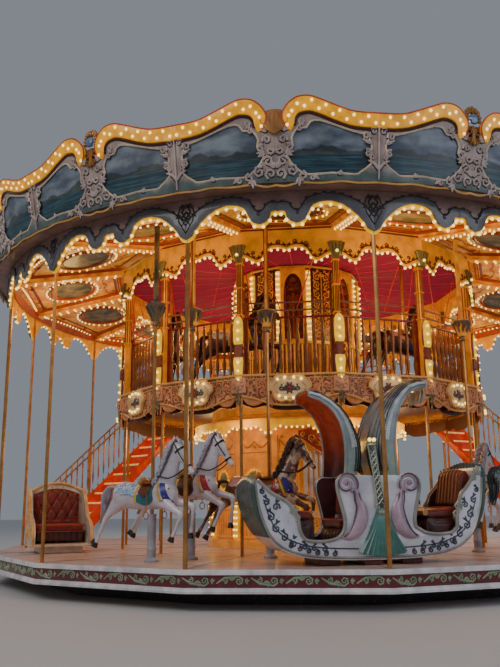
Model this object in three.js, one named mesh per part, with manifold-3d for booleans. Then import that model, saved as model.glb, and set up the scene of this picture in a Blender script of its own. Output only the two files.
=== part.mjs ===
// A two-deck fairground carousel with fourteen sides, in millimetres, +Z up, with its origin on the
// ground under the centre. Azimuth is counted from the front, which is -Y, towards +X.
import * as THREE from "three";
import { mergeVertices } from "three/addons/utils/BufferGeometryUtils.js";
import Module from "manifold-3d";

const wasm = await Module();
wasm.setup();

// Driving dimensions
const SIDES = 14;
const BAY = 360 / SIDES;
const HALF_BAY = THREE.MathUtils.degToRad(BAY / 2);
const FLAT = Math.cos(HALF_BAY);
const ROUND_SIDES = 3 * SIDES;
const ROUND_TURN = HALF_BAY / 3;
const GAP = 0.3;
const PLATFORM_TOP = 460;
const DECK_TOP = 2960;
const CORNICE_FOOT = 4950;
const CORNICE_TOP = 5780;
const POLE_CIRCLE = 5200;
const OUTER_POLE_R = 28;
const COLUMN_CIRCLE = 3224;
const STAIR_BAY = 5;
const handed = { left: -1, right: 1 };

// Platform and base
const PLATFORM_R = 5300;
const PLATFORM_THICK = 60;
const SKIRT_FOOT = 200;
const BASE_R = 4600;
const PIN_R = 120;
const PIN_TOP = 450;
const BEARING_R = 420;
const BEARING_TOP = 380;
const PIN_CLEAR = 12;
const RAIL_WIDE = 140;
const RAIL_TALL = 170;
const BEAM_HALF = 50;
const BEAM_TALL = 130;

// Deck
const DECK_R = 3300;
const DECK_THICK = 100;
const DECK_BEAM_DEEP = 70;
const FASCIA_FOOT = 2530;
const FASCIA_TOP = 3010;
const FASCIA_THICK = 30;
const RAIL_CIRCLE = 3140;
const RAIL_TOP = 4105;
const COLUMN_R = 55;
const COLUMN_BEAM = [3190, 3290];
const COLUMN_BEAM_Z = [5060, 5268];
const INNER_VALANCE_Z = [4740, 5250];
const DECK_CEILING_Z = [5210, 5330];
const DECK_CEILING_THICK = 16;
const DECK_POST_R = 24;

// Cores
const LOWER_CORE_R = 1600;
const UPPER_CORE_R = 1160;
const CORE_WALL = 50;
const UPPER_CORE_TOP = 5400;
const UPPER_HEADER_Z = [4840, 5120];
const UPPER_HEADER_OUT = 60;
const LOWER_HEADER_Z = [2380, 2500];
const LOWER_HEADER_OUT = 300;
const ORGAN = { half: 420, deep: 260, chestTop: 1240, caseHalf: 340, caseTop: 2250, pipeR: 34, pipeGap: 84 };

// Head of the carousel
const RIM_BEAM = [5170, 5231.7];
const RIM_BEAM_FOOT = 4830;
const OUTER_CEILING_THICK = 40;
const OUTER_CEILING_Z = [4895, 5270];
const VALANCE_THICK = 24;
const PENDANT_TIP = 4443;
const CORNICE_FLARE = 160;
const CORNICE_THICK = 60;
const CORNICE_FOOT_R = 5500;
const SOFFIT_THICK = 30;
const CREST_TOP = 6100;
const ROOF_EAVE = 5500;
const ROOF_TOP = 8200;
const ROOF_TOP_R = 400;
const ROOF_THICK = 20;
const RIB_HALF = 35;
const RIB_DEEP = 80;

// Horses
const POLE_R = 24;
const SLEEVE_BORE = 32;
const SLEEVE_R = 55;
const SLEEVE_TOP = 1060;
const TUBE_R = 37;
const CUP_FOOT = 3660;
const CUP_TALL = 240;
const CUP_R = 140;
const BELLY_LOW = 1070;
const STROKE = 300;
const POLE_FOOT_LOW = 520;
const POLE_HEAD_HIGH = 4900;
const SLEEVE_FOOT_R = 95;
const CUP_NECK_R = 60;
const DECK_BELLY = 560;

// Each jumping horse: azimuth, radius, and how far it stands above its lowest place
const JUMPERS = [
  { azimuth: -24, radius: 4420, lift: 40 },
  { azimuth: -20.2, radius: 3900, lift: 150 },
  { azimuth: -5, radius: 3450, lift: 110 },
  { azimuth: 46.5, radius: 4420, lift: 230 },
  { azimuth: 48, radius: 3550, lift: 60 },
  { azimuth: 156, radius: 4400, lift: 90 },
  { azimuth: 180, radius: 4400, lift: 230 },
  { azimuth: 204, radius: 4400, lift: 20 },
];
const DECK_HORSES = [-18, 48, -62, 180];
const DECK_HORSE_R = 2480;

// Carriages
const SLEIGH_AZIMUTH = 12;
const SLEIGH_R = 4300;
const SLEIGH_TURN = 5.5;
const RIGHT_HOOD_SHARE = 1.14;
const SLEIGH_WIDE = 900;
const WELL_FLOOR = 600;
const HOOD_FOOT = 1500;
const CARRIAGES = { left: -62, right: 66 };
const CARRIAGE_R = 4280;

// Finishes
const paint = (color, roughness = 0.5, metalness = 0) =>
  new THREE.MeshStandardMaterial({ color, roughness, metalness });
const finishes = {
  steel: paint(0x34363a, 0.6, 0.6),
  floor: paint(0xcdb4a4, 0.6),
  maroon: paint(0x5c1a24, 0.45),
  cream: paint(0xe0c49a, 0.5),
  gold: paint(0xc98a3a, 0.35, 0.7),
  bronze: paint(0x8a6238, 0.4, 0.7),
  red: paint(0x8c1a1c, 0.5),
  grey: paint(0x7d7488, 0.5),
  blue: paint(0x5e7c86, 0.5),
  canvas: paint(0xb9a58c, 0.8),
  white: paint(0xdcd8d6, 0.4),
  brown: paint(0x7a4a30, 0.5),
  silver: paint(0xb8b4ae, 0.35, 0.8),
  lining: paint(0xa43a20, 0.7),
  velvet: paint(0x8a2a1c, 0.75),
};

// A closed geometry as a solid, with its faces turned outwards.
function solid(geometry) {
  const plain = geometry.clone();
  plain.deleteAttribute("normal");
  plain.deleteAttribute("uv");
  const merged = mergeVertices(plain, 1e-3);
  const corners = merged.index.array;
  const kept = [];
  for (let i = 0; i < corners.length; i += 3) {
    const [a, b, c] = corners.slice(i, i + 3);
    if (a !== b && b !== c && a !== c) kept.push(a, b, c);
  }
  const vertProperties = merged.attributes.position.array;
  const made = new wasm.Manifold(
    new wasm.Mesh({ numProp: 3, vertProperties, triVerts: new Uint32Array(kept) }),
  );
  if (made.volume() >= 0) return made;
  const turned = new Uint32Array(kept.reverse());
  return new wasm.Manifold(new wasm.Mesh({ numProp: 3, vertProperties, triVerts: turned }));
}

const join = (solids) => solids.reduce((all, one) => all.add(one));
const cut = (body, cutters) => cutters.reduce((left, one) => left.subtract(one), body);

// A solid as a named mesh.
function piece(name, body, finish) {
  const { vertProperties, triVerts, numProp } = body.getMesh();
  const geometry = new THREE.BufferGeometry();
  const points = new Float32Array((vertProperties.length / numProp) * 3);
  for (let i = 0; i < points.length / 3; i++) {
    points.set(vertProperties.subarray(i * numProp, i * numProp + 3), i * 3);
  }
  geometry.setAttribute("position", new THREE.BufferAttribute(points, 3));
  geometry.setIndex(new THREE.BufferAttribute(triVerts, 1));
  const mesh = new THREE.Mesh(geometry, finishes[finish]);
  mesh.name = name;
  return mesh;
}

const radians = THREE.MathUtils.degToRad;

// Moves a geometry made at the origin out to a radius and round to an azimuth.
const place = (geometry, azimuth, radius = 0, z = 0) =>
  geometry.translate(0, -radius, z).rotateZ(radians(azimuth));

// A ring with one flat side a bay, from a closed section of [radius at the corners, height].
function ring(section, sides = SIDES, turn = HALF_BAY) {
  const closed = [...section, section[0]].map(([r, z]) => new THREE.Vector2(r, z));
  return solid(new THREE.LatheGeometry(closed, sides, turn).rotateX(Math.PI / 2));
}

// A turned post about its own axis, from [radius, height] points up its outside.
function turned(outline, sides = 6) {
  const [first, last] = [outline[0], outline.at(-1)];
  const closed = [[0, first[1]], ...outline, [0, last[1]]].map(([r, z]) => new THREE.Vector2(r, z));
  return new THREE.LatheGeometry(closed, sides).rotateX(Math.PI / 2);
}

// A hollow turned piece, from a closed section of [radius, height].
function tube(section, sides = 6) {
  const closed = [...section, section[0]].map(([r, z]) => new THREE.Vector2(r, z));
  return new THREE.LatheGeometry(closed, sides).rotateX(Math.PI / 2);
}

// A box from its lowest and highest corners, with x along the bay, y outwards and z up.
function box([x0, y0, z0], [x1, y1, z1]) {
  const geometry = new THREE.BoxGeometry(x1 - x0, y1 - y0, z1 - z0);
  return geometry.translate((x0 + x1) / 2, -(y0 + y1) / 2, (z0 + z1) / 2);
}

// A flat outline of [along the bay, height], extruded outwards from one radius to another.
function panel(outline, inner, outer) {
  const shape = new THREE.Shape(outline.map(([x, z]) => new THREE.Vector2(x, z)));
  const geometry = new THREE.ExtrudeGeometry(shape, { depth: outer - inner, bevelEnabled: false });
  return geometry.rotateX(Math.PI / 2).translate(0, -inner, 0);
}

// A flat outline of [outwards, height], extruded along the bay to a width about its middle.
function rib(outline, wide) {
  const shape = new THREE.Shape(outline.map(([r, z]) => new THREE.Vector2(r, z)));
  const geometry = new THREE.ExtrudeGeometry(shape, { depth: wide, bevelEnabled: false });
  return geometry.translate(0, 0, -wide / 2).rotateX(Math.PI / 2).rotateZ(-Math.PI / 2);
}

// A tube of oval sections given as [x, y, z, half width, half height], each square to the x-z path.
function loft(sections, sides) {
  const points = [];
  const faces = [];
  sections.forEach(([x, y, z, wide, tall], i) => {
    const before = sections[Math.max(i - 1, 0)];
    const after = sections[Math.min(i + 1, sections.length - 1)];
    const slope = Math.atan2(after[2] - before[2], after[0] - before[0]);
    for (let k = 0; k < sides; k++) {
      const angle = (2 * Math.PI * (k + 0.5)) / sides;
      const across = Math.cos(angle) * wide;
      const up = Math.sin(angle) * tall;
      points.push(x - up * Math.sin(slope), y + across, z + up * Math.cos(slope));
    }
    if (!i) return;
    for (let k = 0; k < sides; k++) {
      const [a, b] = [(i - 1) * sides + k, (i - 1) * sides + ((k + 1) % sides)];
      faces.push(a, b, b + sides, a, b + sides, a + sides);
    }
  });
  const last = (sections.length - 1) * sides;
  for (let k = 1; k < sides - 1; k++) {
    faces.push(0, k + 1, k, last, last + k, last + k + 1);
  }
  const geometry = new THREE.BufferGeometry();
  geometry.setAttribute("position", new THREE.Float32BufferAttribute(points, 3));
  geometry.setIndex(faces);
  return geometry;
}

const everyBay = (make) => Array.from({ length: SIDES }, (_, k) => make(k * BAY, k));
const everyCorner = (make) => Array.from({ length: SIDES }, (_, k) => make((k + 0.5) * BAY, k));

// Base: a round rail on radial beams, with the bearing and king pin at the middle
function baseFrame() {
  const rail = ring([
    [BASE_R - RAIL_WIDE, 0],
    [BASE_R, 0],
    [BASE_R, RAIL_TALL],
    [BASE_R - RAIL_WIDE, RAIL_TALL],
  ]);
  const beam = ([from, to]) => box([-BEAM_HALF, from, 0], [BEAM_HALF, to, BEAM_TALL]);
  const span = [BEARING_R - 120, BASE_R - RAIL_WIDE / 2];
  const beams = everyCorner((azimuth) => solid(place(beam(span), azimuth))).filter((_, k) => k % 2);
  const bearing = solid(
    turned([[BEARING_R, 0], [BEARING_R, BEARING_TOP], [PIN_R, BEARING_TOP], [PIN_R, PIN_TOP]], 24),
  );
  return join([rail, bearing, ...beams]);
}

// Platform: the turning floor, with a sleeve for the foot of each horse's pole
function platform() {
  const foot = PLATFORM_TOP - PLATFORM_THICK;
  const bore = PIN_R + PIN_CLEAR;
  const floor = ring([
    [bore, foot],
    [PLATFORM_R, foot],
    [PLATFORM_R, PLATFORM_TOP],
    [bore, PLATFORM_TOP],
  ]);
  const hub = solid(
    tube(
      [
        [bore, BEARING_TOP + GAP],
        [BEARING_R, BEARING_TOP + GAP],
        [BEARING_R, foot + 10],
        [bore, foot + 10],
      ],
      24,
    ),
  );
  const sleeves = JUMPERS.map(({ azimuth, radius }) =>
    solid(
      place(
        tube([
          [SLEEVE_BORE, PLATFORM_TOP - 20],
          [SLEEVE_FOOT_R, PLATFORM_TOP - 20],
          [SLEEVE_FOOT_R, PLATFORM_TOP + 25],
          [SLEEVE_R, PLATFORM_TOP + 40],
          [SLEEVE_R, SLEEVE_TOP],
          [SLEEVE_BORE, SLEEVE_TOP],
        ]),
        azimuth,
        radius,
      ),
    ),
  );
  return join([floor, hub, ...sleeves]);
}

// Skirt round the platform's edge, hung under it
function platformSkirt() {
  const top = PLATFORM_TOP - PLATFORM_THICK - GAP;
  return ring([
    [PLATFORM_R - 70, SKIRT_FOOT + 40],
    [PLATFORM_R, SKIRT_FOOT + 40],
    [PLATFORM_R, SKIRT_FOOT],
    [PLATFORM_R + 20, SKIRT_FOOT],
    [PLATFORM_R + 20, SKIRT_FOOT + 60],
    [PLATFORM_R - 20, SKIRT_FOOT + 80],
    [PLATFORM_R - 20, top],
    [PLATFORM_R - 70, top],
  ]);
}

// Lower core: the housing round the machinery, with a lit header that leans out over it
function lowerCore() {
  const [headerFoot, headerTop] = LOWER_HEADER_Z;
  const lip = LOWER_CORE_R + LOWER_HEADER_OUT;
  const top = DECK_TOP - DECK_THICK - GAP;
  const foot = PLATFORM_TOP + GAP;
  return ring([
    [LOWER_CORE_R - CORE_WALL, foot],
    [LOWER_CORE_R + 60, foot],
    [LOWER_CORE_R + 60, foot + 120],
    [LOWER_CORE_R, foot + 140],
    [LOWER_CORE_R, headerTop - 20],
    [lip - 40, headerFoot],
    [lip, headerFoot],
    [lip, headerTop],
    [LOWER_CORE_R, headerTop + 140],
    [LOWER_CORE_R, top],
    [LOWER_CORE_R - CORE_WALL, top],
  ]);
}

// Organ case against the front of the lower core, with its pipes under a shield-shaped head
function organFront() {
  const back = LOWER_CORE_R + 60 + GAP;
  const foot = PLATFORM_TOP + GAP;
  const { half, deep, chestTop, caseHalf, caseTop, pipeR, pipeGap } = ORGAN;
  const chest = box([-half, back, foot], [half, back + deep, chestTop]);
  const caseBack = box([-caseHalf, back, chestTop - 40], [caseHalf, back + 60, caseTop]);
  const pipes = Array.from({ length: 7 }, (_, i) => {
    const top = caseTop - 130 - 70 * Math.abs(i - 3);
    return turned([[pipeR, chestTop - 40], [pipeR, top]], 6).translate(pipeGap * (i - 3), -(back + 95), 0);
  });
  const head = panel([[-360, 2180], [0, 2000], [360, 2180], [360, 2300], [-360, 2300]], back + 50, back + 150);
  const solids = [chest, caseBack, head, ...pipes].map((one) => solid(place(one, BAY / 2)));
  return join(solids);
}

// Slender posts from the platform, with the beam under the deck that they carry
function deckPosts() {
  const top = DECK_TOP - DECK_THICK - GAP;
  const beam = ring([
    [COLUMN_CIRCLE - 70, top - DECK_BEAM_DEEP],
    [COLUMN_CIRCLE + 30, top - DECK_BEAM_DEEP],
    [COLUMN_CIRCLE + 30, top],
    [COLUMN_CIRCLE - 70, top],
  ]);
  const outline = [
    [DECK_POST_R, PLATFORM_TOP + GAP],
    [DECK_POST_R, top - 20],
  ];
  return join([beam, ...everyCorner((azimuth) => solid(place(turned(outline), azimuth, COLUMN_CIRCLE)))]);
}

function deckFloor() {
  return ring([
    [UPPER_CORE_R - 110, DECK_TOP - DECK_THICK],
    [DECK_R, DECK_TOP - DECK_THICK],
    [DECK_R, DECK_TOP],
    [UPPER_CORE_R - 110, DECK_TOP],
  ]);
}

// The opening in the fascia where a stair's landing meets the deck
const landing = { from: -60, to: -715, foot: 2900 };
const landingCut = (side) =>
  solid(
    place(
      sideways(
        box([landing.to - 5, DECK_R * FLAT - 60, landing.foot - 5], [landing.from + 5, 4300, FASCIA_TOP + 50]),
        side,
      ),
      side * STAIR_BAY * BAY,
    ),
  );

// Turns a piece made for the left stair into the right stair's, which is its mirror image.
function sideways(geometry, side) {
  if (side < 0) return geometry;
  const mirrored = geometry.index ? geometry.toNonIndexed() : geometry;
  return mirrored.scale(-1, 1, 1);
}

// Fascia round the deck's edge, with a shield on each bay and a hanging skirt between them
function deckFascia() {
  const inner = DECK_R + GAP;
  const outer = inner + FASCIA_THICK;
  const band = ring([
    [inner, FASCIA_FOOT + 130],
    [outer, FASCIA_FOOT + 130],
    [outer, FASCIA_TOP - 60],
    [outer + 25, FASCIA_TOP - 40],
    [outer + 25, FASCIA_TOP],
    [inner, FASCIA_TOP],
  ]);
  const skirt = [
    [-640, FASCIA_FOOT + 150],
    [-200, FASCIA_FOOT],
    [200, FASCIA_FOOT],
    [640, FASCIA_FOOT + 150],
  ];
  const shield = [
    [-265, 2830],
    [-190, 2990],
    [190, 2990],
    [265, 2830],
    [140, 2600],
    [-140, 2600],
  ];
  const skirts = everyBay((azimuth) => solid(place(panel(skirt, inner * FLAT, outer * FLAT), azimuth)));
  const shields = everyBay((azimuth, k) => [azimuth, k])
    .filter(([, k]) => k !== STAIR_BAY && k !== SIDES - STAIR_BAY)
    .map(([azimuth]) => solid(place(panel(shield, inner * FLAT + 5, outer * FLAT + 50), azimuth)));
  return cut(join([band, ...skirts, ...shields]), Object.values(handed).map(landingCut));
}

// Railing along three bays of the deck's edge, just inside the columns
function deckRailing(bays) {
  const half = RAIL_CIRCLE * Math.sin(HALF_BAY);
  const line = RAIL_CIRCLE * FLAT;
  const rails = [
    [DECK_TOP + GAP, DECK_TOP + 55, 25],
    [RAIL_TOP - 45, RAIL_TOP, 22],
  ];
  const bar = 15;
  const spacing = (2 * half) / 5;
  const trim = 8;
  const from = (bay) => (bay === bays[0] ? trim - half : -half);
  const to = (bay) => (bay === bays.at(-1) ? half - trim : half);
  const solids = bays.flatMap((bay) => [
    ...rails.map(([foot, top, thick]) => box([from(bay), line - thick, foot], [to(bay), line + thick, top])),
    ...[-2, -1, 0, 1, 2].map((i) =>
      box([i * spacing - bar, line - bar, DECK_TOP + 30], [i * spacing + bar, line + bar, RAIL_TOP - 20]),
    ),
  ].map((one) => solid(place(one, bay * BAY))));
  return join(solids);
}

// Stair beside the deck's edge: two strings, twelve treads and the landing at deck height
const stair = { inner: 3330, outer: 4090, foot: 2590, string: 50, steps: 13, tread: 40 };
stair.rise = (DECK_TOP - PLATFORM_TOP) / stair.steps;
stair.going = (stair.foot - landing.from) / (stair.steps - 1);
const nosing = (x) => PLATFORM_TOP + stair.rise * (1 + (stair.foot - x) / stair.going);

function stairFlight(side) {
  const ground = PLATFORM_TOP + GAP;
  const reach = ((nosing(stair.foot) - 260 - ground) / stair.rise) * stair.going;
  const string = [
    [stair.foot + 60, ground],
    [stair.foot + 60, nosing(stair.foot + 60) + 40],
    [landing.from, DECK_TOP],
    [landing.to, DECK_TOP],
    [landing.to, DECK_TOP - 160],
    [landing.from + 40, DECK_TOP - 160],
    [stair.foot + reach, ground],
  ];
  const { inner, outer } = stair;
  const treads = Array.from({ length: stair.steps - 1 }, (_, i) => {
    const front = stair.foot - i * stair.going;
    const top = PLATFORM_TOP + (i + 1) * stair.rise;
    return box([front - stair.going - 15, inner + 20, top - stair.tread], [front, outer - 20, top]);
  });
  const floor = box([landing.to, DECK_R * FLAT + GAP, landing.foot], [landing.from, outer - 20, DECK_TOP]);
  const solids = [
    panel(string, inner, inner + stair.string),
    panel(string, outer - stair.string, outer),
    floor,
    ...treads,
  ];
  return join(solids.map((one) => solid(place(sideways(one, side), side * STAIR_BAY * BAY))));
}

// Balustrade on a stair's outer string, round the landing's outer side and its end
function stairBalustrade(side) {
  const { outer, string, foot } = stair;
  const middle = outer - string / 2;
  const endX = landing.to + 25;
  const rail = (height, half, thick) =>
    panel(
      [
        [foot + 40, nosing(foot + 40) + height - half],
        [landing.from, DECK_TOP + height - half],
        [endX, DECK_TOP + height - half],
        [endX, DECK_TOP + height + half],
        [landing.from, DECK_TOP + height + half],
        [foot + 40, nosing(foot + 40) + height + half],
      ],
      middle - thick,
      middle + thick,
    );
  const bar = 13;
  const post = (x) =>
    panel(
      [
        [x - bar, Math.min(nosing(x), DECK_TOP) + 60],
        [x + bar, Math.min(nosing(x), DECK_TOP) + 60],
        [x + bar, Math.min(nosing(x), DECK_TOP) + 1040],
        [x - bar, Math.min(nosing(x), DECK_TOP) + 1040],
      ],
      middle - bar,
      middle + bar,
    );
  const flight = Array.from({ length: 7 }, (_, i) => post(foot + 20 - 2 * i * stair.going));
  const level = [post((landing.from + landing.to) / 2)];
  const end = [
    box([endX - 18, 3420, DECK_TOP + 55], [endX + 18, middle + 22, DECK_TOP + 95]),
    box([endX - 18, 3420, DECK_TOP + 1017], [endX + 18, middle + 22, DECK_TOP + 1063]),
    ...[3440, 3740, middle].map((y) =>
      box([endX - bar, y - bar, DECK_TOP + GAP], [endX + bar, y + bar, DECK_TOP + 1040]),
    ),
  ];
  const solids = [rail(1040, 20, 20), rail(70, 20, 16), ...flight, ...level, ...end];
  const feet = box([foot - 15, middle - 14, nosing(foot) - 60], [foot + 32, middle + 14, nosing(foot) + 75]);
  const made = join(solids.map((one) => solid(place(sideways(one, side), side * STAIR_BAY * BAY))));
  const shoe = solid(place(sideways(feet, side), side * STAIR_BAY * BAY));
  return made.add(shoe).subtract(stairClearance(side));
}

// The outer string swollen by the gap, which the balustrade's foot is cut back from
function stairClearance(side) {
  const ground = PLATFORM_TOP;
  const swollen = [
    [stair.foot + 60 + GAP, ground],
    [stair.foot + 60 + GAP, nosing(stair.foot + 60) + 40 + 2 * GAP],
    [landing.from, DECK_TOP + GAP / 2],
    [landing.to - 10, DECK_TOP + GAP / 2],
    [landing.to - 10, DECK_TOP - 200],
    [stair.foot - 300, ground],
  ];
  const geometry = panel(swollen, stair.outer - stair.string - GAP, stair.outer + GAP);
  return solid(place(sideways(geometry, side), side * STAIR_BAY * BAY));
}

// Upper core: the carved drum in the middle of the deck, with its lit header
function upperCore() {
  const [headerFoot, headerTop] = UPPER_HEADER_Z;
  return ring([
    [UPPER_CORE_R - CORE_WALL, DECK_TOP + GAP],
    [UPPER_CORE_R + 30, DECK_TOP + GAP],
    [UPPER_CORE_R + 30, DECK_TOP + 120],
    [UPPER_CORE_R, DECK_TOP + 140],
    [UPPER_CORE_R, headerFoot],
    [UPPER_CORE_R + UPPER_HEADER_OUT, headerFoot + 40],
    [UPPER_CORE_R + UPPER_HEADER_OUT, headerTop - 40],
    [UPPER_CORE_R, headerTop],
    [UPPER_CORE_R, UPPER_CORE_TOP],
    [UPPER_CORE_R - CORE_WALL, UPPER_CORE_TOP],
  ]);
}

// Columns round the deck's edge, with the beam that ties their heads
function colonnade() {
  const [inner, outer] = COLUMN_BEAM;
  const [foot, top] = COLUMN_BEAM_Z;
  const beam = ring([
    [inner, foot],
    [outer, foot],
    [outer, top],
    [inner, top],
  ]);
  const outline = [
    [COLUMN_R, DECK_TOP + GAP],
    [COLUMN_R, foot + 40],
  ];
  return join([beam, ...everyCorner((azimuth) => solid(place(turned(outline), azimuth, COLUMN_CIRCLE)))]);
}

// The edge of a valance along half a bay: how far from the corner to mid-bay, and the height
const outerEdge = [
  [0.1, 4530],
  [0.2, 4740],
  [0.36, 4815],
  [0.55, 4800],
  [0.67, 4670],
  [0.77, 4555],
  [0.905, 4610],
  [0.905, 4715],
];
const innerEdge = [
  [0.09, 4790],
  [0.22, 4905],
  [0.42, 4820],
  [0.6, 4970],
  [0.86, 5045],
];

// What is cut away under one bay's edge.
function scallop(edge, corner, foot, reach) {
  const half = corner * Math.sin(HALF_BAY);
  const right = edge.map(([part, z]) => [half * (1 - part), z]);
  const left = right.map(([x, z]) => [-x, z]).reverse();
  const [x, z] = right[0];
  const outline = [[-x, foot], [x, foot], [x, z], ...right.slice(1), ...left.slice(0, -1), [-x, z]];
  return panel(outline, corner * FLAT - reach, corner + reach);
}

function valance(edge, inner, foot, top, ...sides) {
  const section = [
    [inner, foot],
    [inner + VALANCE_THICK, foot],
    [inner + VALANCE_THICK, top],
    [inner, top],
  ];
  const band = ring(section, ...sides);
  return cut(
    band,
    everyBay((azimuth) => solid(place(scallop(edge, inner, foot - 60, 120), azimuth))),
  );
}

const outerValance = () =>
  valance(outerEdge, RIM_BEAM[1] + GAP, PENDANT_TIP, CORNICE_FOOT, ROUND_SIDES, ROUND_TURN);
const innerValance = () => valance(innerEdge, COLUMN_BEAM[1] + GAP, ...INNER_VALANCE_Z);

// Red cloth ceiling over the deck, from the column beam up to the core
function deckCeiling() {
  const outer = COLUMN_BEAM[0] - GAP;
  const inner = UPPER_CORE_R + GAP;
  const [low, high] = DECK_CEILING_Z;
  return ring([
    [inner, high],
    [outer, low],
    [outer, low + DECK_CEILING_THICK],
    [inner, high + DECK_CEILING_THICK],
  ]);
}

// Brass poles from the platform to the rim, with the rim beam that they carry
function outerPoles() {
  const [inner, outer] = RIM_BEAM;
  const section = [
    [inner, RIM_BEAM_FOOT],
    [outer, RIM_BEAM_FOOT],
    [outer, CORNICE_FOOT],
    [inner, CORNICE_FOOT],
  ];
  const beam = ring(section, ROUND_SIDES, ROUND_TURN);
  const outline = [
    [OUTER_POLE_R, PLATFORM_TOP + GAP],
    [OUTER_POLE_R, RIM_BEAM_FOOT + 60],
  ];
  return join([beam, ...everyCorner((azimuth) => solid(place(turned(outline), azimuth, POLE_CIRCLE)))]);
}

const ceilingFoot = (radius) => {
  const [low, high] = OUTER_CEILING_Z;
  const [inner, outer] = [COLUMN_BEAM[1] + GAP, RIM_BEAM[0] - GAP];
  return low + ((outer - radius) / (outer - inner)) * (high - low);
};

// Sloping ceiling over the horses, with a rib at each corner and the hung tubes that guide the poles
function outerCeiling() {
  const [inner, outer] = [COLUMN_BEAM[1] + GAP, RIM_BEAM[0] - GAP];
  const middle = inner * FLAT - 20;
  const section = [
    [middle, ceilingFoot(middle)],
    [outer, ceilingFoot(outer)],
    [outer, ceilingFoot(outer) + OUTER_CEILING_THICK],
    [middle, ceilingFoot(middle) + OUTER_CEILING_THICK],
  ];
  const opening = ring([
    [middle - 60, 5000],
    [inner, 5000],
    [inner, 5500],
    [middle - 60, 5500],
  ]);
  const plate = ring(section, ROUND_SIDES, ROUND_TURN).subtract(opening);
  const [near, far] = [inner + 40, outer - 60];
  const outline = [
    [near, ceilingFoot(near) - RIB_DEEP],
    [far, ceilingFoot(far) - RIB_DEEP],
    [far, ceilingFoot(far) + 20],
    [near, ceilingFoot(near) + 20],
  ];
  const ribs = everyCorner((azimuth) => solid(place(rib(outline, 2 * RIB_HALF), azimuth)));
  const tubes = JUMPERS.map(({ azimuth, radius }) =>
    solid(
      place(
        tube([
          [POLE_R + GAP, CUP_FOOT],
          [CUP_NECK_R, CUP_FOOT],
          [CUP_R, CUP_FOOT + CUP_TALL],
          [TUBE_R, CUP_FOOT + CUP_TALL + 30],
          [TUBE_R, ceilingFoot(radius) + 30],
          [POLE_R + GAP, ceilingFoot(radius) + 30],
        ]),
        azimuth,
        radius,
      ),
    ),
  );
  return join([plate, ...ribs, ...tubes]);
}

// Half of a crest's outline, from the finial at mid-bay out to the seam
const crestHalf = [
  [1400, 5770],
  [1120, 5775],
  [860, 5830],
  [600, 5925],
  [430, 5960],
  [250, 5940],
  [150, 5860],
  [110, 5960],
  [90, 6060],
];

// Cornice: boards that lean out over a plain soffit, with a crest on each bay. It is round in plan, so
// the crests are cut from a ring that goes on up at the boards' own slope.
function cornice() {
  const foot = CORNICE_FOOT + GAP;
  const outer = CORNICE_FOOT_R;
  const slope = CORNICE_FLARE / (CORNICE_TOP - CORNICE_FOOT);
  const top = outer + slope * (CREST_TOP - foot);
  const board = ring(
    [
      [RIM_BEAM[0] + 20, foot],
      [outer, foot],
      [top, CREST_TOP],
      [top - CORNICE_THICK, CREST_TOP],
      [outer - CORNICE_THICK, foot + SOFFIT_THICK],
      [RIM_BEAM[0] + 20, foot + SOFFIT_THICK],
    ],
    ROUND_SIDES,
    ROUND_TURN,
  );
  const crest = mirrorHalf(crestHalf);
  const reach = crestHalf[0][0];
  const above = [[-reach, CREST_TOP + 100], ...crest.toReversed(), [reach, CREST_TOP + 100]];
  const cutters = everyBay((azimuth) => solid(place(panel(above, 5000, 6000), azimuth)));
  return cut(board, cutters);
}

// Canvas roof, whose eave meets the back of the cornice
function roof() {
  const foot = CORNICE_FOOT + GAP;
  const slope = CORNICE_FLARE / (CORNICE_TOP - CORNICE_FOOT);
  const wall = CORNICE_FOOT_R - CORNICE_THICK;
  const rise = (slope * (CREST_TOP - foot)) / (CREST_TOP - foot - SOFFIT_THICK);
  const eave = (z) => wall - 2 * GAP + rise * (z - foot - SOFFIT_THICK);
  const section = [
    [ROOF_TOP_R, ROOF_TOP],
    [eave(ROOF_EAVE), ROOF_EAVE],
    [eave(ROOF_EAVE + ROOF_THICK), ROOF_EAVE + ROOF_THICK],
    [ROOF_TOP_R, ROOF_TOP + ROOF_THICK],
  ];
  return ring(section, ROUND_SIDES, ROUND_TURN);
}

// Crown on the roof's top ring
function roofCrown() {
  const foot = ROOF_TOP + ROOF_THICK + GAP;
  return solid(
    turned(
      [
        [430, foot],
        [430, foot + 60],
        [300, foot + 130],
        [150, foot + 220],
        [60, foot + 260],
        [95, foot + 340],
        [20, foot + 460],
      ],
      14,
    ),
  );
}

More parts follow.
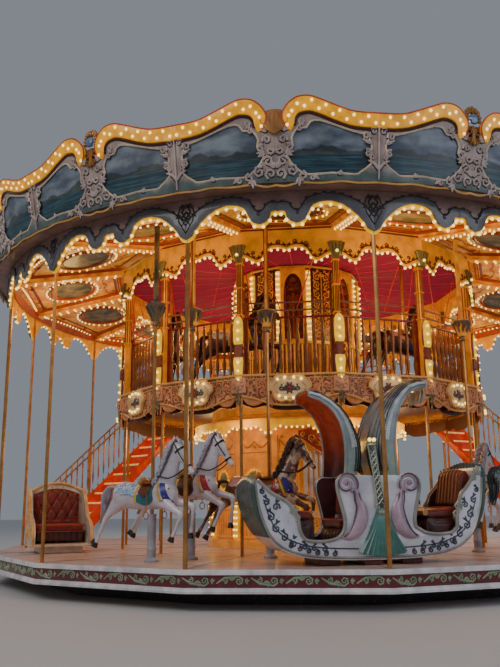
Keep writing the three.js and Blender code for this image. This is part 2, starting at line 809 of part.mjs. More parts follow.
// One horse, with its belly at the pole's foot, facing +x, in millimetres from its pole.
// Body, neck and head are one tapered form, and the legs reach out in a gallop.
function horseShape() {
  const trunk = loft(
    [
      [-640, 0, 250, 80, 90],
      [-520, 0, 200, 180, 185],
      [-100, 0, 165, 165, 165],
      [180, 0, 190, 170, 190],
      [370, 0, 290, 90, 120],
    ],
    6,
  );
  const neck = loft(
    [
      [200, 0, 220, 115, 150],
      [320, 0, 530, 72, 125],
      [420, 0, 850, 45, 60],
    ],
    6,
  );
  const head = loft(
    [
      [390, 0, 860, 50, 65],
      [480, 0, 760, 62, 90],
      [660, 0, 500, 38, 42],
    ],
    5,
  );
  const tail = loft(
    [
      [-600, 0, 300, 40, 40],
      [-790, 0, 230, 60, 55],
      [-880, 0, -200, 25, 30],
    ],
    4,
  );
  const legs = [
    [
      [200, 85, 130, 65, 80],
      [640, 85, 50, 48, 50],
      [600, 85, -250, 36, 36],
      [590, 85, -370, 45, 45],
    ],
    [
      [200, -85, 130, 65, 80],
      [560, -85, -60, 48, 48],
      [440, -85, -320, 36, 36],
      [390, -85, -400, 45, 45],
    ],
    [
      [-500, 90, 150, 80, 110],
      [-900, 90, -100, 50, 52],
      [-1080, 90, -400, 36, 36],
      [-1130, 90, -480, 45, 42],
    ],
    [
      [-500, -90, 150, 80, 110],
      [-760, -90, -140, 50, 52],
      [-900, -90, -420, 36, 36],
      [-950, -90, -500, 45, 42],
    ],
  ].map((sections) => loft(sections, 4));
  return [trunk, neck, head, tail, ...legs];
}

const horseSize = 0.94;

function horse({ azimuth, radius, belly, bore }) {
  const solids = horseShape().map((part) => {
    part.scale(horseSize, horseSize, horseSize);
    return solid(place(part, azimuth, radius, belly));
  });
  const hole = [
    [POLE_R + GAP, belly - 300],
    [POLE_R + GAP, belly + 800],
  ];
  const whole = join(solids);
  return bore ? cut(whole, [solid(place(turned(hole), azimuth, radius))]) : whole;
}

function jumper(index) {
  const { azimuth, radius, lift } = JUMPERS[index];
  return horse({ azimuth, radius, belly: BELLY_LOW + lift, bore: true });
}

function jumperPole(index) {
  const { azimuth, radius, lift } = JUMPERS[index];
  const outline = [
    [POLE_R, POLE_FOOT_LOW + lift],
    [POLE_R, POLE_HEAD_HIGH - STROKE + lift],
  ];
  return solid(place(turned(outline), azimuth, radius));
}

function deckHorse(azimuth) {
  const belly = DECK_TOP + DECK_BELLY;
  const [low, high] = DECK_CEILING_Z;
  const share = (COLUMN_BEAM[0] - DECK_HORSE_R) / (COLUMN_BEAM[0] - UPPER_CORE_R);
  const top = low + (high - low) * share - 44;
  const outline = [
    [80, DECK_TOP + GAP],
    [80, DECK_TOP + 25],
    [POLE_R, DECK_TOP + 50],
    [POLE_R, top],
  ];
  const pole = solid(place(turned(outline), azimuth, DECK_HORSE_R));
  return horse({ azimuth, radius: DECK_HORSE_R, belly, bore: false }).add(pole);
}

// Sleigh: half of each outline, as [distance from its middle, height], repeated on the other side
const hullBottom = [
  [1430, 1420],
  [1400, 1120],
  [1300, 830],
  [1120, 660],
  [760, 550],
  [300, 520],
];
const hullTop = [
  [345, HOOD_FOOT],
  [430, 1470],
  [450, 1330],
  [360, 950],
  [420, 800],
  [600, 750],
  [850, 760],
  [930, 1050],
  [1010, 1170],
  [1220, 1290],
  [1330, 1400],
];
const hoodOuter = [
  [130, HOOD_FOOT + GAP],
  [65, 1750],
  [120, 2020],
  [300, 2330],
  [580, 2530],
  [865, 2570],
];
const hoodInner = [
  [850, 2490],
  [565, 2400],
  [370, 2180],
  [315, 1870],
  [335, HOOD_FOOT + GAP],
];
// The right half is drawn out: its opening lies further from the middle, and its prow is taller.
const OPENING_SHIFT = 160;
const OPENING_RISE = 60;
const PROW_RISE = 0.38;
const share01 = (value) => Math.min(1, Math.max(0, value));
const prowRise = (x, z) => PROW_RISE * Math.max(0, x - 1010) * share01((z - 1100) / 250);
function drawnOut([x, z]) {
  const shift = OPENING_SHIFT * share01((1150 - x) / 250);
  const rise = OPENING_RISE * share01((900 - z) / 100);
  return [x + shift, z + rise + prowRise(x, z)];
}
const mirrorHalf = (half) => [...half, ...half.map(([x, z]) => [-x, z]).reverse()];
const inSleigh = (geometry) =>
  place(geometry.rotateZ(radians(SLEIGH_TURN)), SLEIGH_AZIMUTH, SLEIGH_R);

function sleighBody() {
  const half = SLEIGH_WIDE / 2;
  const outline = [...hullTop.toReversed().map(([x, z]) => [-x, z]), ...hullTop.map(drawnOut)];
  const right = hullBottom.map(([x, z]) => [x, z + prowRise(x, z)]);
  const bottom = [...right, ...hullBottom.toReversed().map(([x, z]) => [-x, z])];
  const whole = panel([...outline, ...bottom], -half, half);
  const well = [
    [1385, 1400],
    [1350, 1180],
    [1235, 900],
    [1065, 740],
    [760, WELL_FLOOR],
    [130, WELL_FLOOR],
    [130, 1900],
    [1385, 1900],
  ];
  const wells = [1, -1].map((s) => panel(well.map(([x, z]) => [s * x, z]), -half + 40, half - 40));
  const blocks = [-1, 1].map((s) =>
    box([s * 520 - 130, -half + 120, PLATFORM_TOP + GAP], [s * 520 + 130, half - 120, 560]),
  );
  const posts = [-1, 1].map((s) =>
    box([-40, s * (half - 32) - 27, HOOD_FOOT - 53], [40, s * (half - 32) + 27, HOOD_FOOT + 360]),
  );
  const solids = [whole, ...blocks, ...posts].map((one) => solid(inSleigh(one)));
  return cut(
    join(solids),
    wells.map((one) => solid(inSleigh(one))),
  );
}

function sleighHood(side) {
  const half = SLEIGH_WIDE / 2;
  const shell = 30;
  const mouth = 225;
  const share = side > 0 ? RIGHT_HOOD_SHARE : 1;
  const raised = ([x, z]) => [side * x, HOOD_FOOT + share * (z - HOOD_FOOT)];
  const outline = [...hoodOuter, ...hoodInner].map(raised);
  const inside = [
    [hoodOuter[0][0] + shell, 1400],
    [hoodOuter[0][0] + shell, HOOD_FOOT],
    [hoodOuter[1][0] + shell, 1750],
    [hoodOuter[2][0] + shell, 2010],
    [hoodOuter[3][0] + shell, 2300],
    [hoodOuter[4][0] + 10, 2500],
    [hoodOuter[5][0] + mouth, 2540],
    [hoodOuter[5][0] + mouth, 1400],
  ].map(raised);
  const whole = solid(inSleigh(panel(outline, -half, half)));
  return cut(whole, [solid(inSleigh(panel(inside, -half + shell, half - shell)))]);
}

// Seat under a hood, with its back to the middle of the sleigh
function sleighSeat(side) {
  const half = SLEIGH_WIDE / 2 - 50;
  const outline = [
    [140, WELL_FLOOR + GAP],
    [420, WELL_FLOOR + GAP],
    [440, 960],
    [400, 1010],
    [260, 1000],
    [230, 1440],
    [140, 1480],
  ].map(([x, z]) => [side * x, z]);
  return solid(inSleigh(panel(outline, -half, half)));
}

// Seat in a prow, facing the middle of the sleigh
function sleighEndSeat(side) {
  const half = SLEIGH_WIDE / 2 - 50;
  const top = side > 0 ? 1620 : 1400;
  const outline = [
    [690, WELL_FLOOR + GAP],
    [750, WELL_FLOOR + GAP],
    [1050, 750],
    [1215, 904],
    [1315, 1184],
    [1355, top - 110],
    [1320, top],
    [1250, top - 30],
    [1160, 1130],
    [670, 1080],
  ].map(([x, z]) => [side * x, z]);
  return solid(inSleigh(panel(outline, -half, half)));
}

// Low carriage with a tufted seat that faces the way the carousel turns
function carriage(azimuth) {
  const half = 430;
  const side = [
    [-400, 560],
    [420, 560],
    [470, 700],
    [380, 860],
    [120, 980],
    [-120, 1240],
    [-380, 1420],
    [-460, 1400],
    [-470, 700],
  ];
  const foot = box([-330, -330, PLATFORM_TOP + GAP], [330, 330, 580]);
  const floor = box([-440, -half, 560], [430, half, 620]);
  const back = box([-470, -half, 600], [-430, half, 1400]);
  const arch = panelAcross([[-half, 1390], [half, 1390], [300, 1480], [0, 1530], [-300, 1480]], -470, -430);
  const walls = [-1, 1].map((s) => panel(side, s * half - 20, s * half + 20));
  return join([foot, floor, back, arch, ...walls].map((one) => solid(place(one, azimuth, CARRIAGE_R))));
}

// A flat outline of [outwards, height], as thick as from one place to another along the bay.
function panelAcross(outline, from, to) {
  return rib(outline, to - from).translate((from + to) / 2, 0, 0);
}

function carriageSeat(azimuth) {
  const half = 430 - 21;
  const outline = [
    [-429, 621],
    [180, 621],
    [180, 900],
    [-300, 900],
    [-330, 1380],
    [-429, 1380],
  ];
  const arch = [
    [-half, 1370],
    [half, 1370],
    [280, 1460],
    [0, 1505],
    [-280, 1460],
  ];
  const solids = [panel(outline, -half, half), panelAcross(arch, -429, -360)];
  return join(solids.map((one) => solid(place(one, azimuth, CARRIAGE_R))));
}

function carousel() {
  const group = new THREE.Group();
  const add = (name, body, finish) => group.add(piece(name, body, finish));
  add("base_frame", baseFrame(), "steel");
  add("platform", platform(), "floor");
  add("platform_skirt", platformSkirt(), "maroon");
  add("lower_core", lowerCore(), "cream");
  add("organ_front", organFront(), "cream");
  add("deck_posts", deckPosts(), "gold");
  add("deck_floor", deckFloor(), "brown");
  add("deck_fascia", deckFascia(), "cream");
  const railings = { front: [-1, 0, 1], left: [-4, -3, -2], right: [2, 3, 4], back: [6, 7, 8] };
  for (const [where, bays] of Object.entries(railings)) {
    add("deck_railing_" + where, deckRailing(bays), "bronze");
  }
  for (const [where, side] of Object.entries(handed)) {
    add("stair_" + where, stairFlight(side), "red");
    add("stair_balustrade_" + where, stairBalustrade(side), "silver");
  }
  add("upper_core", upperCore(), "brown");
  add("colonnade", colonnade(), "gold");
  add("inner_valance", innerValance(), "cream");
  add("deck_ceiling", deckCeiling(), "red");
  add("outer_poles", outerPoles(), "gold");
  add("outer_valance", outerValance(), "grey");
  add("outer_ceiling", outerCeiling(), "cream");
  add("cornice", cornice(), "blue");
  add("roof", roof(), "canvas");
  add("roof_crown", roofCrown(), "gold");
  JUMPERS.forEach((_, i) => {
    add("horse_" + (i + 1), jumper(i), "white");
    add("horse_pole_" + (i + 1), jumperPole(i), "gold");
  });
  DECK_HORSES.forEach((azimuth, i) => add("deck_horse_" + (i + 1), deckHorse(azimuth), "white"));
  add("sleigh_body", sleighBody(), "white");
  for (const [where, side] of Object.entries(handed)) {
    add("sleigh_hood_" + where, sleighHood(side), "blue");
    add("sleigh_seat_" + where, sleighSeat(side), "lining");
    add("sleigh_end_seat_" + where, sleighEndSeat(side), "lining");
  }
  for (const [where, azimuth] of Object.entries(CARRIAGES)) {
    add("carriage_" + where, carriage(azimuth), "cream");
    add("carriage_seat_" + where, carriageSeat(azimuth), "velvet");
  }
  return group;
}

export default carousel();
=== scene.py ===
"""A two-deck fairground carousel: its carved, painted and lit pieces, built on the frame in metres."""

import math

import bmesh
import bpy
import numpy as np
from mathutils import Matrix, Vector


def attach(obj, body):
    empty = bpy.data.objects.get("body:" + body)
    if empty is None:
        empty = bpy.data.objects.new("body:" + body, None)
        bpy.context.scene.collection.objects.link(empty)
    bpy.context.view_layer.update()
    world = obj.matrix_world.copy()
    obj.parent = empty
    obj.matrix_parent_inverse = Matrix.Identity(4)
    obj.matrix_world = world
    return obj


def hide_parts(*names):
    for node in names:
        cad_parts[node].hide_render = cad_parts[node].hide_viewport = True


bl_info = {
    "name": "Two-deck carousel",
    "version": (1, 0, 0),
    "blender": (4, 5, 0),
    "location": "View3D > Sidebar > Carousel",
    "description": "Builds the carved, painted and lit pieces of a two-deck carousel on its frame",
    "category": "Add Mesh",
}

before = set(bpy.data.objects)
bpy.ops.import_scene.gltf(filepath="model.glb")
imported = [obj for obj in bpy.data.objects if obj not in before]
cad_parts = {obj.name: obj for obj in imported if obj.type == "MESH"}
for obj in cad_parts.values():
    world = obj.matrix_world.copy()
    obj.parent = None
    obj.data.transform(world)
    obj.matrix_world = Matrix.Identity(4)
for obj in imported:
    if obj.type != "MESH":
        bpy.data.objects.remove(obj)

SIDES = 14
BAY = 2 * math.pi / SIDES
HALF_BAY = BAY / 2
FLAT = math.cos(HALF_BAY)
PLATFORM_TOP = 0.46
DECK_TOP = 2.96
STAIR_BAY = 5
CORNICE_FOOT = 4.95
CORNICE_R = 5.5
CORNICE_SLOPE = 0.16 / 0.83
CORNICE_MEAN_R = 5.58
VALANCE_R = 5.244
VALANCE_TOP = CORNICE_FOOT
UPPER_CORE_R = 1.16
DECK_R = 3.3
SKIRT_R = 5.28
FASCIA_R = 3.3303
COLUMN_R = 3.224
FLAT_ANGLE = math.radians(0.9)


def rgb(red, green, blue):
    """A colour from its 0 to 255 screen values, as the linear values that Blender keeps."""
    return tuple(
        c / 12.92 if c <= 0.04045 else ((c + 0.055) / 1.055) ** 2.4
        for c in (red / 255, green / 255, blue / 255)
    )


def length(name, description, default):
    return bpy.props.FloatProperty(name=name, description=description, default=default, unit="LENGTH")


def colour(name, description, default):
    return bpy.props.FloatVectorProperty(
        name=name, description=description, default=default, subtype="COLOR", min=0, max=1
    )


class CarouselSizes(bpy.types.PropertyGroup):
    bulb: length("Bulb radius", "Radius of each lamp bulb", 0.021)
    bulb_spacing: length("Bulb spacing", "Distance between bulbs along an edge", 0.12)


class CarouselColours(bpy.types.PropertyGroup):
    gold: colour("Gold", "Lit gold of the cornice's band", rgb(252, 172, 8))
    lilac: colour("Lilac grey", "Border of the valance", rgb(94, 94, 98))
    maroon: colour("Maroon", "Skirt and rails", rgb(104, 18, 30))
    cloth: colour("Cloth", "Ceiling cloth over the deck", rgb(132, 0, 52))
    bulb: colour("Bulb", "Light of the bulbs", rgb(255, 226, 150))


# Selecting, joining and finishing


def choose(*chosen):
    choose_none()
    for piece in chosen:
        piece.select_set(True)
    bpy.context.view_layer.objects.active = chosen[0]


def choose_none():
    bpy.ops.object.select_all(action="DESELECT")


def settle(piece):
    choose(piece)
    bpy.ops.object.transform_apply(location=True, rotation=True, scale=True)
    return piece


def merged(*parts):
    if len(parts) > 1:
        choose(*parts)
        bpy.ops.object.join()
    return settle(parts[0])


def closed(piece):
    """Merges doubled points and turns every face outwards."""
    choose(piece)
    bpy.ops.object.mode_set(mode="EDIT")
    bpy.ops.mesh.select_all(action="SELECT")
    bpy.ops.mesh.remove_doubles(threshold=0.0001)
    bpy.ops.mesh.normals_make_consistent(inside=False)
    bpy.ops.object.mode_set(mode="OBJECT")
    return piece


def applied(piece, kind, **settings):
    choose(piece)
    modifier = piece.modifiers.new(kind.title(), kind)
    for key, value in settings.items():
        setattr(modifier, key, value)
    bpy.ops.object.modifier_apply(modifier=modifier.name)
    return piece


def complete(piece, name, finish, angle=35, stands_for=()):
    """Names a piece, gives it its finish and lets it ride on the turning carousel."""
    piece.name = name
    piece.data.name = name
    settle(piece)
    bpy.ops.object.shade_smooth_by_angle(angle=math.radians(angle))
    dressed(piece, finish)
    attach(piece, "carousel")
    if stands_for:
        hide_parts(*stands_for)
    return piece


def in_bays(piece, name, finish, places=None, **rest):
    """A finished piece with a copy of one shape in every bay, or at the given places."""
    return complete(spread(piece, places or bays()), name, finish, **rest)


def dressed(piece, finish):
    piece.data.materials.clear()
    piece.data.materials.append(bpy.data.materials[finish])
    return piece


# Shapes


def spread(piece, places):
    """One mesh with a copy of the piece at each place."""
    mesh = piece.data
    points = np.empty(len(mesh.vertices) * 3, np.float32)
    mesh.vertices.foreach_get("co", points)
    points = points.reshape(-1, 3)
    corners = np.empty(len(mesh.loops), np.int32)
    mesh.loops.foreach_get("vertex_index", corners)
    starts = np.empty(len(mesh.polygons), np.int32)
    sizes = np.empty(len(mesh.polygons), np.int32)
    mesh.polygons.foreach_get("loop_start", starts)
    mesh.polygons.foreach_get("loop_total", sizes)
    back = np.concatenate([np.arange(s + n - 1, s - 1, -1) for s, n in zip(starts, sizes)])
    all_points, all_corners = [], []
    for i, place in enumerate(places):
        matrix = np.array(place)
        all_points.append(points @ matrix[:3, :3].T + matrix[:3, 3])
        turned = corners[back] if np.linalg.det(matrix[:3, :3]) < 0 else corners
        all_corners.append(turned + i * len(points))
    made = bpy.data.meshes.new(piece.name)
    count = len(places)
    made.vertices.add(count * len(points))
    made.loops.add(count * len(corners))
    made.polygons.add(count * len(starts))
    made.vertices.foreach_set("co", np.concatenate(all_points).astype(np.float32).ravel())
    made.loops.foreach_set("vertex_index", np.concatenate(all_corners))
    all_starts = np.concatenate([starts + i * len(corners) for i in range(count)])
    made.polygons.foreach_set("loop_start", all_starts.astype(np.int32))
    made.update(calc_edges=True)
    made.validate()
    piece.data = made
    return piece


def turn(angle):
    return Matrix.Rotation(angle, 4, "Z")


def bays(which=range(SIDES), shift=0.0):
    return [turn((k + shift) * BAY) for k in which]


def at(x, y, z):
    return Matrix.Translation((x, y, z))


CORNERS = bays(shift=0.5)
HERE = Matrix.Identity(4)
MIRROR_X = Matrix.Scale(-1, 4, (1, 0, 0))
MIRROR_Y = Matrix.Scale(-1, 4, (0, 1, 0))


def mirrored(points):
    """Points of one side followed by the same points on the other, as one line or outline."""
    return [*points, *[(-p[0], *p[1:]) for p in reversed(points)]]


def flow(points, steps=5, loop=False):
    """A smooth line through the points, which may carry a thickness share as their last value."""
    points = [np.array(p, float) for p in points]
    count = len(points)
    out = []
    for i in range(count if loop else count - 1):
        if loop:
            a, b, c, d = (points[(i + k) % count] for k in (-1, 0, 1, 2))
        else:
            a, b, c, d = (points[min(max(i + k, 0), count - 1)] for k in (-1, 0, 1, 2))
        for step in range(steps):
            t = step / steps
            square = (2 * a - 5 * b + 4 * c - d) * t**2
            cube = (3 * b - a - 3 * c + d) * t**3
            out.append(0.5 * (2 * b + (c - a) * t + square + cube))
    if not loop:
        out.append(points[-1])
    return [tuple(p) for p in out]


def curve(splines, loop, flat=False, **settings):
    """A curve object with one straight-sided spline for each list of points, as a mesh."""
    choose_none()
    bpy.ops.object.add(type="CURVE")
    piece = bpy.context.object
    data = piece.data
    data.dimensions = "2D" if flat else "3D"
    for key, value in settings.items():
        setattr(data, key, value)
    for points in splines:
        spline = data.splines.new("POLY")
        spline.points.add(len(points) - 1)
        spline.use_cyclic_u = loop
        for point, place in zip(spline.points, points):
            point.co = (*place[:3], 1) if not flat else (place[0], place[1], 0, 1)
            if not flat and len(place) > 3:
                point.radius = place[3]
    bpy.ops.object.convert(target="MESH")
    return closed(bpy.context.object)


def tubes(strokes, thick, sides=0, loop=False):
    """Round strokes through (x, y, z) points, with a share of the thickness as a fourth value."""
    return curve(strokes, loop, bevel_depth=thick, bevel_resolution=sides, use_fill_caps=not loop)


def relief(strokes, thick, flatten=0.7, loop=False, sides=0):
    """Carved strokes on an upright board through (x, z) or (x, z, share) points, facing -Y."""
    strokes = [[(p[0], 0, p[1], *p[2:]) for p in stroke] for stroke in strokes]
    piece = tubes(strokes, thick, sides, loop)
    piece.scale.y = flatten
    return settle(piece)


def board(outlines, thick, edge=0.0, steps=1):
    """An upright board cut to outlines of (x, z), with its back at y = 0 and its face towards -Y."""
    piece = curve(
        outlines,
        True,
        flat=True,
        fill_mode="BOTH",
        extrude=thick / 2 - edge,
        bevel_depth=edge,
        bevel_resolution=steps,
        offset=-edge,
    )
    piece.rotation_euler.x = math.pi / 2
    piece.location.y = -thick / 2
    return settle(piece)


def sliced(piece, spacing, axis=0):
    """Cuts a board along one axis at a spacing, so that it can be bent."""
    body = bmesh.new()
    body.from_mesh(piece.data)
    values = [v.co[axis] for v in body.verts]
    normal = [0, 0, 0]
    normal[axis] = 1
    for i in range(math.ceil(min(values) / spacing), math.floor(max(values) / spacing) + 1):
        place = [0, 0, 0]
        place[axis] = i * spacing + 0.0003
        bmesh.ops.bisect_plane(
            body,
            geom=[*body.verts, *body.edges, *body.faces],
            plane_co=place,
            plane_no=normal,
        )
    body.to_mesh(piece.data)
    body.free()
    return piece


def reshape(piece, change):
    """Moves the points of a piece by a function of their (n, 3) array."""
    count = len(piece.data.vertices)
    points = np.empty(count * 3, np.float32)
    piece.data.vertices.foreach_get("co", points)
    moved = change(points.reshape(-1, 3).astype(float))
    piece.data.vertices.foreach_set("co", moved.astype(np.float32).ravel())
    piece.data.update()
    return piece


def wrapped(piece, radius, mean, slope, foot, spacing):
    """Bends a board drawn flat along x round the carousel, on a wall that may lean out."""

    def bend(p):
        angle = p[:, 0] / mean
        out = radius + slope * (p[:, 2] - foot) - p[:, 1]
        return np.stack([out * np.sin(angle), -out * np.cos(angle), p[:, 2]], 1)

    bent = reshape(sliced(piece, spacing), bend)
    return applied(bent, "DECIMATE", decimate_type="DISSOLVE", angle_limit=FLAT_ANGLE)


def lathe(outline, steps, x=0.0, y=0.0):
    """A turned piece about an upright axis, from (radius, height) points up its outside."""
    piece = curve([[(r, 0, z) for r, z in outline]], False)
    applied(piece, "SCREW", angle=2 * math.pi, steps=steps, render_steps=steps, use_merge_vertices=True)
    piece.location = (x, y, 0)
    return closed(settle(piece))


def block(low, high):
    """A box between two corners, which is shaped further or kept for a plain batten."""
    low, high = Vector(low), Vector(high)
    choose_none()
    bpy.ops.mesh.primitive_cube_add(size=1, location=(low + high) / 2)
    piece = bpy.context.object
    piece.scale = high - low
    return settle(piece)


def batten(low, high, edge):
    """A box with rounded edges."""
    return applied(block(low, high), "BEVEL", width=edge, segments=1, limit_method="ANGLE")


def volute(x, z, radius, start, turns, hand):
    """A scroll that winds in from its rim at the start angle (degrees) to its eye."""
    count = 8
    out = []
    for i in range(count + 1):
        t = i / count
        angle = math.radians(start) + hand * turns * 2 * math.pi * t
        reach = radius * (1 - 0.82 * t)
        share = 1 - 0.35 * t if i < count else 1.5
        out.append((x + reach * math.cos(angle), z + reach * math.sin(angle), share))
    return out


def leaf(x, z, reach, angle, lobes=3, spread_deg=28):
    """Tapered strokes that fan out from one place like a carved leaf."""
    curl = 0.25
    strokes = []
    for i in range(lobes):
        side = i - (lobes - 1) / 2
        heading = math.radians(angle + side * spread_deg)
        far = reach * (1 - 0.18 * abs(side))
        bend = heading + curl * (1 if side >= 0 else -1)
        middle = (x + 0.5 * far * math.cos(heading), z + 0.5 * far * math.sin(heading), 1.3)
        strokes.append([(x, z, 0.7), middle, (x + far * math.cos(bend), z + far * math.sin(bend), 0.35)])
    return strokes


def along(points, spacing, start=0.5):
    """Places at an even spacing along a line of points."""
    points = [np.array(p[:3], float) for p in points]
    out, left = [], spacing * start
    for a, b in zip(points, points[1:]):
        step = np.linalg.norm(b - a)
        while left <= step:
            out.append(tuple(a + (b - a) * left / step))
            left += spacing
        left -= step
    return out


def bulb_string(places, radius):
    """A glass bulb at each place."""
    choose_none()
    bpy.ops.mesh.primitive_uv_sphere_add(segments=6, ring_count=4, radius=radius)
    return spread(bpy.context.object, [at(*place) for place in places])


# Shader node helpers


def add(tree, kind, inputs=None, **settings):
    node = tree.nodes.new(kind)
    for key, value in settings.items():
        setattr(node, key, value)
    for key, value in (inputs or {}).items():
        if isinstance(value, bpy.types.NodeSocket):
            tree.links.new(value, node.inputs[key])
        else:
            node.inputs[key].default_value = value
    return node


def calc(tree, operation, a, b=0.0, clamp=False):
    return add(tree, "ShaderNodeMath", {0: a, 1: b}, operation=operation, use_clamp=clamp).outputs[0]


def times(tree, a, b):
    return calc(tree, "MULTIPLY", a, b)


def plus(tree, a, b):
    return calc(tree, "ADD", a, b)


def minus(tree, a, b):
    return calc(tree, "SUBTRACT", a, b)


def over(tree, a, b):
    return calc(tree, "DIVIDE", a, b)


def opaque(value):
    """A colour of three values with its fourth, and anything else as it is."""
    return (*value, 1) if isinstance(value, tuple) and len(value) == 3 else value


def mixed(tree, share, a, b):
    node = add(tree, "ShaderNodeMix", {0: share, 6: opaque(a), 7: opaque(b)}, data_type="RGBA")
    return node.outputs[2]


def between(tree, value, low, high, to_low=0.0, to_high=1.0):
    inputs = {0: value, 1: low, 2: high, 3: to_low, 4: to_high}
    return add(tree, "ShaderNodeMapRange", inputs, interpolation_type="SMOOTHSTEP").outputs[0]


def noise(tree, place, scale, detail=3.0, distortion=0.0):
    inputs = {"Vector": place, "Scale": scale, "Detail": detail, "Distortion": distortion}
    return add(tree, "ShaderNodeTexNoise", inputs).outputs[0]


def group(name, inputs, outputs):
    """A shader node group with named inputs (name, kind, default) and outputs (name, kind)."""
    tree = bpy.data.node_groups.new(name, "ShaderNodeTree")
    for label, kind, default in inputs:
        made = tree.interface.new_socket(name=label, in_out="INPUT", socket_type="NodeSocket" + kind)
        made.default_value = default
    for label, kind in outputs:
        tree.interface.new_socket(name=label, in_out="OUTPUT", socket_type="NodeSocket" + kind)
    start = tree.nodes.new("NodeGroupInput")
    end = tree.nodes.new("NodeGroupOutput")
    return tree, start.outputs, end.inputs


def use(tree, name, **inputs):
    """Places a node group in a tree, with its inputs by name."""
    node = tree.nodes.new("ShaderNodeGroup")
    node.node_tree = bpy.data.node_groups[name]
    for key, value in inputs.items():
        target = node.inputs[key.replace("_", " ").capitalize()]
        if isinstance(value, bpy.types.NodeSocket):
            tree.links.new(value, target)
        else:
            target.default_value = opaque(value)
    return node.outputs


def bay_group():
    """Where a point lies in its bay: along it, how far out, its height and which bay."""
    outputs = [("Along", "Float"), ("Out", "Float"), ("Height", "Float"), ("Bay", "Float"),
               ("Flat", "Vector")]
    tree, _, out = group("Bay place", [], outputs)
    place = add(tree, "ShaderNodeTexCoord").outputs["Object"]
    xyz = add(tree, "ShaderNodeSeparateXYZ", {0: place}).outputs
    angle = calc(tree, "ARCTAN2", xyz[0], times(tree, xyz[1], -1.0))
    bay = calc(tree, "ROUND", over(tree, angle, BAY))
    local = minus(tree, angle, times(tree, bay, BAY))
    radius = calc(
        tree,
        "SQRT",
        plus(tree, times(tree, xyz[0], xyz[0]), times(tree, xyz[1], xyz[1])),
    )
    side = times(tree, radius, calc(tree, "SINE", local))
    outwards = times(tree, radius, calc(tree, "COSINE", local))
    links = tree.links
    links.new(side, out["Along"])
    links.new(outwards, out["Out"])
    links.new(xyz[2], out["Height"])
    links.new(bay, out["Bay"])
    flat = add(tree, "ShaderNodeCombineXYZ", {0: side, 1: outwards, 2: xyz[2]})
    links.new(flat.outputs[0], out["Flat"])


def paint_group():
    """Old gloss paint: uneven tone, painted shade in hollows with dirt spots, wear on ridges and faint brush
    marks.
    """
    inputs = [
        ("Colour", "Color", (0.5, 0.5, 0.5, 1)),
        ("Dirt", "Color", (0.08, 0.05, 0.03, 1)),
        ("Worn", "Color", (0.9, 0.8, 0.6, 1)),
        ("Dirt amount", "Float", 0.5),
        ("Wear amount", "Float", 0.4),
        ("Gloss", "Float", 0.35),
        ("Scale", "Float", 6.0),
        ("Ridge wear", "Float", 0.0),
    ]
    tree, given, out = group("Old paint", inputs, [("Colour", "Color"), ("Roughness", "Float"),
                                                   ("Height", "Float")])
    place = add(tree, "ShaderNodeTexCoord").outputs["Object"]
    broad = noise(tree, place, given["Scale"], 4.0)
    fine = noise(tree, place, times(tree, given["Scale"], 9.0), 3.0)
    tone = between(tree, broad, 0.3, 0.7, 0.78, 1.16)
    toned = add(tree, "ShaderNodeHueSaturation", {"Value": tone, "Color": given["Colour"]}).outputs[0]
    pointed = add(tree, "ShaderNodeNewGeometry").outputs["Pointiness"]
    # Painted shade: hollows that the pointiness finds darken towards the dirt and shade colour; the spots are
    # dirt at random.
    hollow = between(tree, plus(tree, pointed, times(tree, fine, 0.03)), 0.50, 0.44)
    ridge = between(tree, plus(tree, pointed, times(tree, fine, 0.05)), 0.54, 0.62)
    spots = between(tree, fine, 0.60, 0.72, 0.0, 0.6)
    chips = between(tree, fine, 0.36, 0.28, 0.0, 0.7)
    dirt_and_shade_share = calc(tree, "MULTIPLY", calc(tree, "MAXIMUM", hollow, spots), given["Dirt amount"], clamp=True)
    worn = calc(
        tree,
        "ADD",
        times(tree, chips, given["Wear amount"]),
        times(tree, ridge, given["Ridge wear"]),
        clamp=True,
    )
    colour_out = mixed(tree, worn, mixed(tree, dirt_and_shade_share, toned, given["Dirt"]), given["Worn"])
    tree.links.new(colour_out, out["Colour"])
    rough = plus(tree, given["Gloss"], times(tree, plus(tree, dirt_and_shade_share, fine), 0.22))
    tree.links.new(rough, out["Roughness"])
    tree.links.new(plus(tree, fine, times(tree, broad, 0.5)), out["Height"])


def carving_group():
    """Carved scrollwork on a board: swirling ridges with dark ground between them."""
    inputs = [("Vector", "Vector", (0, 0, 0)), ("Scale", "Float", 5.0), ("Swirl", "Float", 1.0)]
    tree, given, out = group("Carved scrolls", inputs, [("Ridge", "Float"), ("Height", "Float")])
    warp = add(tree, "ShaderNodeTexNoise", {"Vector": given["Vector"], "Scale": given["Scale"],
                                            "Detail": 1.0})
    shift = add(tree, "ShaderNodeVectorMath", {0: warp.outputs["Color"], 1: (0.5, 0.5, 0.5)},
                operation="SUBTRACT")
    pushed = add(tree, "ShaderNodeVectorMath", {0: shift.outputs[0], "Scale": given["Swirl"]},
                 operation="SCALE")
    scaled = over(tree, 0.5, given["Scale"])
    sized = add(tree, "ShaderNodeVectorMath", {0: pushed.outputs[0], "Scale": scaled}, operation="SCALE")
    place = add(tree, "ShaderNodeVectorMath", {0: given["Vector"], 1: sized.outputs[0]}, operation="ADD")
    cells = add(
        tree,
        "ShaderNodeTexVoronoi",
        {"Vector": place.outputs[0], "Scale": given["Scale"], "Smoothness": 0.3},
        feature="SMOOTH_F1",
    )
    rings = calc(tree, "SINE", times(tree, cells.outputs["Distance"], 19.0))
    ridge = between(tree, rings, -0.3, 0.7)
    tree.links.new(ridge, out["Ridge"])
    tree.links.new(plus(tree, times(tree, rings, 0.5), 0.5), out["Height"])


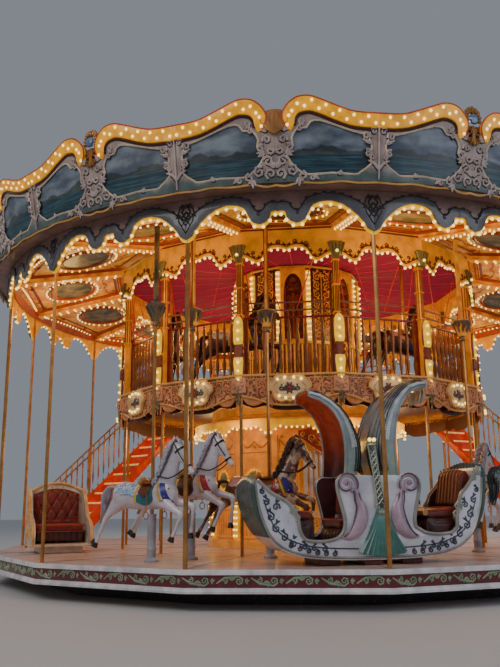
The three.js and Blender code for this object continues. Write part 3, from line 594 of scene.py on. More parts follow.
def grain_group():
    """Wood grain that runs along the height, for varnished boards and posts."""
    inputs = [("Light", "Color", (0.4, 0.2, 0.1, 1)), ("Dark", "Color", (0.2, 0.08, 0.03, 1)),
              ("Scale", "Float", 1.0)]
    tree, given, out = group("Wood grain", inputs, [("Colour", "Color"), ("Height", "Float")])
    place = add(tree, "ShaderNodeTexCoord").outputs["Object"]
    stretched = add(tree, "ShaderNodeMapping", {"Vector": place, "Scale": (26, 26, 1.6)})
    lines = noise(tree, stretched.outputs[0], given["Scale"], 5.0, 0.6)
    share = between(tree, lines, 0.35, 0.65)
    tree.links.new(mixed(tree, share, given["Dark"], given["Light"]), out["Colour"])
    tree.links.new(lines, out["Height"])


def leather_group():
    """Leather: fine pebbled grain with lighter ridges and uneven tone."""
    inputs = [("Colour", "Color", (0.3, 0.05, 0.03, 1)), ("Scale", "Float", 180.0)]
    tree, given, out = group("Leather grain", inputs, [("Colour", "Color"), ("Roughness", "Float"),
                                                       ("Height", "Float")])
    place = add(tree, "ShaderNodeTexCoord").outputs["Object"]
    cells = add(tree, "ShaderNodeTexVoronoi", {"Vector": place, "Scale": given["Scale"]},
                feature="DISTANCE_TO_EDGE")
    pebble = between(tree, cells.outputs["Distance"], 0.0, 0.12)
    tone = noise(tree, place, 7.0, 4.0)
    value = between(tree, tone, 0.3, 0.7, 0.7, 1.25)
    toned = add(tree, "ShaderNodeHueSaturation", {"Value": value, "Color": given["Colour"]}).outputs[0]
    tree.links.new(toned, out["Colour"])
    tree.links.new(between(tree, tone, 0.3, 0.7, 0.36, 0.55), out["Roughness"])
    tree.links.new(pebble, out["Height"])


def weave_group():
    """Plain woven cloth: two sets of threads, with uneven fading."""
    inputs = [("Colour", "Color", (0.4, 0.0, 0.02, 1)), ("Threads", "Float", 700.0)]
    tree, given, out = group("Cloth weave", inputs, [("Colour", "Color"), ("Roughness", "Float"),
                                                     ("Height", "Float")])
    place = add(tree, "ShaderNodeTexCoord").outputs["Object"]
    xyz = add(tree, "ShaderNodeSeparateXYZ", {0: place}).outputs
    warp = calc(tree, "SINE", times(tree, xyz[0], given["Threads"]))
    weft = calc(tree, "SINE", times(tree, xyz[1], given["Threads"]))
    threads = times(tree, warp, weft)
    fade = noise(tree, place, 1.6, 4.0)
    value = between(tree, fade, 0.3, 0.7, 0.87, 1.09)
    toned = add(tree, "ShaderNodeHueSaturation", {"Value": value, "Color": given["Colour"]}).outputs[0]
    tree.links.new(toned, out["Colour"])
    tree.links.new(between(tree, fade, 0.3, 0.7, 0.7, 0.9), out["Roughness"])
    tree.links.new(threads, out["Height"])


def material(name, roughness=0.5, metallic=0.0, coat=0.0, sheen=0.0, glow=0.0):
    """A material with its own shader."""
    made = bpy.data.materials.new(name)
    made.use_nodes = True
    shader = made.node_tree.nodes["Principled BSDF"]
    shader.inputs["Roughness"].default_value = roughness
    shader.inputs["Metallic"].default_value = metallic
    shader.inputs["Coat Weight"].default_value = coat
    shader.inputs["Coat Roughness"].default_value = 0.12
    shader.inputs["Sheen Weight"].default_value = sheen
    if glow:
        shader.inputs["Emission Strength"].default_value = glow
        made.cycles.emission_sampling = "NONE"
    return made.node_tree, shader


def bumped(tree, shader, height, strength, distance):
    bump = add(tree, "ShaderNodeBump", {"Height": height, "Strength": strength, "Distance": distance})
    tree.links.new(bump.outputs[0], shader.inputs["Normal"])


def coated(tree, shader, old, glow):
    """Gives the shader an old coat's colour and roughness, and lets it glow in its colour as painted light of
    the bulbs.
    """
    tree.links.new(old["Colour"], shader.inputs["Base Color"])
    tree.links.new(old["Roughness"], shader.inputs["Roughness"])
    if glow:
        tree.links.new(old["Colour"], shader.inputs["Emission Color"])


def painted(name, tint, dirt=(0.05, 0.03, 0.02), worn=(0.9, 0.75, 0.5), dirt_amount=0.5,
            wear_amount=0.35, gloss=0.3, scale=6.0, metallic=0.0, coat=0.2, glow=0.0, source=None,
            ridge_wear=0.0):
    """Old gloss paint or gilding of one colour, or of a colour that a source paints."""
    tree, shader = material(name, metallic=metallic, coat=coat, glow=glow)
    tint = source(tree) if source else tint
    # The dirt and shade colour darkens hollows as painted shade, and lies in dirt spots at random.
    old = use(
        tree, "Old paint", colour=tint, dirt=dirt, worn=worn, dirt_amount=dirt_amount,
        wear_amount=wear_amount, gloss=gloss, scale=scale, ridge_wear=ridge_wear,
    )
    coated(tree, shader, old, glow)
    bumped(tree, shader, old["Height"], 0.15, 0.004)


def carved(name, high, low, scale, swirl, glow=0.0, depth=0.02):
    """A board with carved scrollwork in two tones."""
    tree, shader = material(name, metallic=0.0, coat=0.2, glow=glow)
    place = use(tree, "Bay place")
    scrolls = use(tree, "Carved scrolls", vector=place["Flat"], scale=scale, swirl=swirl)
    tint = mixed(tree, scrolls["Ridge"], low, high)
    old = use(tree, "Old paint", colour=tint, gloss=0.35, dirt_amount=0.4, wear_amount=0.2)
    coated(tree, shader, old, glow)
    bumped(tree, shader, scrolls["Height"], 0.7, depth)


def bulb_finish(tint):
    tree, shader = material("bulb_glass", roughness=0.15, glow=1.75)
    shader.inputs["Base Color"].default_value = (*tint, 1)
    edge = add(tree, "ShaderNodeLayerWeight", {"Blend": 0.35}).outputs["Facing"]
    warm = mixed(tree, edge, (1.0, 0.84, 0.30), (1.0, 0.50, 0.03))
    tree.links.new(warm, shader.inputs["Emission Color"])


def misty_water(tree):
    """Calm water under mist, with low hills: the panels' own generic scene, other in each bay."""
    place = use(tree, "Bay place")
    seed = times(tree, place["Bay"], 3.7)
    wide = add(tree, "ShaderNodeCombineXYZ", {0: times(tree, place["Along"], 1.6), 1: seed, 2: 0.0})
    ridge = noise(tree, wide.outputs[0], 1.6, 4.0)
    line = plus(tree, times(tree, ridge, 0.34), 5.17)
    height = place["Height"]
    cloud_place = add(
        tree, "ShaderNodeCombineXYZ",
        {0: times(tree, place["Along"], 1.3), 1: seed, 2: times(tree, height, 3.4)},
    )
    clouds = noise(tree, cloud_place.outputs[0], 1.8, 5.0)
    sky = mixed(tree, between(tree, clouds, 0.35, 0.66), rgb(70, 82, 98), rgb(128, 138, 148))
    hill = mixed(tree, between(tree, clouds, 0.4, 0.62), rgb(38, 50, 54), rgb(74, 84, 80))
    land = mixed(tree, between(tree, minus(tree, height, line), -0.012, 0.012), hill, sky)
    ripple_place = add(
        tree, "ShaderNodeCombineXYZ",
        {0: times(tree, place["Along"], 1.2), 1: seed, 2: times(tree, height, 22.0)},
    )
    ripples = noise(tree, ripple_place.outputs[0], 2.0, 3.0)
    water = mixed(tree, between(tree, ripples, 0.36, 0.66), rgb(14, 44, 58), rgb(50, 88, 98))
    return mixed(tree, between(tree, height, 5.262, 5.282), water, land)


def make_finishes(c):
    for make in (bay_group, paint_group, carving_group, grain_group, leather_group, weave_group):
        make()
    bulb_finish(tuple(c.bulb))
    cornice_finishes(c)
    platform_finishes(c)
    ceiling_finishes()
    stair_finishes()
    deck_finishes()
    fascia_finishes()
    core_finishes()
    horse_finishes()
    harness_finishes()
    sleigh_finishes()
    leather_finishes()
    cloth_finishes(c)


def cornice_finishes(c):
    # gold_band, band_edge, lit_edge and valance_inside glow though they are painted boards: painted light of
    # the bulbs.
    painted("gold_band", tuple(c.gold), dirt=rgb(150, 52, 6), glow=0.30, gloss=0.25,
            scale=9.0)
    painted("band_edge", rgb(190, 66, 22), glow=0.12)
    painted("maroon_line", rgb(70, 18, 22))
    painted("frame_cream", None, dirt=rgb(54, 48, 54), worn=rgb(240, 216, 184),
            source=frame_tint)
    painted("bead_cream", rgb(222, 198, 170), dirt=rgb(96, 78, 72), worn=rgb(250, 236, 206))
    painted("scroll_lilac", rgb(200, 180, 174), dirt=rgb(48, 44, 54),
            worn=rgb(250, 226, 196))
    painted("scene_panel", None, wear_amount=0.05, dirt_amount=0.2, source=misty_water)
    painted("cornice_back", rgb(120, 96, 70))
    painted("soffit_brown", rgb(146, 110, 98), gloss=0.4)
    painted("valance_plain", rgb(140, 110, 100), gloss=0.35)
    painted("valance_border", tuple(c.lilac), dirt=rgb(36, 32, 40), gloss=0.28, coat=0.4)
    painted("valance_line", rgb(44, 34, 38))
    painted("lit_edge", rgb(255, 196, 0), glow=0.62, dirt_amount=0.15)
    painted("valance_inside", rgb(240, 166, 36), glow=0.12)
    painted("finial_gold", rgb(176, 120, 62), dirt=rgb(50, 30, 16), worn=rgb(250, 220, 160),
            metallic=0.4)
    painted("cabochon_blue", rgb(86, 120, 160), gloss=0.1, coat=1.0)


def platform_finishes(c):
    painted("platform_paint", rgb(206, 176, 164), dirt=rgb(110, 86, 78), gloss=0.35,
            scale=2.5)
    painted("lip_white", rgb(226, 222, 224), dirt=rgb(130, 124, 128))
    painted("skirt_maroon", tuple(c.maroon), gloss=0.25, coat=0.5)
    painted("skirt_scroll", rgb(150, 166, 138), dirt=rgb(60, 40, 36), worn=rgb(216, 206, 168))
    painted("base_dark", rgb(38, 38, 42), gloss=0.5)


def ceiling_finishes():
    # ceiling_board, ceiling_moulding and rib_gold glow though they are painted: painted light of the bulbs
    # under the ceiling.
    painted("ceiling_board", None, glow=0.15, gloss=0.4, source=ceiling_scene)
    painted("ceiling_moulding", rgb(168, 62, 20), glow=0.06, worn=rgb(240, 150, 60))
    painted("rib_gold", rgb(246, 166, 34), dirt=rgb(140, 50, 10), glow=0.22)
    painted("brass", rgb(196, 140, 78), dirt=rgb(70, 44, 20), metallic=0.85, gloss=0.22,
            coat=0.3)
    painted("cloth_roof", rgb(176, 160, 132), gloss=0.7, coat=0.0, scale=1.2)


def stair_finishes():
    # stair_red_paint, tread_cream and stay_red glow though they are painted: painted light.
    painted("stair_red_paint", rgb(214, 62, 30), dirt=rgb(90, 10, 10), worn=rgb(240, 140, 90),
            glow=0.08)
    painted("tread_cream", rgb(255, 206, 110), glow=0.42, scale=10.0)
    painted("rail_silver", rgb(176, 160, 140), metallic=0.7, gloss=0.25)
    painted("rail_red", rgb(140, 16, 24), coat=0.4)
    painted("stay_red", rgb(220, 44, 52), dirt=rgb(110, 10, 20), glow=0.06)
    painted("rail_bronze", rgb(150, 96, 60), dirt=rgb(40, 20, 12), worn=rgb(230, 180, 120),
            metallic=0.5)


def deck_finishes():
    # inner_cream, inner_line, inner_scroll, column_orange, slat_gold and lamp_board glow though they are
    # painted: painted light of the bulbs near them.
    painted("inner_cream", rgb(244, 174, 36), dirt=rgb(150, 74, 12), glow=0.12)
    painted("inner_line", rgb(255, 206, 40), glow=0.30)
    painted("inner_scroll", rgb(112, 36, 14), worn=rgb(200, 100, 40), glow=0.03)
    painted("capital_grey", rgb(122, 116, 84), dirt=rgb(54, 48, 34), worn=rgb(190, 178, 120))
    painted("column_orange", rgb(242, 160, 40), dirt=rgb(130, 52, 10),
            worn=rgb(255, 214, 96), metallic=0.2, glow=0.15)
    painted("slat_gold", rgb(222, 156, 52), dirt=rgb(96, 40, 10), worn=rgb(255, 214, 110),
            glow=0.10)
    painted("lamp_board", rgb(255, 204, 10), dirt=rgb(200, 110, 4), glow=0.50, scale=14.0)


def fascia_finishes():
    painted("fascia_pink", rgb(222, 158, 116), dirt=rgb(110, 50, 36),
            worn=rgb(250, 216, 166))
    # fascia_gold, shield_cream and flower_white glow faintly though they are painted: painted light of the
    # bulbs.
    painted("fascia_gold", rgb(222, 168, 96), dirt=rgb(110, 60, 24),
            worn=rgb(255, 226, 150), glow=0.08)
    painted("fascia_violet", rgb(104, 96, 92), dirt=rgb(50, 30, 40),
            worn=rgb(210, 196, 180))
    painted("shield_cream", rgb(240, 206, 150), dirt=rgb(170, 110, 70), glow=0.05)
    painted("flower_red", rgb(176, 30, 34), dirt=rgb(80, 10, 20))
    painted("flower_white", rgb(244, 226, 206), dirt=rgb(160, 120, 100), glow=0.04)
    painted("drape_peach", rgb(232, 158, 104), dirt=rgb(130, 60, 30),
            worn=rgb(250, 206, 150))
    painted("skirt_brown", rgb(84, 30, 24), dirt=rgb(30, 10, 8), worn=rgb(190, 110, 60))
    carved("fascia_carved", rgb(230, 166, 104), rgb(150, 74, 42), scale=9.0, swirl=1.4,
           depth=0.012)


def core_finishes():
    # core_carved, core_orange, core_brown, header_lit, garland and organ_red glow though they are painted:
    # painted light of the bulbs.
    carved("core_carved", rgb(190, 106, 52), rgb(74, 28, 16), scale=7.0, swirl=1.5, glow=0.05)
    painted("core_orange", rgb(240, 160, 62), dirt=rgb(150, 76, 26), glow=0.13)
    painted("core_brown", rgb(140, 66, 34), dirt=rgb(50, 18, 10), worn=rgb(220, 140, 80),
            glow=0.03)
    painted("header_lit", rgb(255, 192, 14), dirt=rgb(210, 100, 6), glow=0.30)
    painted("medallion_green", rgb(130, 124, 86), dirt=rgb(60, 54, 40))
    painted("garland", rgb(196, 130, 74), dirt=rgb(96, 60, 40), worn=rgb(255, 214, 150),
            glow=0.08)
    painted("pipe_silver", rgb(226, 214, 204), dirt=rgb(130, 110, 100), metallic=0.5, gloss=0.2)
    painted("organ_red", rgb(150, 52, 26), dirt=rgb(60, 16, 10), glow=0.05)


def horse_finishes():
    painted("horse_grey", rgb(214, 208, 216), dirt=rgb(96, 88, 108), worn=rgb(246, 240, 236),
            gloss=0.16, coat=0.8, scale=3.0, ridge_wear=0.5, dirt_amount=0.75)
    painted("horse_chestnut", rgb(132, 78, 52), dirt=rgb(50, 24, 16),
            worn=rgb(214, 168, 128), gloss=0.18, coat=0.8, scale=3.0, dirt_amount=0.7, ridge_wear=0.3)
    painted("mane_grey", rgb(168, 162, 176), dirt=rgb(60, 54, 72), worn=rgb(240, 234, 230),
            coat=0.6)
    painted("mane_brown", rgb(70, 40, 28), dirt=rgb(24, 12, 8), worn=rgb(150, 100, 70),
            coat=0.6)
    # Painted shade: the deck horses' dark brown coat, for the dim deck they stand in.
    painted("deck_horse_shaded", rgb(70, 36, 26), dirt=rgb(24, 12, 10), worn=rgb(160, 100, 70),
            coat=0.7)
    painted("horse_patched", None, gloss=0.2, coat=0.7, source=patched_coat)
    painted("pewter", rgb(126, 104, 84), dirt=rgb(50, 36, 28), worn=rgb(196, 172, 136),
            metallic=0.35)
    painted("sleeve_white", rgb(168, 166, 174), dirt=rgb(96, 90, 96), gloss=0.3)


def harness_finishes():
    painted("hoof_black", rgb(24, 22, 24), gloss=0.2, coat=0.6)
    painted("strap_black", rgb(26, 24, 30), gloss=0.3)
    painted("strap_blue", rgb(34, 44, 140), gloss=0.3, worn=rgb(120, 130, 210))
    painted("strap_yellow", rgb(226, 176, 60), gloss=0.3)
    painted("strap_red", rgb(176, 30, 34), gloss=0.3)
    painted("saddle_brown", rgb(96, 48, 26), dirt=rgb(36, 14, 8), worn=rgb(190, 130, 80),
            gloss=0.25)
    painted("cantle_tan", rgb(184, 130, 78), gloss=0.25)
    painted("blanket_blue", None, gloss=0.35, source=blanket_print)
    painted("blanket_pink", rgb(226, 170, 176), dirt=rgb(170, 90, 110))
    painted("cloth_teal", rgb(30, 110, 120))


def sleigh_finishes():
    painted("feather_green", rgb(60, 84, 78), dirt=rgb(24, 36, 36), worn=rgb(170, 180, 150),
            coat=0.6)
    painted("sleigh_white", rgb(214, 214, 222), dirt=rgb(120, 120, 134),
            worn=rgb(250, 248, 246), gloss=0.18, coat=0.7, scale=3.0)
    painted("sleigh_scroll", rgb(160, 158, 152), dirt=rgb(70, 68, 72),
            worn=rgb(236, 226, 200), gloss=0.2, metallic=0.2)
    painted("sleigh_line", rgb(70, 76, 94), dirt=rgb(34, 36, 48), worn=rgb(150, 152, 160),
            gloss=0.25)
    painted("neck_lilac", rgb(184, 156, 170), dirt=rgb(76, 54, 72), worn=rgb(246, 232, 234),
            coat=0.7)
    painted("neck_shade", rgb(92, 70, 88), dirt=rgb(40, 30, 44), coat=0.5)
    painted("rib_dark", rgb(44, 52, 60), dirt=rgb(20, 24, 30), gloss=0.3)
    painted("hood_blue", None, gloss=0.2, coat=0.7, source=hood_tint)
    painted("feather_blue", rgb(204, 214, 218), dirt=rgb(36, 44, 52), worn=rgb(214, 222, 224),
            coat=0.6)
    painted("drape_teal", rgb(74, 132, 122), dirt=rgb(26, 60, 62), worn=rgb(160, 196, 176),
            coat=0.5)
    painted("strip_silver", rgb(176, 182, 164), dirt=rgb(60, 66, 62),
            worn=rgb(236, 230, 204), metallic=0.3)
    painted("strip_dark", rgb(66, 72, 66), dirt=rgb(24, 26, 26), metallic=0.2)
    painted("base_red", rgb(110, 44, 34))


def leather_finishes():
    upholstered("lining_red", lining_tint)
    upholstered("leather_brown", rgb(114, 44, 28))
    upholstered("leather_dark", rgb(72, 26, 20))
    upholstered("piping_red", rgb(196, 44, 30))
    upholstered("leather_tan", rgb(206, 150, 92))
    upholstered("tufted_red", rgb(124, 40, 26))
    painted("carriage_cream", rgb(220, 200, 176), dirt=rgb(120, 90, 70), coat=0.5)


def cloth_finishes(c):
    # deck_cloth and cloth_seam glow though they are cloth: painted light on the deck's ceiling.
    cloth("deck_cloth", "red_cloth", tuple(c.cloth), glow=0.34, sheen=0.0)
    painted("cloth_seam", rgb(206, 44, 86), dirt=rgb(110, 6, 36), glow=0.16, coat=0.0, gloss=0.6)
    cloth("roof_cloth", "roof_canvas", rgb(168, 150, 124), threads=400.0)
    wooden("deck_wood", rgb(120, 70, 46), rgb(70, 36, 24))


def frame_tint(tree):
    """Pinkish cream that turns to grey green along the cornice's lower border."""
    place = use(tree, "Bay place")
    mottle = times(tree, noise(tree, place["Flat"], 6.0), 0.12)
    share = between(tree, plus(tree, place["Height"], mottle), 5.09, 5.20)
    return mixed(tree, share, rgb(92, 106, 104), rgb(166, 144, 134))


def ceiling_scene(tree):
    """Golden boards with a moulded border and a dusky oval scene in each bay of the ceiling."""
    place = use(tree, "Bay place")
    out, side = place["Out"], place["Along"]
    half = times(tree, out, math.tan(HALF_BAY))
    rim = calc(tree, "MINIMUM", minus(tree, half, calc(tree, "ABSOLUTE", side)),
               calc(tree, "MINIMUM", minus(tree, out, 3.25), minus(tree, 5.05, out)))
    across = over(tree, side, 0.56)
    deep = over(tree, minus(tree, out, 4.25), 0.42)
    oval = calc(tree, "SQRT", plus(tree, times(tree, across, across), times(tree, deep, deep)))
    mottle = noise(tree, place["Flat"], 5.0, 5.0)
    seen = mixed(tree, between(tree, mottle, 0.38, 0.62), rgb(52, 56, 38), rgb(120, 98, 62))
    warm = mixed(tree, between(tree, mottle, 0.35, 0.65), rgb(216, 128, 30), rgb(250, 184, 64))
    brown = rgb(116, 44, 12)
    field = mixed(tree, between(tree, oval, 0.97, 1.0), seen, brown)
    field = mixed(tree, between(tree, oval, 1.06, 1.09), field, warm)
    lines = between(tree, calc(tree, "ABSOLUTE", minus(tree, rim, 0.19)), 0.03, 0.018)
    return mixed(tree, lines, field, brown)


def patched_coat(tree):
    """Chestnut with soft cream patches."""
    place = use(tree, "Bay place")
    patches = noise(tree, place["Flat"], 6.5, 2.0, 0.8)
    share = between(tree, patches, 0.40, 0.52)
    return mixed(tree, share, rgb(206, 176, 148), rgb(112, 64, 42))


def blanket_print(tree):
    """Pale blue and white cloth with small blue and violet flowers."""
    place = add(tree, "ShaderNodeTexCoord").outputs["Object"]
    cells = add(tree, "ShaderNodeTexVoronoi", {"Vector": place, "Scale": 22.0})
    petals = between(tree, cells.outputs["Distance"], 0.30, 0.24)
    hue = mixed(tree, cells.outputs["Color"], rgb(60, 70, 170), rgb(170, 110, 180))
    ground = mixed(tree, between(tree, noise(tree, place, 9.0), 0.4, 0.6), rgb(150, 190, 222),
                   rgb(226, 232, 240))
    return mixed(tree, petals, ground, hue)


def hood_tint(tree):
    """Blue-grey that turns to green low down."""
    place = use(tree, "Bay place")
    mottle = times(tree, noise(tree, place["Flat"], 4.0), 0.5)
    share = between(tree, plus(tree, place["Height"], mottle), 1.85, 2.6)
    return mixed(tree, share, rgb(140, 156, 142), rgb(124, 146, 164))


def lining_tint(tree):
    """Orange red above that darkens to maroon brown."""
    place = use(tree, "Bay place")
    mottle = times(tree, noise(tree, place["Flat"], 5.0), 0.4)
    share = between(tree, plus(tree, place["Height"], mottle), 1.75, 2.5)
    return mixed(tree, share, rgb(74, 22, 16), rgb(232, 92, 40))


def upholstered(name, tint):
    tree, shader = material(name, coat=0.15, sheen=0.1)
    tint = tint(tree) if callable(tint) else tint
    hide = use(tree, "Leather grain", colour=tint)
    coated(tree, shader, hide, 0)
    bumped(tree, shader, hide["Height"], 0.3, 0.001)


def cloth(name, slot, tint, threads=700.0, glow=0.0, sheen=0.4):
    tree, shader = material(name, sheen=sheen, glow=glow)
    woven = use(tree, "Cloth weave", colour=tint, threads=threads)
    coated(tree, shader, woven, glow)
    bumped(tree, shader, woven["Height"], 0.15, 0.001)


def wooden(name, light, dark):
    tree, shader = material(name, roughness=0.4, coat=0.3)
    grain = use(tree, "Wood grain", light=light, dark=dark)
    tree.links.new(grain["Colour"], shader.inputs["Base Color"])
    bumped(tree, shader, grain["Height"], 0.2, 0.002)


# Cornice

BAND_TOP = [(-1.252, 5.76), (-0.966, 5.77), (-0.765, 5.83), (-0.564, 5.91), (-0.42, 5.96), (-0.277, 5.95),
            (-0.172, 5.88), (-0.105, 5.78), (-0.104, 5.68), (-0.15, 5.58)]
BAND_LOW = [(-1.252, 5.59), (-0.966, 5.605), (-0.765, 5.66), (-0.56, 5.745), (-0.42, 5.79), (-0.30, 5.77),
            (-0.25, 5.71), (-0.24, 5.64), (-0.20, 5.56)]
PANEL_EDGE = [(-1.147, 5.53), (-1.04, 5.52), (-0.83, 5.58), (-0.554, 5.67), (-0.43, 5.66), (-0.38, 5.59),
              (-0.268, 5.58), (-0.2, 5.47), (-0.215, 5.38), (-0.14, 5.26), (-0.25, 5.11), (-0.39, 5.03),
              (-0.68, 5.045), (-0.956, 5.03), (-1.03, 5.06), (-1.166, 5.17), (-1.125, 5.27), (-1.166, 5.34),
              (-1.145, 5.42), (-1.06, 5.45)]
LOWER_EDGE = [(-1.252, 4.945), (-1.0, 4.935), (-0.8, 4.95), (-0.55, 4.93), (-0.3, 4.94), (-0.12, 4.905),
              (0.0, 4.92)]


def on_cornice(piece, spacing=0.2):
    return wrapped(piece, CORNICE_R, CORNICE_MEAN_R, CORNICE_SLOPE, CORNICE_FOOT, spacing)


def both_sides(piece):
    return spread(piece, [HERE, MIRROR_X])


def build_cornice(sizes):
    top = flow(BAND_TOP[:8], 3)
    outline = [*LOWER_EDGE[:-1], *[(-x, z) for x, z in reversed(LOWER_EDGE)]]
    skyline = [(x, z - 0.012) for x, z in mirrored(top)]
    back = on_cornice(board([[*skyline, *reversed(outline)]], 0.03))
    reshape(back, lambda p: p * (1 - 0.045 / np.hypot(p[:, 0], p[:, 1])[:, None] * np.array([1, 1, 0])))
    in_bays(back, "cornice_back", "cornice_back", stands_for=("cornice",))
    scene = on_cornice(board([mirrored([(-1.25, 5.6), (-0.8, 5.64), (-0.5, 5.76), (-0.3, 5.7),
                                        (-0.05, 5.5)]) + [(1.25, 4.97), (-1.25, 4.97)]], 0.012))
    in_bays(scene, "cornice_scene", "scene_panel")
    band = [*flow(BAND_TOP, 3), *reversed(flow(BAND_LOW, 3))]
    gold = both_sides(on_cornice(board([band], 0.05, 0.008)))
    in_bays(gold, "cornice_band", "gold_band")
    rim = [(x, -0.045, z) for x, z in flow(BAND_TOP, 3)]
    edge = both_sides(on_cornice(tubes([rim], 0.013)))
    in_bays(edge, "cornice_band_edge", "band_edge")
    low = [(x, -0.03, z - 0.022) for x, z in flow(BAND_LOW[:8], 3)]
    maroon = both_sides(on_cornice(tubes([low], 0.022)))
    in_bays(maroon, "cornice_maroon_line", "maroon_line")
    cornice_frames()
    cornice_scrolls()
    hem = [(x, -0.02, z) for x, z in flow(LOWER_EDGE, 4)]
    gilt = both_sides(on_cornice(tubes([hem], 0.012)))
    in_bays(gilt, "cornice_hem", "fascia_gold")
    seam = on_cornice(batten((1.243, -0.052, 4.97), (1.26, -0.028, 5.6), 0.004))
    in_bays(seam, "cornice_seams", "scroll_lilac")
    cornice_bulbs(sizes)
    build_finials()
    soffit = lathe_ring([(5.27, 4.952), (5.49, 4.952), (5.49, 4.975), (5.27, 4.975)])
    complete(soffit, "cornice_soffit", "soffit_brown")


def cornice_frames():
    """Cream boards round each scene panel, with a beaded edge."""
    frame_outline = [(-1.252, 4.955), (-1.252, 5.57), *[(x, z - 0.03) for x, z in flow(BAND_LOW[:8], 3)],
                     (-0.12, 5.56), (0.0, 5.56), (0.0, 4.95)]
    hole = flow(PANEL_EDGE, 2, loop=True)
    surround = both_sides(on_cornice(board([frame_outline, hole], 0.028, 0.004)))
    in_bays(surround, "cornice_frame", "frame_cream")
    strokes = [flow([(x, z, 1.0) for x, z in PANEL_EDGE], 2, loop=True)]
    beading = both_sides(on_cornice(shifted(relief(strokes, 0.012, loop=True), -0.03)))
    in_bays(beading, "cornice_frame_beading", "bead_cream")


def cornice_scrolls():
    """Carved scrolls and leaves between the panels, over dark copies set down and behind them as a painted
    shadow.
    """
    curls = [
        volute(-1.10, 5.49, 0.052, 200, 1.3, -1), volute(-1.19, 5.55, 0.04, 20, 1.1, 1),
        volute(-1.12, 5.285, 0.05, 60, 1.25, 1), volute(-1.175, 5.24, 0.03, 100, 1.0, -1),
        [(-1.252, 5.1, 1.2), (-1.2, 5.16, 1.0), (-1.12, 5.2, 0.5)],
        volute(-0.33, 5.665, 0.045, 250, 1.3, 1), volute(-0.3, 5.58, 0.035, 120, 1.1, -1),
        volute(-0.1, 5.46, 0.055, 200, 1.2, -1), volute(-0.17, 5.36, 0.05, 60, 1.2, 1),
        volute(-0.06, 5.33, 0.05, 20, 1.1, -1), volute(-0.09, 5.2, 0.07, 160, 1.3, -1),
        volute(-0.2, 5.08, 0.075, 60, 1.4, 1), volute(-0.32, 5.02, 0.055, 100, 1.2, 1),
        volute(-0.06, 5.05, 0.07, 240, 1.2, -1), volute(-0.44, 4.99, 0.035, 90, 1.0, 1),
        *leaf(-0.13, 5.28, 0.1, 150), *leaf(-0.27, 4.99, 0.1, 250), *leaf(-0.02, 5.12, 0.1, 100),
        *leaf(-0.45, 5.0, 0.09, 175, lobes=2), *leaf(-0.78, 5.02, 0.06, 90, lobes=3),
        *leaf(-1.16, 5.4, 0.08, 40, lobes=2), *leaf(-0.1, 5.56, 0.1, 120),
    ]
    # Painted shadow: a darker, flatter copy of the scrolls, shifted down and behind them.
    shade = both_sides(on_cornice(shifted(relief([[(x + 0.006, z - 0.012, *share) for x, z, *share in line]
                                                  for line in curls], 0.019, 0.5), -0.028)))
    in_bays(shade, "cornice_scroll_roots", "valance_line")
    scrolls = both_sides(on_cornice(shifted(relief(curls, 0.0165, 0.9), -0.036)))
    in_bays(scrolls, "cornice_scrolls", "scroll_lilac")


def cornice_bulbs(sizes):
    """Bulbs in two staggered rows along the gold band."""
    middle = [((a[0] + b[0]) / 2, 0, (a[1] + b[1]) / 2)
              for a, b in zip(flow(BAND_TOP, 6), flow(BAND_LOW + [(-0.18, 5.56)], 6))]
    lamps = []
    for i, (x, _, z) in enumerate(along(middle, 0.088)):
        shift = 0.038 if i % 2 else -0.038
        lamps.append((x, -0.05, z + shift * (1 if x < -0.3 else 0.35)))
    bulbs = both_sides(on_cornice(bulb_string(lamps, sizes.bulb), 9.0))
    in_bays(bulbs, "cornice_bulbs", "bulb_glass")


def shifted(piece, out):
    """Moves a relief out from the wall it was drawn on."""
    return reshape(piece, lambda p: p + np.array([0, out, 0]))


def lathe_ring(section, steps=84):
    """A round ring from a closed section of (radius, height)."""
    piece = curve([[(r, 0, z) for r, z in section]], True)
    applied(piece, "SCREW", angle=2 * math.pi, steps=steps, render_steps=steps, use_merge_vertices=True)
    return closed(piece)


def bay_ring(section):
    """A ring with a flat side in each bay, from a closed section of (radius at the corners, height)."""
    return lathe_ring(section, SIDES)


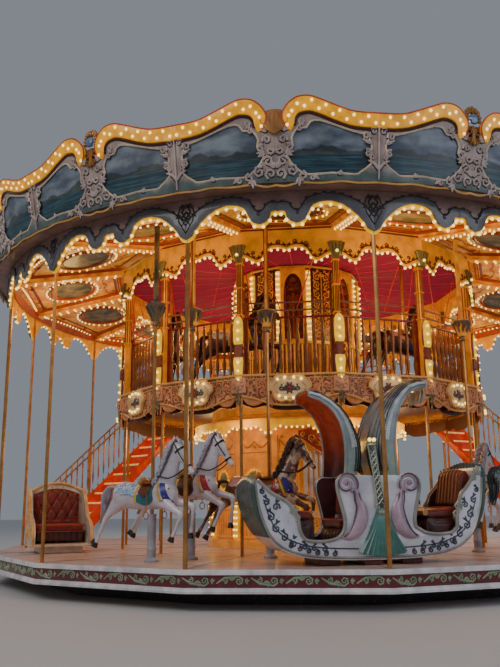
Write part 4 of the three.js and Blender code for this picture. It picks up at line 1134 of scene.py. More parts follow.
def build_finials():
    """A shell fan and a blue cabochon in berries take turns on the cornice's middles."""
    out = CORNICE_R + CORNICE_SLOPE * 0.85
    ribs = []
    for i in range(-3, 4):
        lean = i * 0.3
        ribs.append([(0.03 * i, 5.57, 0.8), (0.055 * i, 5.68, 1.5),
                     (0.05 * i, 5.8 - 0.012 * i * i, 1.7 - 0.1 * abs(lean))])
    shell = shifted(relief([flow(r, 4) for r in ribs], 0.017, 1.1), -0.02)
    plate = board([flow(mirrored([(-0.02, 5.52), (-0.12, 5.6), (-0.165, 5.72), (-0.13, 5.8),
                                  (-0.05, 5.835)]), 3, loop=True)], 0.04, 0.008)
    fan = merged(shell, plate)
    reshape(fan, lambda p: p + np.array([0, -1, 0]) * (out - 0.02))
    in_bays(fan, "finial_shells", "finial_gold", bays(range(0, SIDES, 2)))
    gem = sphere(0.075, (0, -out - 0.02, 5.84), (1, 0.5, 0.95))
    in_bays(gem, "finial_cabochons", "cabochon_blue", bays(range(1, SIDES, 2)))
    berries = [sphere(0.028, (0.095 * math.cos(a), -out - 0.01, 5.86 + 0.1 * math.sin(a)), (1, 1, 1))
               for a in np.linspace(-0.35, math.pi + 0.35, 9)]
    berries += [sphere(0.03, (x, -out, z), (1, 1, 1))
                for x, z in ((-0.05, 5.98), (0.05, 5.98), (0.0, 6.0), (-0.08, 5.95), (0.08, 5.95),
                             (0.0, 5.95))]
    curls = [volute(s * 0.07, 5.68, 0.055, 90, 1.3, s) for s in (-1, 1)]
    curls += [volute(s * 0.06, 5.56, 0.045, 270, 1.2, -s) for s in (-1, 1)]
    curls.append([(0, 5.5, 1.2), (0, 5.62, 1.6), (0, 5.76, 1.0)])
    stem = reshape(relief(curls, 0.017, 1.0), lambda p: p + np.array([0, -1, 0]) * out)
    in_bays(merged(*berries, stem), "finial_berries", "finial_gold", bays(range(1, SIDES, 2)))


def sphere(radius, place, scale, segments=8, rings=5):
    choose_none()
    bpy.ops.mesh.primitive_uv_sphere_add(segments=segments, ring_count=rings, radius=radius, location=place)
    bpy.context.object.scale = scale
    return settle(bpy.context.object)


# Outer valance

VALANCE_EDGE = [(0, 4.69), (-0.085, 4.69), (-0.105, 4.60), (-0.22, 4.53), (-0.33, 4.575), (-0.385, 4.68),
                (-0.44, 4.765), (-0.56, 4.805), (-0.68, 4.805), (-0.82, 4.755), (-0.95, 4.655),
                (-1.05, 4.545), (-1.10, 4.46), (-1.179, 4.42)]
VALANCE_LINE = [(0, 4.80), (-0.12, 4.80), (-0.17, 4.73), (-0.235, 4.685), (-0.30, 4.74), (-0.35, 4.83),
                (-0.48, 4.885), (-0.68, 4.905), (-0.88, 4.855), (-1.04, 4.77), (-1.10, 4.71),
                (-1.179, 4.66)]


def on_valance(piece, inwards=0.0, spacing=0.25):
    return wrapped(piece, VALANCE_R - inwards, 5.256, 0, 0, spacing)


def build_valance(sizes):
    edge = flow(VALANCE_EDGE, 2)
    plain = [(0, VALANCE_TOP - 0.001), *edge, (-1.179, VALANCE_TOP - 0.001)]
    sheet = both_sides(on_valance(board([plain], 0.018)))
    in_bays(sheet, "valance_plain", "valance_plain", stands_for=("outer_valance",))
    line = flow(VALANCE_LINE, 2)
    border = both_sides(on_valance(shifted(board([[*edge, *reversed(line)]], 0.014, 0.004), -0.016)))
    in_bays(border, "valance_border", "valance_border")
    strokes = [[(x, z, 1.0) for x, z in line]]
    for x, z in [(p[0], p[2]) for p in along([(x, 0, z) for x, z in line], 0.11)]:
        strokes += leaf(x, z, 0.04, 90, lobes=2, spread_deg=70)
    strokes += [volute(-0.235, 4.66, 0.03, 90, 1.1, 1), [(-1.179, 4.50, 1), (-1.12, 4.60, 1),
                                                         (-1.179, 4.69, 1)],
                [(-1.179, 4.60, 1), (-1.11, 4.70, 1), (-1.179, 4.79, 1)],
                [(-1.179, 4.69, 1), (-1.12, 4.79, 1), (-1.179, 4.88, 1)],
                [(-1.15, 4.55, 0.8), (-1.085, 4.66, 1), (-1.07, 4.77, 0.8), (-1.10, 4.85, 0.5)],
                *leaf(-1.13, 4.84, 0.06, 70, 3, 34), *leaf(-1.075, 4.72, 0.045, 20, 2, 40)]
    scroll = both_sides(on_valance(shifted(relief(strokes, 0.012), -0.028)))
    in_bays(scroll, "valance_scrolls", "valance_line")
    lip = [(x, z - 0.035) for x, z in edge]
    lining = both_sides(on_valance(board([[(0, 4.9), *lip, (-1.179, 4.9)]], 0.012), 0.03))
    in_bays(lining, "valance_lit_edge", "lit_edge")
    inside = both_sides(on_valance(board([[(0, 4.94), *[(x, z - 0.03) for x, z in edge], (-1.179, 4.94)]],
                                         0.008), 0.045))
    in_bays(inside, "valance_inside", "valance_inside")
    lamps = [(x, 0.012, z - 0.012) for x, _, z in along([(x, 0, z) for x, z in edge[:-3]],
                                                        sizes.bulb_spacing, 0.3)]
    lamps = [(x, -0.018, z - 0.03) for x, _, z in lamps]
    bulbs = both_sides(on_valance(bulb_string(lamps, sizes.bulb * 1.15), 0.02, 9.0))
    in_bays(bulbs, "valance_bulbs", "bulb_glass")


# Ceilings

CEILING_IN = (3.2903, 5.27)
CEILING_OUT = (5.1697, 4.895)
RIB_DEEP = 0.08
OVAL = (0.52, 0.36)
OVAL_OUT = 4.22


def ceiling_z(radius):
    share = (CEILING_OUT[0] - radius) / (CEILING_OUT[0] - CEILING_IN[0])
    return CEILING_OUT[1] + share * (CEILING_IN[1] - CEILING_OUT[1])


def on_ceiling(piece):
    """Lays a relief, drawn as (along, outwards), under the sloping ceiling."""

    def lay(p):
        reach = np.hypot(p[:, 0], p[:, 2])
        return np.stack([p[:, 0], -p[:, 2], ceiling_z(reach) + p[:, 1]], 1)

    return reshape(piece, lay)


def ceiling_panel(inset):
    """Corners of a bay's panel, set in from the ribs and the rims, as (along, outwards)."""
    near, far = 3.24 + inset, 5.06 - inset
    side = inset / math.cos(HALF_BAY)
    slope = math.tan(HALF_BAY)
    return [(-(near * slope - side), near), (near * slope - side, near), (far * slope - side, far),
            (0.0, far + 0.06), (-(far * slope - side), far)]


def oval(along_r, out_r, count=40):
    turns = [2 * math.pi * i / count for i in range(count)]
    return [(along_r * math.cos(a), OVAL_OUT + out_r * math.sin(a)) for a in turns]


def build_ceilings(sizes):
    mouldings = [relief([ceiling_panel(inset)], thick, 0.9, loop=True)
                 for inset, thick in ((0.10, 0.02), (0.15, 0.014))]
    rims = [relief([oval(OVAL[0] + grow, OVAL[1] + grow)], thick, 0.9, loop=True)
            for grow, thick in ((0.0, 0.018), (0.05, 0.012))]
    joints = [relief([flow([(s * 0.62, 3.42), (s * 0.5, 3.6), (s * 0.2, 3.66), (0.0, 3.6)], 4)], 0.012)
              for s in (-1, 1)]
    tails = [relief([volute(s * 0.82, 4.86, 0.09, 120 if s < 0 else 60, 1.3, s),
                     volute(s * 0.42, 4.88, 0.07, 90, 1.2, -s), volute(s * 0.45, 3.5, 0.06, 90, 1.2, s)],
                    0.012) for s in (-1, 1)]
    lines = on_ceiling(shifted(merged(*mouldings, *rims, *joints, *tails), -0.008))
    in_bays(lines, "ceiling_mouldings", "ceiling_moulding")
    places = [(x, 0, out) for x, out in oval(OVAL[0] + 0.1, OVAL[1] + 0.1)]
    ring = along([*places, places[0]], 0.125)
    ring += along([(x, 0, out) for x, out in [(-0.86, 4.99), (0.86, 4.99)]], 0.115)
    ovals = on_ceiling(bulb_string([(x, -0.03, out) for x, _, out in ring], sizes.bulb * 0.9))
    in_bays(ovals, "ceiling_oval_bulbs", "bulb_glass")
    board_under = block((-0.085, -5.1, -0.012), (0.085, -3.36, 0.0))
    reshape(board_under, lambda p: p + np.stack([p[:, 0] * 0, p[:, 0] * 0, ceiling_z(np.abs(p[:, 1]))
                                                 - RIB_DEEP - 0.002], 1))
    sides = [tubes([[(s * 0.088, -3.36, ceiling_z(3.36) - RIB_DEEP - 0.01),
                     (s * 0.088, -5.1, ceiling_z(5.1) - RIB_DEEP - 0.01)]], 0.012) for s in (-1, 1)]
    in_bays(merged(board_under, *sides), "ceiling_ribs", "rib_gold", CORNERS)
    lamps = [(s * 0.045, -out, ceiling_z(out) - RIB_DEEP - 0.03) for s in (-1, 1)
             for out in np.arange(3.48, 5.05, 0.15)]
    rib_bulbs = bulb_string(lamps, sizes.bulb * 0.9)
    in_bays(rib_bulbs, "ceiling_rib_bulbs", "bulb_glass", CORNERS)
    cove = lathe_ring([(5.10, 4.90), (5.165, 4.80), (5.175, 4.80), (5.175, 4.90)])
    complete(cove, "ceiling_cove", "ceiling_moulding")


def cloth_z(share):
    """Height of the cloth's seams, from the beam at 0 to the core at 1."""
    return 5.208 + 0.118 * share - 0.045 * math.sin(math.pi * share)


def build_deck_ceiling():
    """Cloth drawn over the deck from the beam up to the core, with a soft pleat at each seam."""
    rings, around = 9, SIDES * 24
    radii = np.linspace(3.186, 1.164, rings)
    verts, faces = [], []
    for i, radius in enumerate(radii):
        share = i / (rings - 1)
        for k in range(around):
            angle = 2 * math.pi * (k + 0.5) / around
            local = (angle + HALF_BAY) % BAY - HALF_BAY
            reach = radius if i else radius * FLAT / math.cos(local)
            if 0 < i < rings - 1:
                reach = radius * (1 - (1 - share) * (1 - FLAT / math.cos(local)))
            pleat = 0.010 * abs(math.sin(angle * SIDES * 2)) ** 0.6 * math.sin(math.pi * share) ** 0.4
            z = cloth_z(share) + 0.006 - pleat
            verts.append((reach * math.sin(angle), -reach * math.cos(angle), z))
    for i in range(rings - 1):
        for k in range(around):
            a, b = i * around + k, i * around + (k + 1) % around
            faces.append((a, b, b + around, a + around))
    return from_data("deck_ceiling_cloth", verts, faces)


def from_data(name, verts, faces):
    mesh = bpy.data.meshes.new(name)
    mesh.from_pydata([tuple(v) for v in verts], [], faces)
    piece = bpy.data.objects.new(name, mesh)
    bpy.context.collection.objects.link(piece)
    bpy.context.view_layer.objects.active = piece
    return piece


ROOF_R, ROOF_TOP_R = 5.50, 0.41
ROOF_FOOT, ROOF_TOP = 5.512, 8.212
ROOF_SAG = 0.03


def build_cloths():
    ceiling = build_deck_ceiling()
    applied(ceiling, "SOLIDIFY", thickness=0.003, offset=1)
    closed(ceiling)
    complete(ceiling, "deck_ceiling_cloth", "deck_cloth", stands_for=("deck_ceiling",))
    stitched = [(0.0, -radius, cloth_z(i / 8)) for i, radius in enumerate(np.linspace(3.17, 1.18, 9))]
    sewn = tubes([stitched], 0.010)
    in_bays(sewn, "deck_cloth_seams", "cloth_seam", [turn(k * BAY / 2) for k in range(2 * SIDES)])
    around = SIDES * 12
    verts, faces = [], []
    heights = np.linspace(0, 1, 12)
    for i, share in enumerate(heights):
        for k in range(around):
            angle = 2 * math.pi * k / around
            local = (angle + HALF_BAY) % BAY - HALF_BAY
            radius = ROOF_R + (ROOF_TOP_R - ROOF_R) * share
            sag = ROOF_SAG * math.cos(math.pi * local / BAY) * math.sin(math.pi * share)
            z = ROOF_FOOT + (ROOF_TOP - ROOF_FOOT) * share - sag
            verts.append((radius * math.sin(angle), -radius * math.cos(angle), z))
    for i in range(len(heights) - 1):
        for k in range(around):
            a, b = i * around + k, i * around + (k + 1) % around
            faces.append((a, b, b + around, a + around))
    canvas = from_data("roof_cloth_sheet", verts, faces)
    applied(canvas, "SOLIDIFY", thickness=0.004, offset=0)
    closed(canvas)
    complete(canvas, "roof_cloth_sheet", "roof_cloth", stands_for=("roof",))
    fall = (ROOF_TOP - ROOF_FOOT) / (ROOF_R - ROOF_TOP_R)
    seams = [[(0.0, -r, ROOF_FOOT + fall * (ROOF_R - r) + 0.006) for r in np.linspace(5.48, 0.42, 12)]]
    ropes = tubes(seams, 0.008)
    in_bays(ropes, "roof_seams", "cloth_roof", CORNERS)


# Deck: inner valance, columns, railings and fascia

INNER_OUT = 3.2313
INNER_EDGE = [(0, 4.885), (-0.08, 4.92), (-0.2, 4.925), (-0.29, 4.885), (-0.345, 4.81), (-0.39, 4.735),
              (-0.45, 4.705), (-0.52, 4.735), (-0.57, 4.765), (-0.65, 4.80), (-0.7375, 4.80)]
RAIL_LINE = 3.14 * FLAT
RAIL_HALF = 3.14 * math.sin(HALF_BAY)
FASCIA_LINE = FASCIA_R * FLAT
FASCIA_HALF = FASCIA_R * math.sin(HALF_BAY)
SHIELD_UP = 2.79
RAILING_BAYS = {"front": (-1, 0, 1), "left": (-4, -3, -2), "right": (2, 3, 4), "back": (6, 7, 8)}
OPEN_BAYS = (STAIR_BAY, SIDES - STAIR_BAY)


def outwards(piece, out):
    """Stands a relief out at a distance from the carousel's middle."""
    return reshape(piece, lambda p: p + np.array([0, -out, 0]))


def build_inner_valance(sizes):
    edge = flow(INNER_EDGE, 3)
    half = [(0, 5.252), *edge, (-0.7375, 5.252)]
    boards = outwards(both_sides(board([half], 0.022)), INNER_OUT - 0.012)
    in_bays(boards, "inner_valance_boards", "inner_cream", stands_for=("inner_valance",))
    lit = outwards(both_sides(tubes([[(x, 0, z) for x, z in edge]], 0.015)), INNER_OUT + 0.012)
    in_bays(lit, "inner_valance_edge", "inner_line")
    raised = [(x, z + 0.055) for x, z in edge]
    strokes = [[(x, z, 0.9) for x, z in raised]]
    for x, _, z in along([(x, 0, z) for x, z in raised], 0.095):
        strokes += leaf(x, z, 0.055, 90, lobes=3, spread_deg=55)
    strokes += [volute(-0.12, 5.02, 0.045, 270, 1.3, -1), volute(-0.30, 4.99, 0.04, 200, 1.2, 1),
                volute(-0.5, 4.86, 0.035, 250, 1.2, -1), [(-0.7, 5.22, 1.3), (0, 5.22, 1.3)]]
    scrolls = outwards(both_sides(relief(strokes, 0.011, 1.0)), INNER_OUT + 0.012)
    in_bays(scrolls, "inner_valance_scrolls", "inner_scroll")
    lamps = [(x, -0.012, z - 0.028) for x, _, z in along([(x, 0, z) for x, z in edge], 0.098, 0.45)]
    bulbs = outwards(both_sides(bulb_string(lamps, sizes.bulb * 1.1)), INNER_OUT)
    in_bays(bulbs, "inner_valance_bulbs", "bulb_glass")


LAMP_LOW = [(-0.07, 3.26), (-0.068, 3.1), (-0.045, 2.92), (0, 2.85), (0.045, 2.92), (0.068, 3.1),
            (0.07, 3.26)]
LAMP_HIGH = [(-0.062, 3.46), (-0.078, 3.6), (-0.072, 3.8), (-0.03, 3.87), (0, 3.88), (0.03, 3.87),
             (0.072, 3.8), (0.078, 3.6), (0.062, 3.46)]
CAPITAL = [(-0.05, 4.74), (-0.062, 4.83), (-0.125, 4.97), (-0.09, 5.0), (0.09, 5.0), (0.125, 4.97),
           (0.062, 4.83), (0.05, 4.74)]


def build_columns(sizes):
    out = COLUMN_R
    shaft = batten((-0.040, -out - 0.045, 2.962), (0.040, -out + 0.045, 5.1), 0.01)
    flutes = [batten((x - 0.007, -out - s * 0.05 - 0.006, 3.92), (x + 0.007, -out - s * 0.05 + 0.006, 4.72),
                     0.004) for x in (-0.024, 0, 0.024) for s in (-1, 1)]
    side_flutes = [batten((s * 0.044 - 0.006, -out + y - 0.007, 3.92),
                          (s * 0.044 + 0.006, -out + y + 0.007, 4.72), 0.004) for y in (-0.022, 0.022)
                   for s in (-1, 1)]
    in_bays(merged(*flutes, *side_flutes), "column_flutes", "core_brown", CORNERS)
    bands = [batten((-0.056, -out - 0.06, z), (0.056, -out + 0.06, z + 0.03), 0.008)
             for z in (3.9, 4.32, 4.70)]
    beam = bay_ring([(3.19, 5.06), (3.288, 5.06), (3.288, 5.266), (3.19, 5.266)])
    columns = spread(merged(shaft, *bands), bays(shift=0.5))
    complete(merged(columns, beam), "columns", "column_orange", stands_for=("colonnade",))
    lamps = [outwards(board([flow(line, 2, loop=True)], 0.03, 0.006), out + 0.085)
             for line in (LAMP_LOW, LAMP_HIGH)]
    in_bays(merged(*lamps), "column_lamp_boards", "lamp_board", CORNERS)
    places = [(0, -out - 0.13, z) for z in (2.93, 3.06, 3.19, 3.53, 3.66, 3.79)]
    bulbs = bulb_string(places, sizes.bulb * 1.05)
    in_bays(bulbs, "column_bulbs", "bulb_glass", CORNERS)
    strokes = []
    for s in (-1, 1):
        strokes += [volute(s * 0.055, 3.40, 0.045, 90, 1.3, s), volute(s * 0.06, 3.30, 0.04, 270, 1.2, -s),
                    [(s * 0.02, 3.24, 1.2), (s * 0.05, 3.36, 1.4), (s * 0.02, 3.47, 1.0)],
                    [(s * 0.075, 3.48, 0.8), (s * 0.088, 3.62, 1.0), (s * 0.082, 3.8, 0.8),
                     (s * 0.03, 3.90, 0.6)], [(s * 0.078, 3.27, 0.8), (s * 0.078, 3.1, 1.0),
                                              (s * 0.05, 2.9, 0.7), (0, 2.83, 0.6)]]
    carving = outwards(merged(relief(strokes, 0.017, 1.1), batten((-0.06, -0.02, 3.25), (0.06, 0.03, 3.47),
                                                                  0.012)), out + 0.095)
    in_bays(carving, "column_carvings", "core_brown", CORNERS)
    fan = board([CAPITAL], 0.1, 0.012)
    ribs = [[(0.03 * i, 4.75, 0.8), (0.045 * i, 4.86, 1.2), (0.062 * i, 4.97, 1.5)]
            for i in (-2, -1, 0, 1, 2)]
    ribs_mesh = shifted(relief(ribs, 0.012, 1.0), -0.1)
    capital = outwards(merged(fan, ribs_mesh), out + 0.02)
    in_bays(capital, "capitals", "capital_grey", CORNERS)
    single = bulb_string([(0, -out - 0.15, 4.83)], sizes.bulb * 1.2)
    in_bays(single, "capital_bulbs", "bulb_glass", CORNERS)


BALUSTER = [(0.016, 2.99), (0.028, 3.02), (0.015, 3.07), (0.027, 3.14), (0.034, 3.22), (0.017, 3.31),
            (0.027, 3.36), (0.017, 3.41), (0.029, 3.52), (0.033, 3.6), (0.016, 3.7), (0.027, 3.76),
            (0.015, 3.82), (0.015, 3.88)]


def build_railings():
    baluster = lathe(BALUSTER, 6)
    places = [at(x, -RAIL_LINE, 0) for x in np.linspace(-RAIL_HALF + 0.075, RAIL_HALF - 0.075, 11)]
    row = spread(baluster, places)
    red = [batten((-RAIL_HALF, -RAIL_LINE - 0.018, z), (RAIL_HALF, -RAIL_LINE + 0.018, z + 0.03), 0.006)
           for z in (2.965, 3.875)]
    posts = [batten((s * (RAIL_HALF - 0.035) - 0.022, -RAIL_LINE - 0.022, 2.962),
                    (s * (RAIL_HALF - 0.035) + 0.022, -RAIL_LINE + 0.022, 4.0), 0.006) for s in (-1, 1)]
    bars = tubes([[(-RAIL_HALF, -RAIL_LINE, z), (RAIL_HALF, -RAIL_LINE, z)] for z in (4.0, 4.12)], 0.014)
    stays = [[(s * (RAIL_HALF - 0.02), -RAIL_LINE - 0.05, 4.86), (s * (RAIL_HALF - 0.16), -RAIL_LINE, 4.0)]
             for s in (-1, 1)]
    stays += [[(s * (RAIL_HALF - 0.32), -RAIL_LINE - 0.06, 4.74), (s * (RAIL_HALF - 0.58), -RAIL_LINE, 4.0)]
              for s in (-1, 1)]
    rods = tubes(stays, 0.008)
    for index, (where, which) in enumerate(RAILING_BAYS.items()):
        one = row if index == 3 else copied(row)
        in_bays(one, "balusters_" + where, "rail_bronze", bays(which), stands_for=("deck_railing_" + where,))
    fenced = [k for k in range(SIDES) if k not in OPEN_BAYS]
    in_bays(merged(*red, *posts), "red_rails", "rail_red", bays(fenced))
    in_bays(rods, "stay_rods", "stay_red", bays(fenced))
    in_bays(bars, "silver_bars", "rail_silver", bays(fenced))


def copied(piece):
    """A copy with a mesh of its own."""
    other = piece.copy()
    other.data = piece.data.copy()
    bpy.context.collection.objects.link(other)
    return other


SHIELD = [(0, 2.955), (0.09, 2.992), (0.185, 2.985), (0.225, 2.93), (0.29, 2.89), (0.31, 2.80),
          (0.24, 2.745), (0.215, 2.66), (0.13, 2.60), (0.05, 2.615), (0, 2.595)]
SHIELD_FACE = [(0, 2.92), (0.08, 2.945), (0.15, 2.93), (0.185, 2.87), (0.24, 2.80), (0.18, 2.735),
               (0.12, 2.66), (0, 2.64)]


def build_fascia(sizes):
    half = FASCIA_HALF
    band = [(0, 2.985), (-half, 2.985), (-half, 2.70), (-0.55, 2.66), (-0.35, 2.6), (-0.2, 2.56), (0, 2.55)]
    body = outwards(both_sides(board([band], 0.03)), FASCIA_LINE - 0.028)
    in_bays(body, "fascia_board", "fascia_carved", stands_for=("deck_fascia",))
    rails = [batten((-half, -FASCIA_LINE - 0.03, 2.975), (half, -FASCIA_LINE + 0.02, 3.008), 0.008),
             batten((-half, -FASCIA_LINE - 0.014, 2.93), (half, -FASCIA_LINE, 2.944), 0.004)]
    hem = relief([[(x, z, 1.2) for x, z in flow(band[2:], 4)]], 0.012, 1.0)
    trim = outwards(both_sides(hem), FASCIA_LINE + 0.004)
    in_bays(merged(*rails, trim), "fascia_rails", "fascia_gold")
    build_shields(sizes)
    fascia_scrolls()
    fascia_corners()
    fascia_drapes()
    deck_skirt()


def build_shields(sizes):
    """Cream shields with a bouquet and eight bulbs, on every bay but the two with a stair."""
    shielded = [k for k in range(SIDES) if k not in OPEN_BAYS]
    outline = flow([*SHIELD, *[(-x, z) for x, z in reversed(SHIELD[1:-1])]], 2, loop=True)
    face = flow([*SHIELD_FACE, *[(-x, z) for x, z in reversed(SHIELD_FACE[1:-1])]], 2, loop=True)
    plate = outwards(board([outline], 0.04, 0.008), FASCIA_LINE + 0.004)
    in_bays(plate, "shields", "shield_cream", bays(shielded))
    rims = [relief([[(x, z, 1.0) for x, z in line]], thick, 1.0, loop=True)
            for line, thick in ((outline, 0.014), (face, 0.009))]
    rim = outwards(merged(*rims), FASCIA_LINE + 0.045)
    in_bays(rim, "shield_rims", "fascia_gold", bays(shielded))
    bouquet = []
    for angle in range(0, 360, 45):
        bouquet += leaf(0, SHIELD_UP, 0.1, angle, lobes=2, spread_deg=24)
    bouquet += [volute(s * 0.12, SHIELD_UP, 0.05, 90, 1.2, s) for s in (-1, 1)]
    flowers = outwards(relief(bouquet, 0.015, 1.2), FASCIA_LINE + 0.046)
    in_bays(flowers, "shield_bouquets", "fascia_violet", bays(shielded))
    rose = [sphere(0.030, (0, -FASCIA_LINE - 0.055, SHIELD_UP), (1, 0.6, 1), 10, 6)]
    rose += [sphere(0.017, (0.036 * math.cos(a), -FASCIA_LINE - 0.055, SHIELD_UP + 0.036 * math.sin(a)),
                    (1, 0.6, 1)) for a in np.linspace(0, 2 * math.pi, 6)[:-1]]
    in_bays(merged(*rose), "shield_roses", "flower_red", bays(shielded))
    buds = [sphere(0.019, (x, -FASCIA_LINE - 0.055, SHIELD_UP + z), (1, 0.6, 1))
            for x, z in ((-0.085, 0.03), (0.085, 0.03), (-0.06, -0.06), (0.06, -0.06), (0, 0.09))]
    in_bays(merged(*buds), "shield_buds", "flower_white", bays(shielded))
    lamps = [(s * x, -FASCIA_LINE - 0.075, z) for s in (-1, 1)
             for x, z in ((0.17, 2.915), (0.065, 2.94), (0.15, 2.675), (0.055, 2.645))]
    in_bays(bulb_string(lamps, sizes.bulb * 1.15), "shield_bulbs", "bulb_glass", bays(shielded))


def fascia_scrolls():
    flanks = []
    for s in (-1, 1):
        flanks += [volute(s * 0.40, 2.86, 0.06, 180 if s > 0 else 0, 1.3, -s),
                   volute(s * 0.40, 2.74, 0.055, 90, 1.2, s),
                   volute(s * 0.52, 2.82, 0.05, 0 if s > 0 else 180, 1.2, s),
                   *leaf(s * 0.34, 2.8, 0.08, 90 - s * 90, 3),
                   [(s * 0.47, 2.92, 0.8), (s * 0.47, 2.70, 0.8)],
                   [(s * 0.60, 2.92, 0.8), (s * 0.60, 2.70, 0.8)], volute(s * 0.30, 2.64, 0.05, 60, 1.2, s),
                   *leaf(s * 0.25, 2.62, 0.09, 250 if s < 0 else 290, 3)]
    side = outwards(relief(flanks, 0.014, 1.1), FASCIA_LINE + 0.004)
    in_bays(side, "fascia_scrolls", "fascia_pink")


def fascia_corners():
    """A rosette on each corner, with a drop of leaves under it."""
    corner = 3.335
    rosette = [sphere(0.052, (0, -corner - 0.03, 2.85), (1, 0.5, 1), 12, 8)]
    rosette += [sphere(0.026, (0.062 * math.cos(a), -corner - 0.025, 2.85 + 0.062 * math.sin(a)),
                       (1, 0.6, 1)) for a in np.linspace(0, 2 * math.pi, 8)[:-1]]
    rosette.append(batten((-0.11, -corner - 0.012, 2.73), (0.11, -corner + 0.04, 2.96), 0.012))
    in_bays(merged(*rosette), "corner_rosettes", "fascia_pink", CORNERS)
    drops = [leaf(0, 2.74, 0.1, 270, 5, 24), leaf(0, 2.66, 0.08, 270, 3, 22),
             [[(0, 2.75, 1.4), (0, 2.56, 0.5)]]]
    drop = outwards(relief([stroke for one in drops for stroke in one], 0.016, 1.0), corner)
    in_bays(drop, "corner_drops", "capital_grey", CORNERS)


def fascia_drapes():
    swags = [[(s * x, z, share) for x, z, share in ((0.70, 2.71, 0.8), (0.6, 2.64 - d, 1.2),
                                                    (0.47, 2.63 - d, 1.3), (0.33, 2.66, 0.8))]
             for s in (-1, 1) for d in (0.0, 0.025, 0.05)]
    swags += [[(s * 0.70, 2.72, 1.4), (s * 0.70, 2.60, 1.0), (s * 0.705, 2.53, 0.5)] for s in (-1, 1)]
    drapes = outwards(relief([flow(line, 4) for line in swags], 0.017, 0.8), FASCIA_LINE - 0.02)
    in_bays(drapes, "fascia_drapes", "drape_peach")


def deck_skirt():
    """The brown scalloped skirt that hangs behind the fascia's drapes."""
    half = FASCIA_HALF
    skirt_line = [(0, 2.74), (-half + 0.02, 2.74), (-half + 0.02, 2.60), (-0.55, 2.53), (-0.36, 2.56),
                  (-0.2, 2.5), (0, 2.49)]
    skirt = outwards(both_sides(board([flow(skirt_line[2:], 3) + [(0, 2.74), (-half + 0.02, 2.74)]], 0.02)),
                     3.12)
    in_bays(skirt, "deck_skirt", "skirt_brown")
    relief_lines = []
    for s in (-1, 1):
        relief_lines += [volute(s * 0.12, 2.58, 0.05, 90, 1.3, s), volute(s * 0.3, 2.63, 0.05, 90, 1.3, -s),
                         volute(s * 0.5, 2.62, 0.05, 90, 1.3, s), *leaf(s * 0.2, 2.6, 0.09, 90, 3)]
    carving = outwards(relief(relief_lines, 0.012, 1.0), 3.142)
    in_bays(carving, "deck_skirt_scrolls", "core_brown")


# Cores


CORE_FACE = UPPER_CORE_R * FLAT
CORE_HALF = UPPER_CORE_R * math.sin(HALF_BAY)
CORE_PANEL_FOOT, CORE_PANEL_TOP = 3.955, 5.27
MEDALLION_UP = 1.56


def build_upper_core(sizes):
    """Slatted foot, tall arched niches and carved panels in turn, and lit posts on the corners."""
    radius, face, half = UPPER_CORE_R, CORE_FACE, CORE_HALF
    drum = bay_ring([(radius - 0.05, 2.962), (radius, 2.962), (radius, 5.33), (radius - 0.05, 5.33)])
    complete(drum, "upper_core_drum", "core_brown", stands_for=("upper_core",))
    slats = []
    for i in range(7):
        x = -half + 0.05 + (2 * half - 0.1) * i / 6
        slats.append([(x, 3.02), (x, 3.88)])
    rows = outwards(relief(slats, 0.018, 1.0), face + 0.012)
    rails = [batten((-half - 0.01, -face - 0.045, z), (half + 0.01, -face + 0.01, z + tall), 0.01)
             for z, tall in ((2.962, 0.1), (3.88, 0.07), (CORE_PANEL_TOP, 0.04))]
    in_bays(merged(rows, *rails), "upper_core_slats", "slat_gold")
    side = half - 0.035
    outline = [(-side, CORE_PANEL_FOOT), (-side, CORE_PANEL_TOP), (side, CORE_PANEL_TOP),
               (side, CORE_PANEL_FOOT)]
    core_niches(outline, bays(range(0, SIDES, 2)))
    core_panels(outline, bays(range(1, SIDES, 2)))
    post = batten((-0.046, -radius - 0.05, 3.92), (0.046, -radius + 0.02, 5.22), 0.012)
    in_bays(post, "upper_core_posts", "lamp_board", CORNERS)
    lamps = [(s * 0.02, -radius - 0.065, z) for s in (-1, 1) for z in np.arange(3.99, 5.19, 0.098)]
    in_bays(bulb_string(lamps, sizes.bulb * 0.85), "upper_core_bulbs", "bulb_glass", CORNERS)


def core_niches(outline, niches):
    """Arched niches with an urn of scrolls and leaves in each."""
    face = CORE_FACE
    arch = flow([(-0.16, 3.97), (-0.17, 4.60), (-0.15, 4.98), (-0.08, 5.13), (0, 5.17), (0.08, 5.13),
                 (0.15, 4.98), (0.17, 4.60), (0.16, 3.97)], 3)
    surround = outwards(board([outline, arch], 0.05, 0.006), face + 0.004)
    in_bays(surround, "upper_core_niches", "column_orange", niches)
    hollow = outwards(board([arch], 0.006), face + 0.003)
    in_bays(hollow, "upper_core_niche_backs", "skirt_brown", niches)
    strokes = []
    for s in (-1, 1):
        strokes += [volute(s * 0.07, 4.92, 0.065, 90, 1.4, s), volute(s * 0.08, 4.72, 0.06, 270, 1.3, -s),
                    [(s * 0.02, 4.05, 1.2), (s * 0.09, 4.28, 1.8), (s * 0.10, 4.45, 1.4),
                     (s * 0.03, 4.60, 1.0)], volute(s * 0.10, 4.08, 0.045, 90, 1.2, s),
                    [(s * 0.13, 4.2, 0.8), (s * 0.145, 4.9, 0.8)]]
    strokes += [*leaf(0, 4.86, 0.16, 90, 5, 24), *leaf(0, 4.45, 0.12, 90, 3, 30),
                [(0, 3.98, 1.6), (0, 4.8, 1.5)], *leaf(0, 5.03, 0.09, 90, 5, 34),
                [(-0.07, 4.60, 1.6), (0.07, 4.60, 1.6)]]
    urn = outwards(relief(strokes, 0.017, 1.2), face + 0.010)
    in_bays(urn, "upper_core_urns", "core_brown", niches)


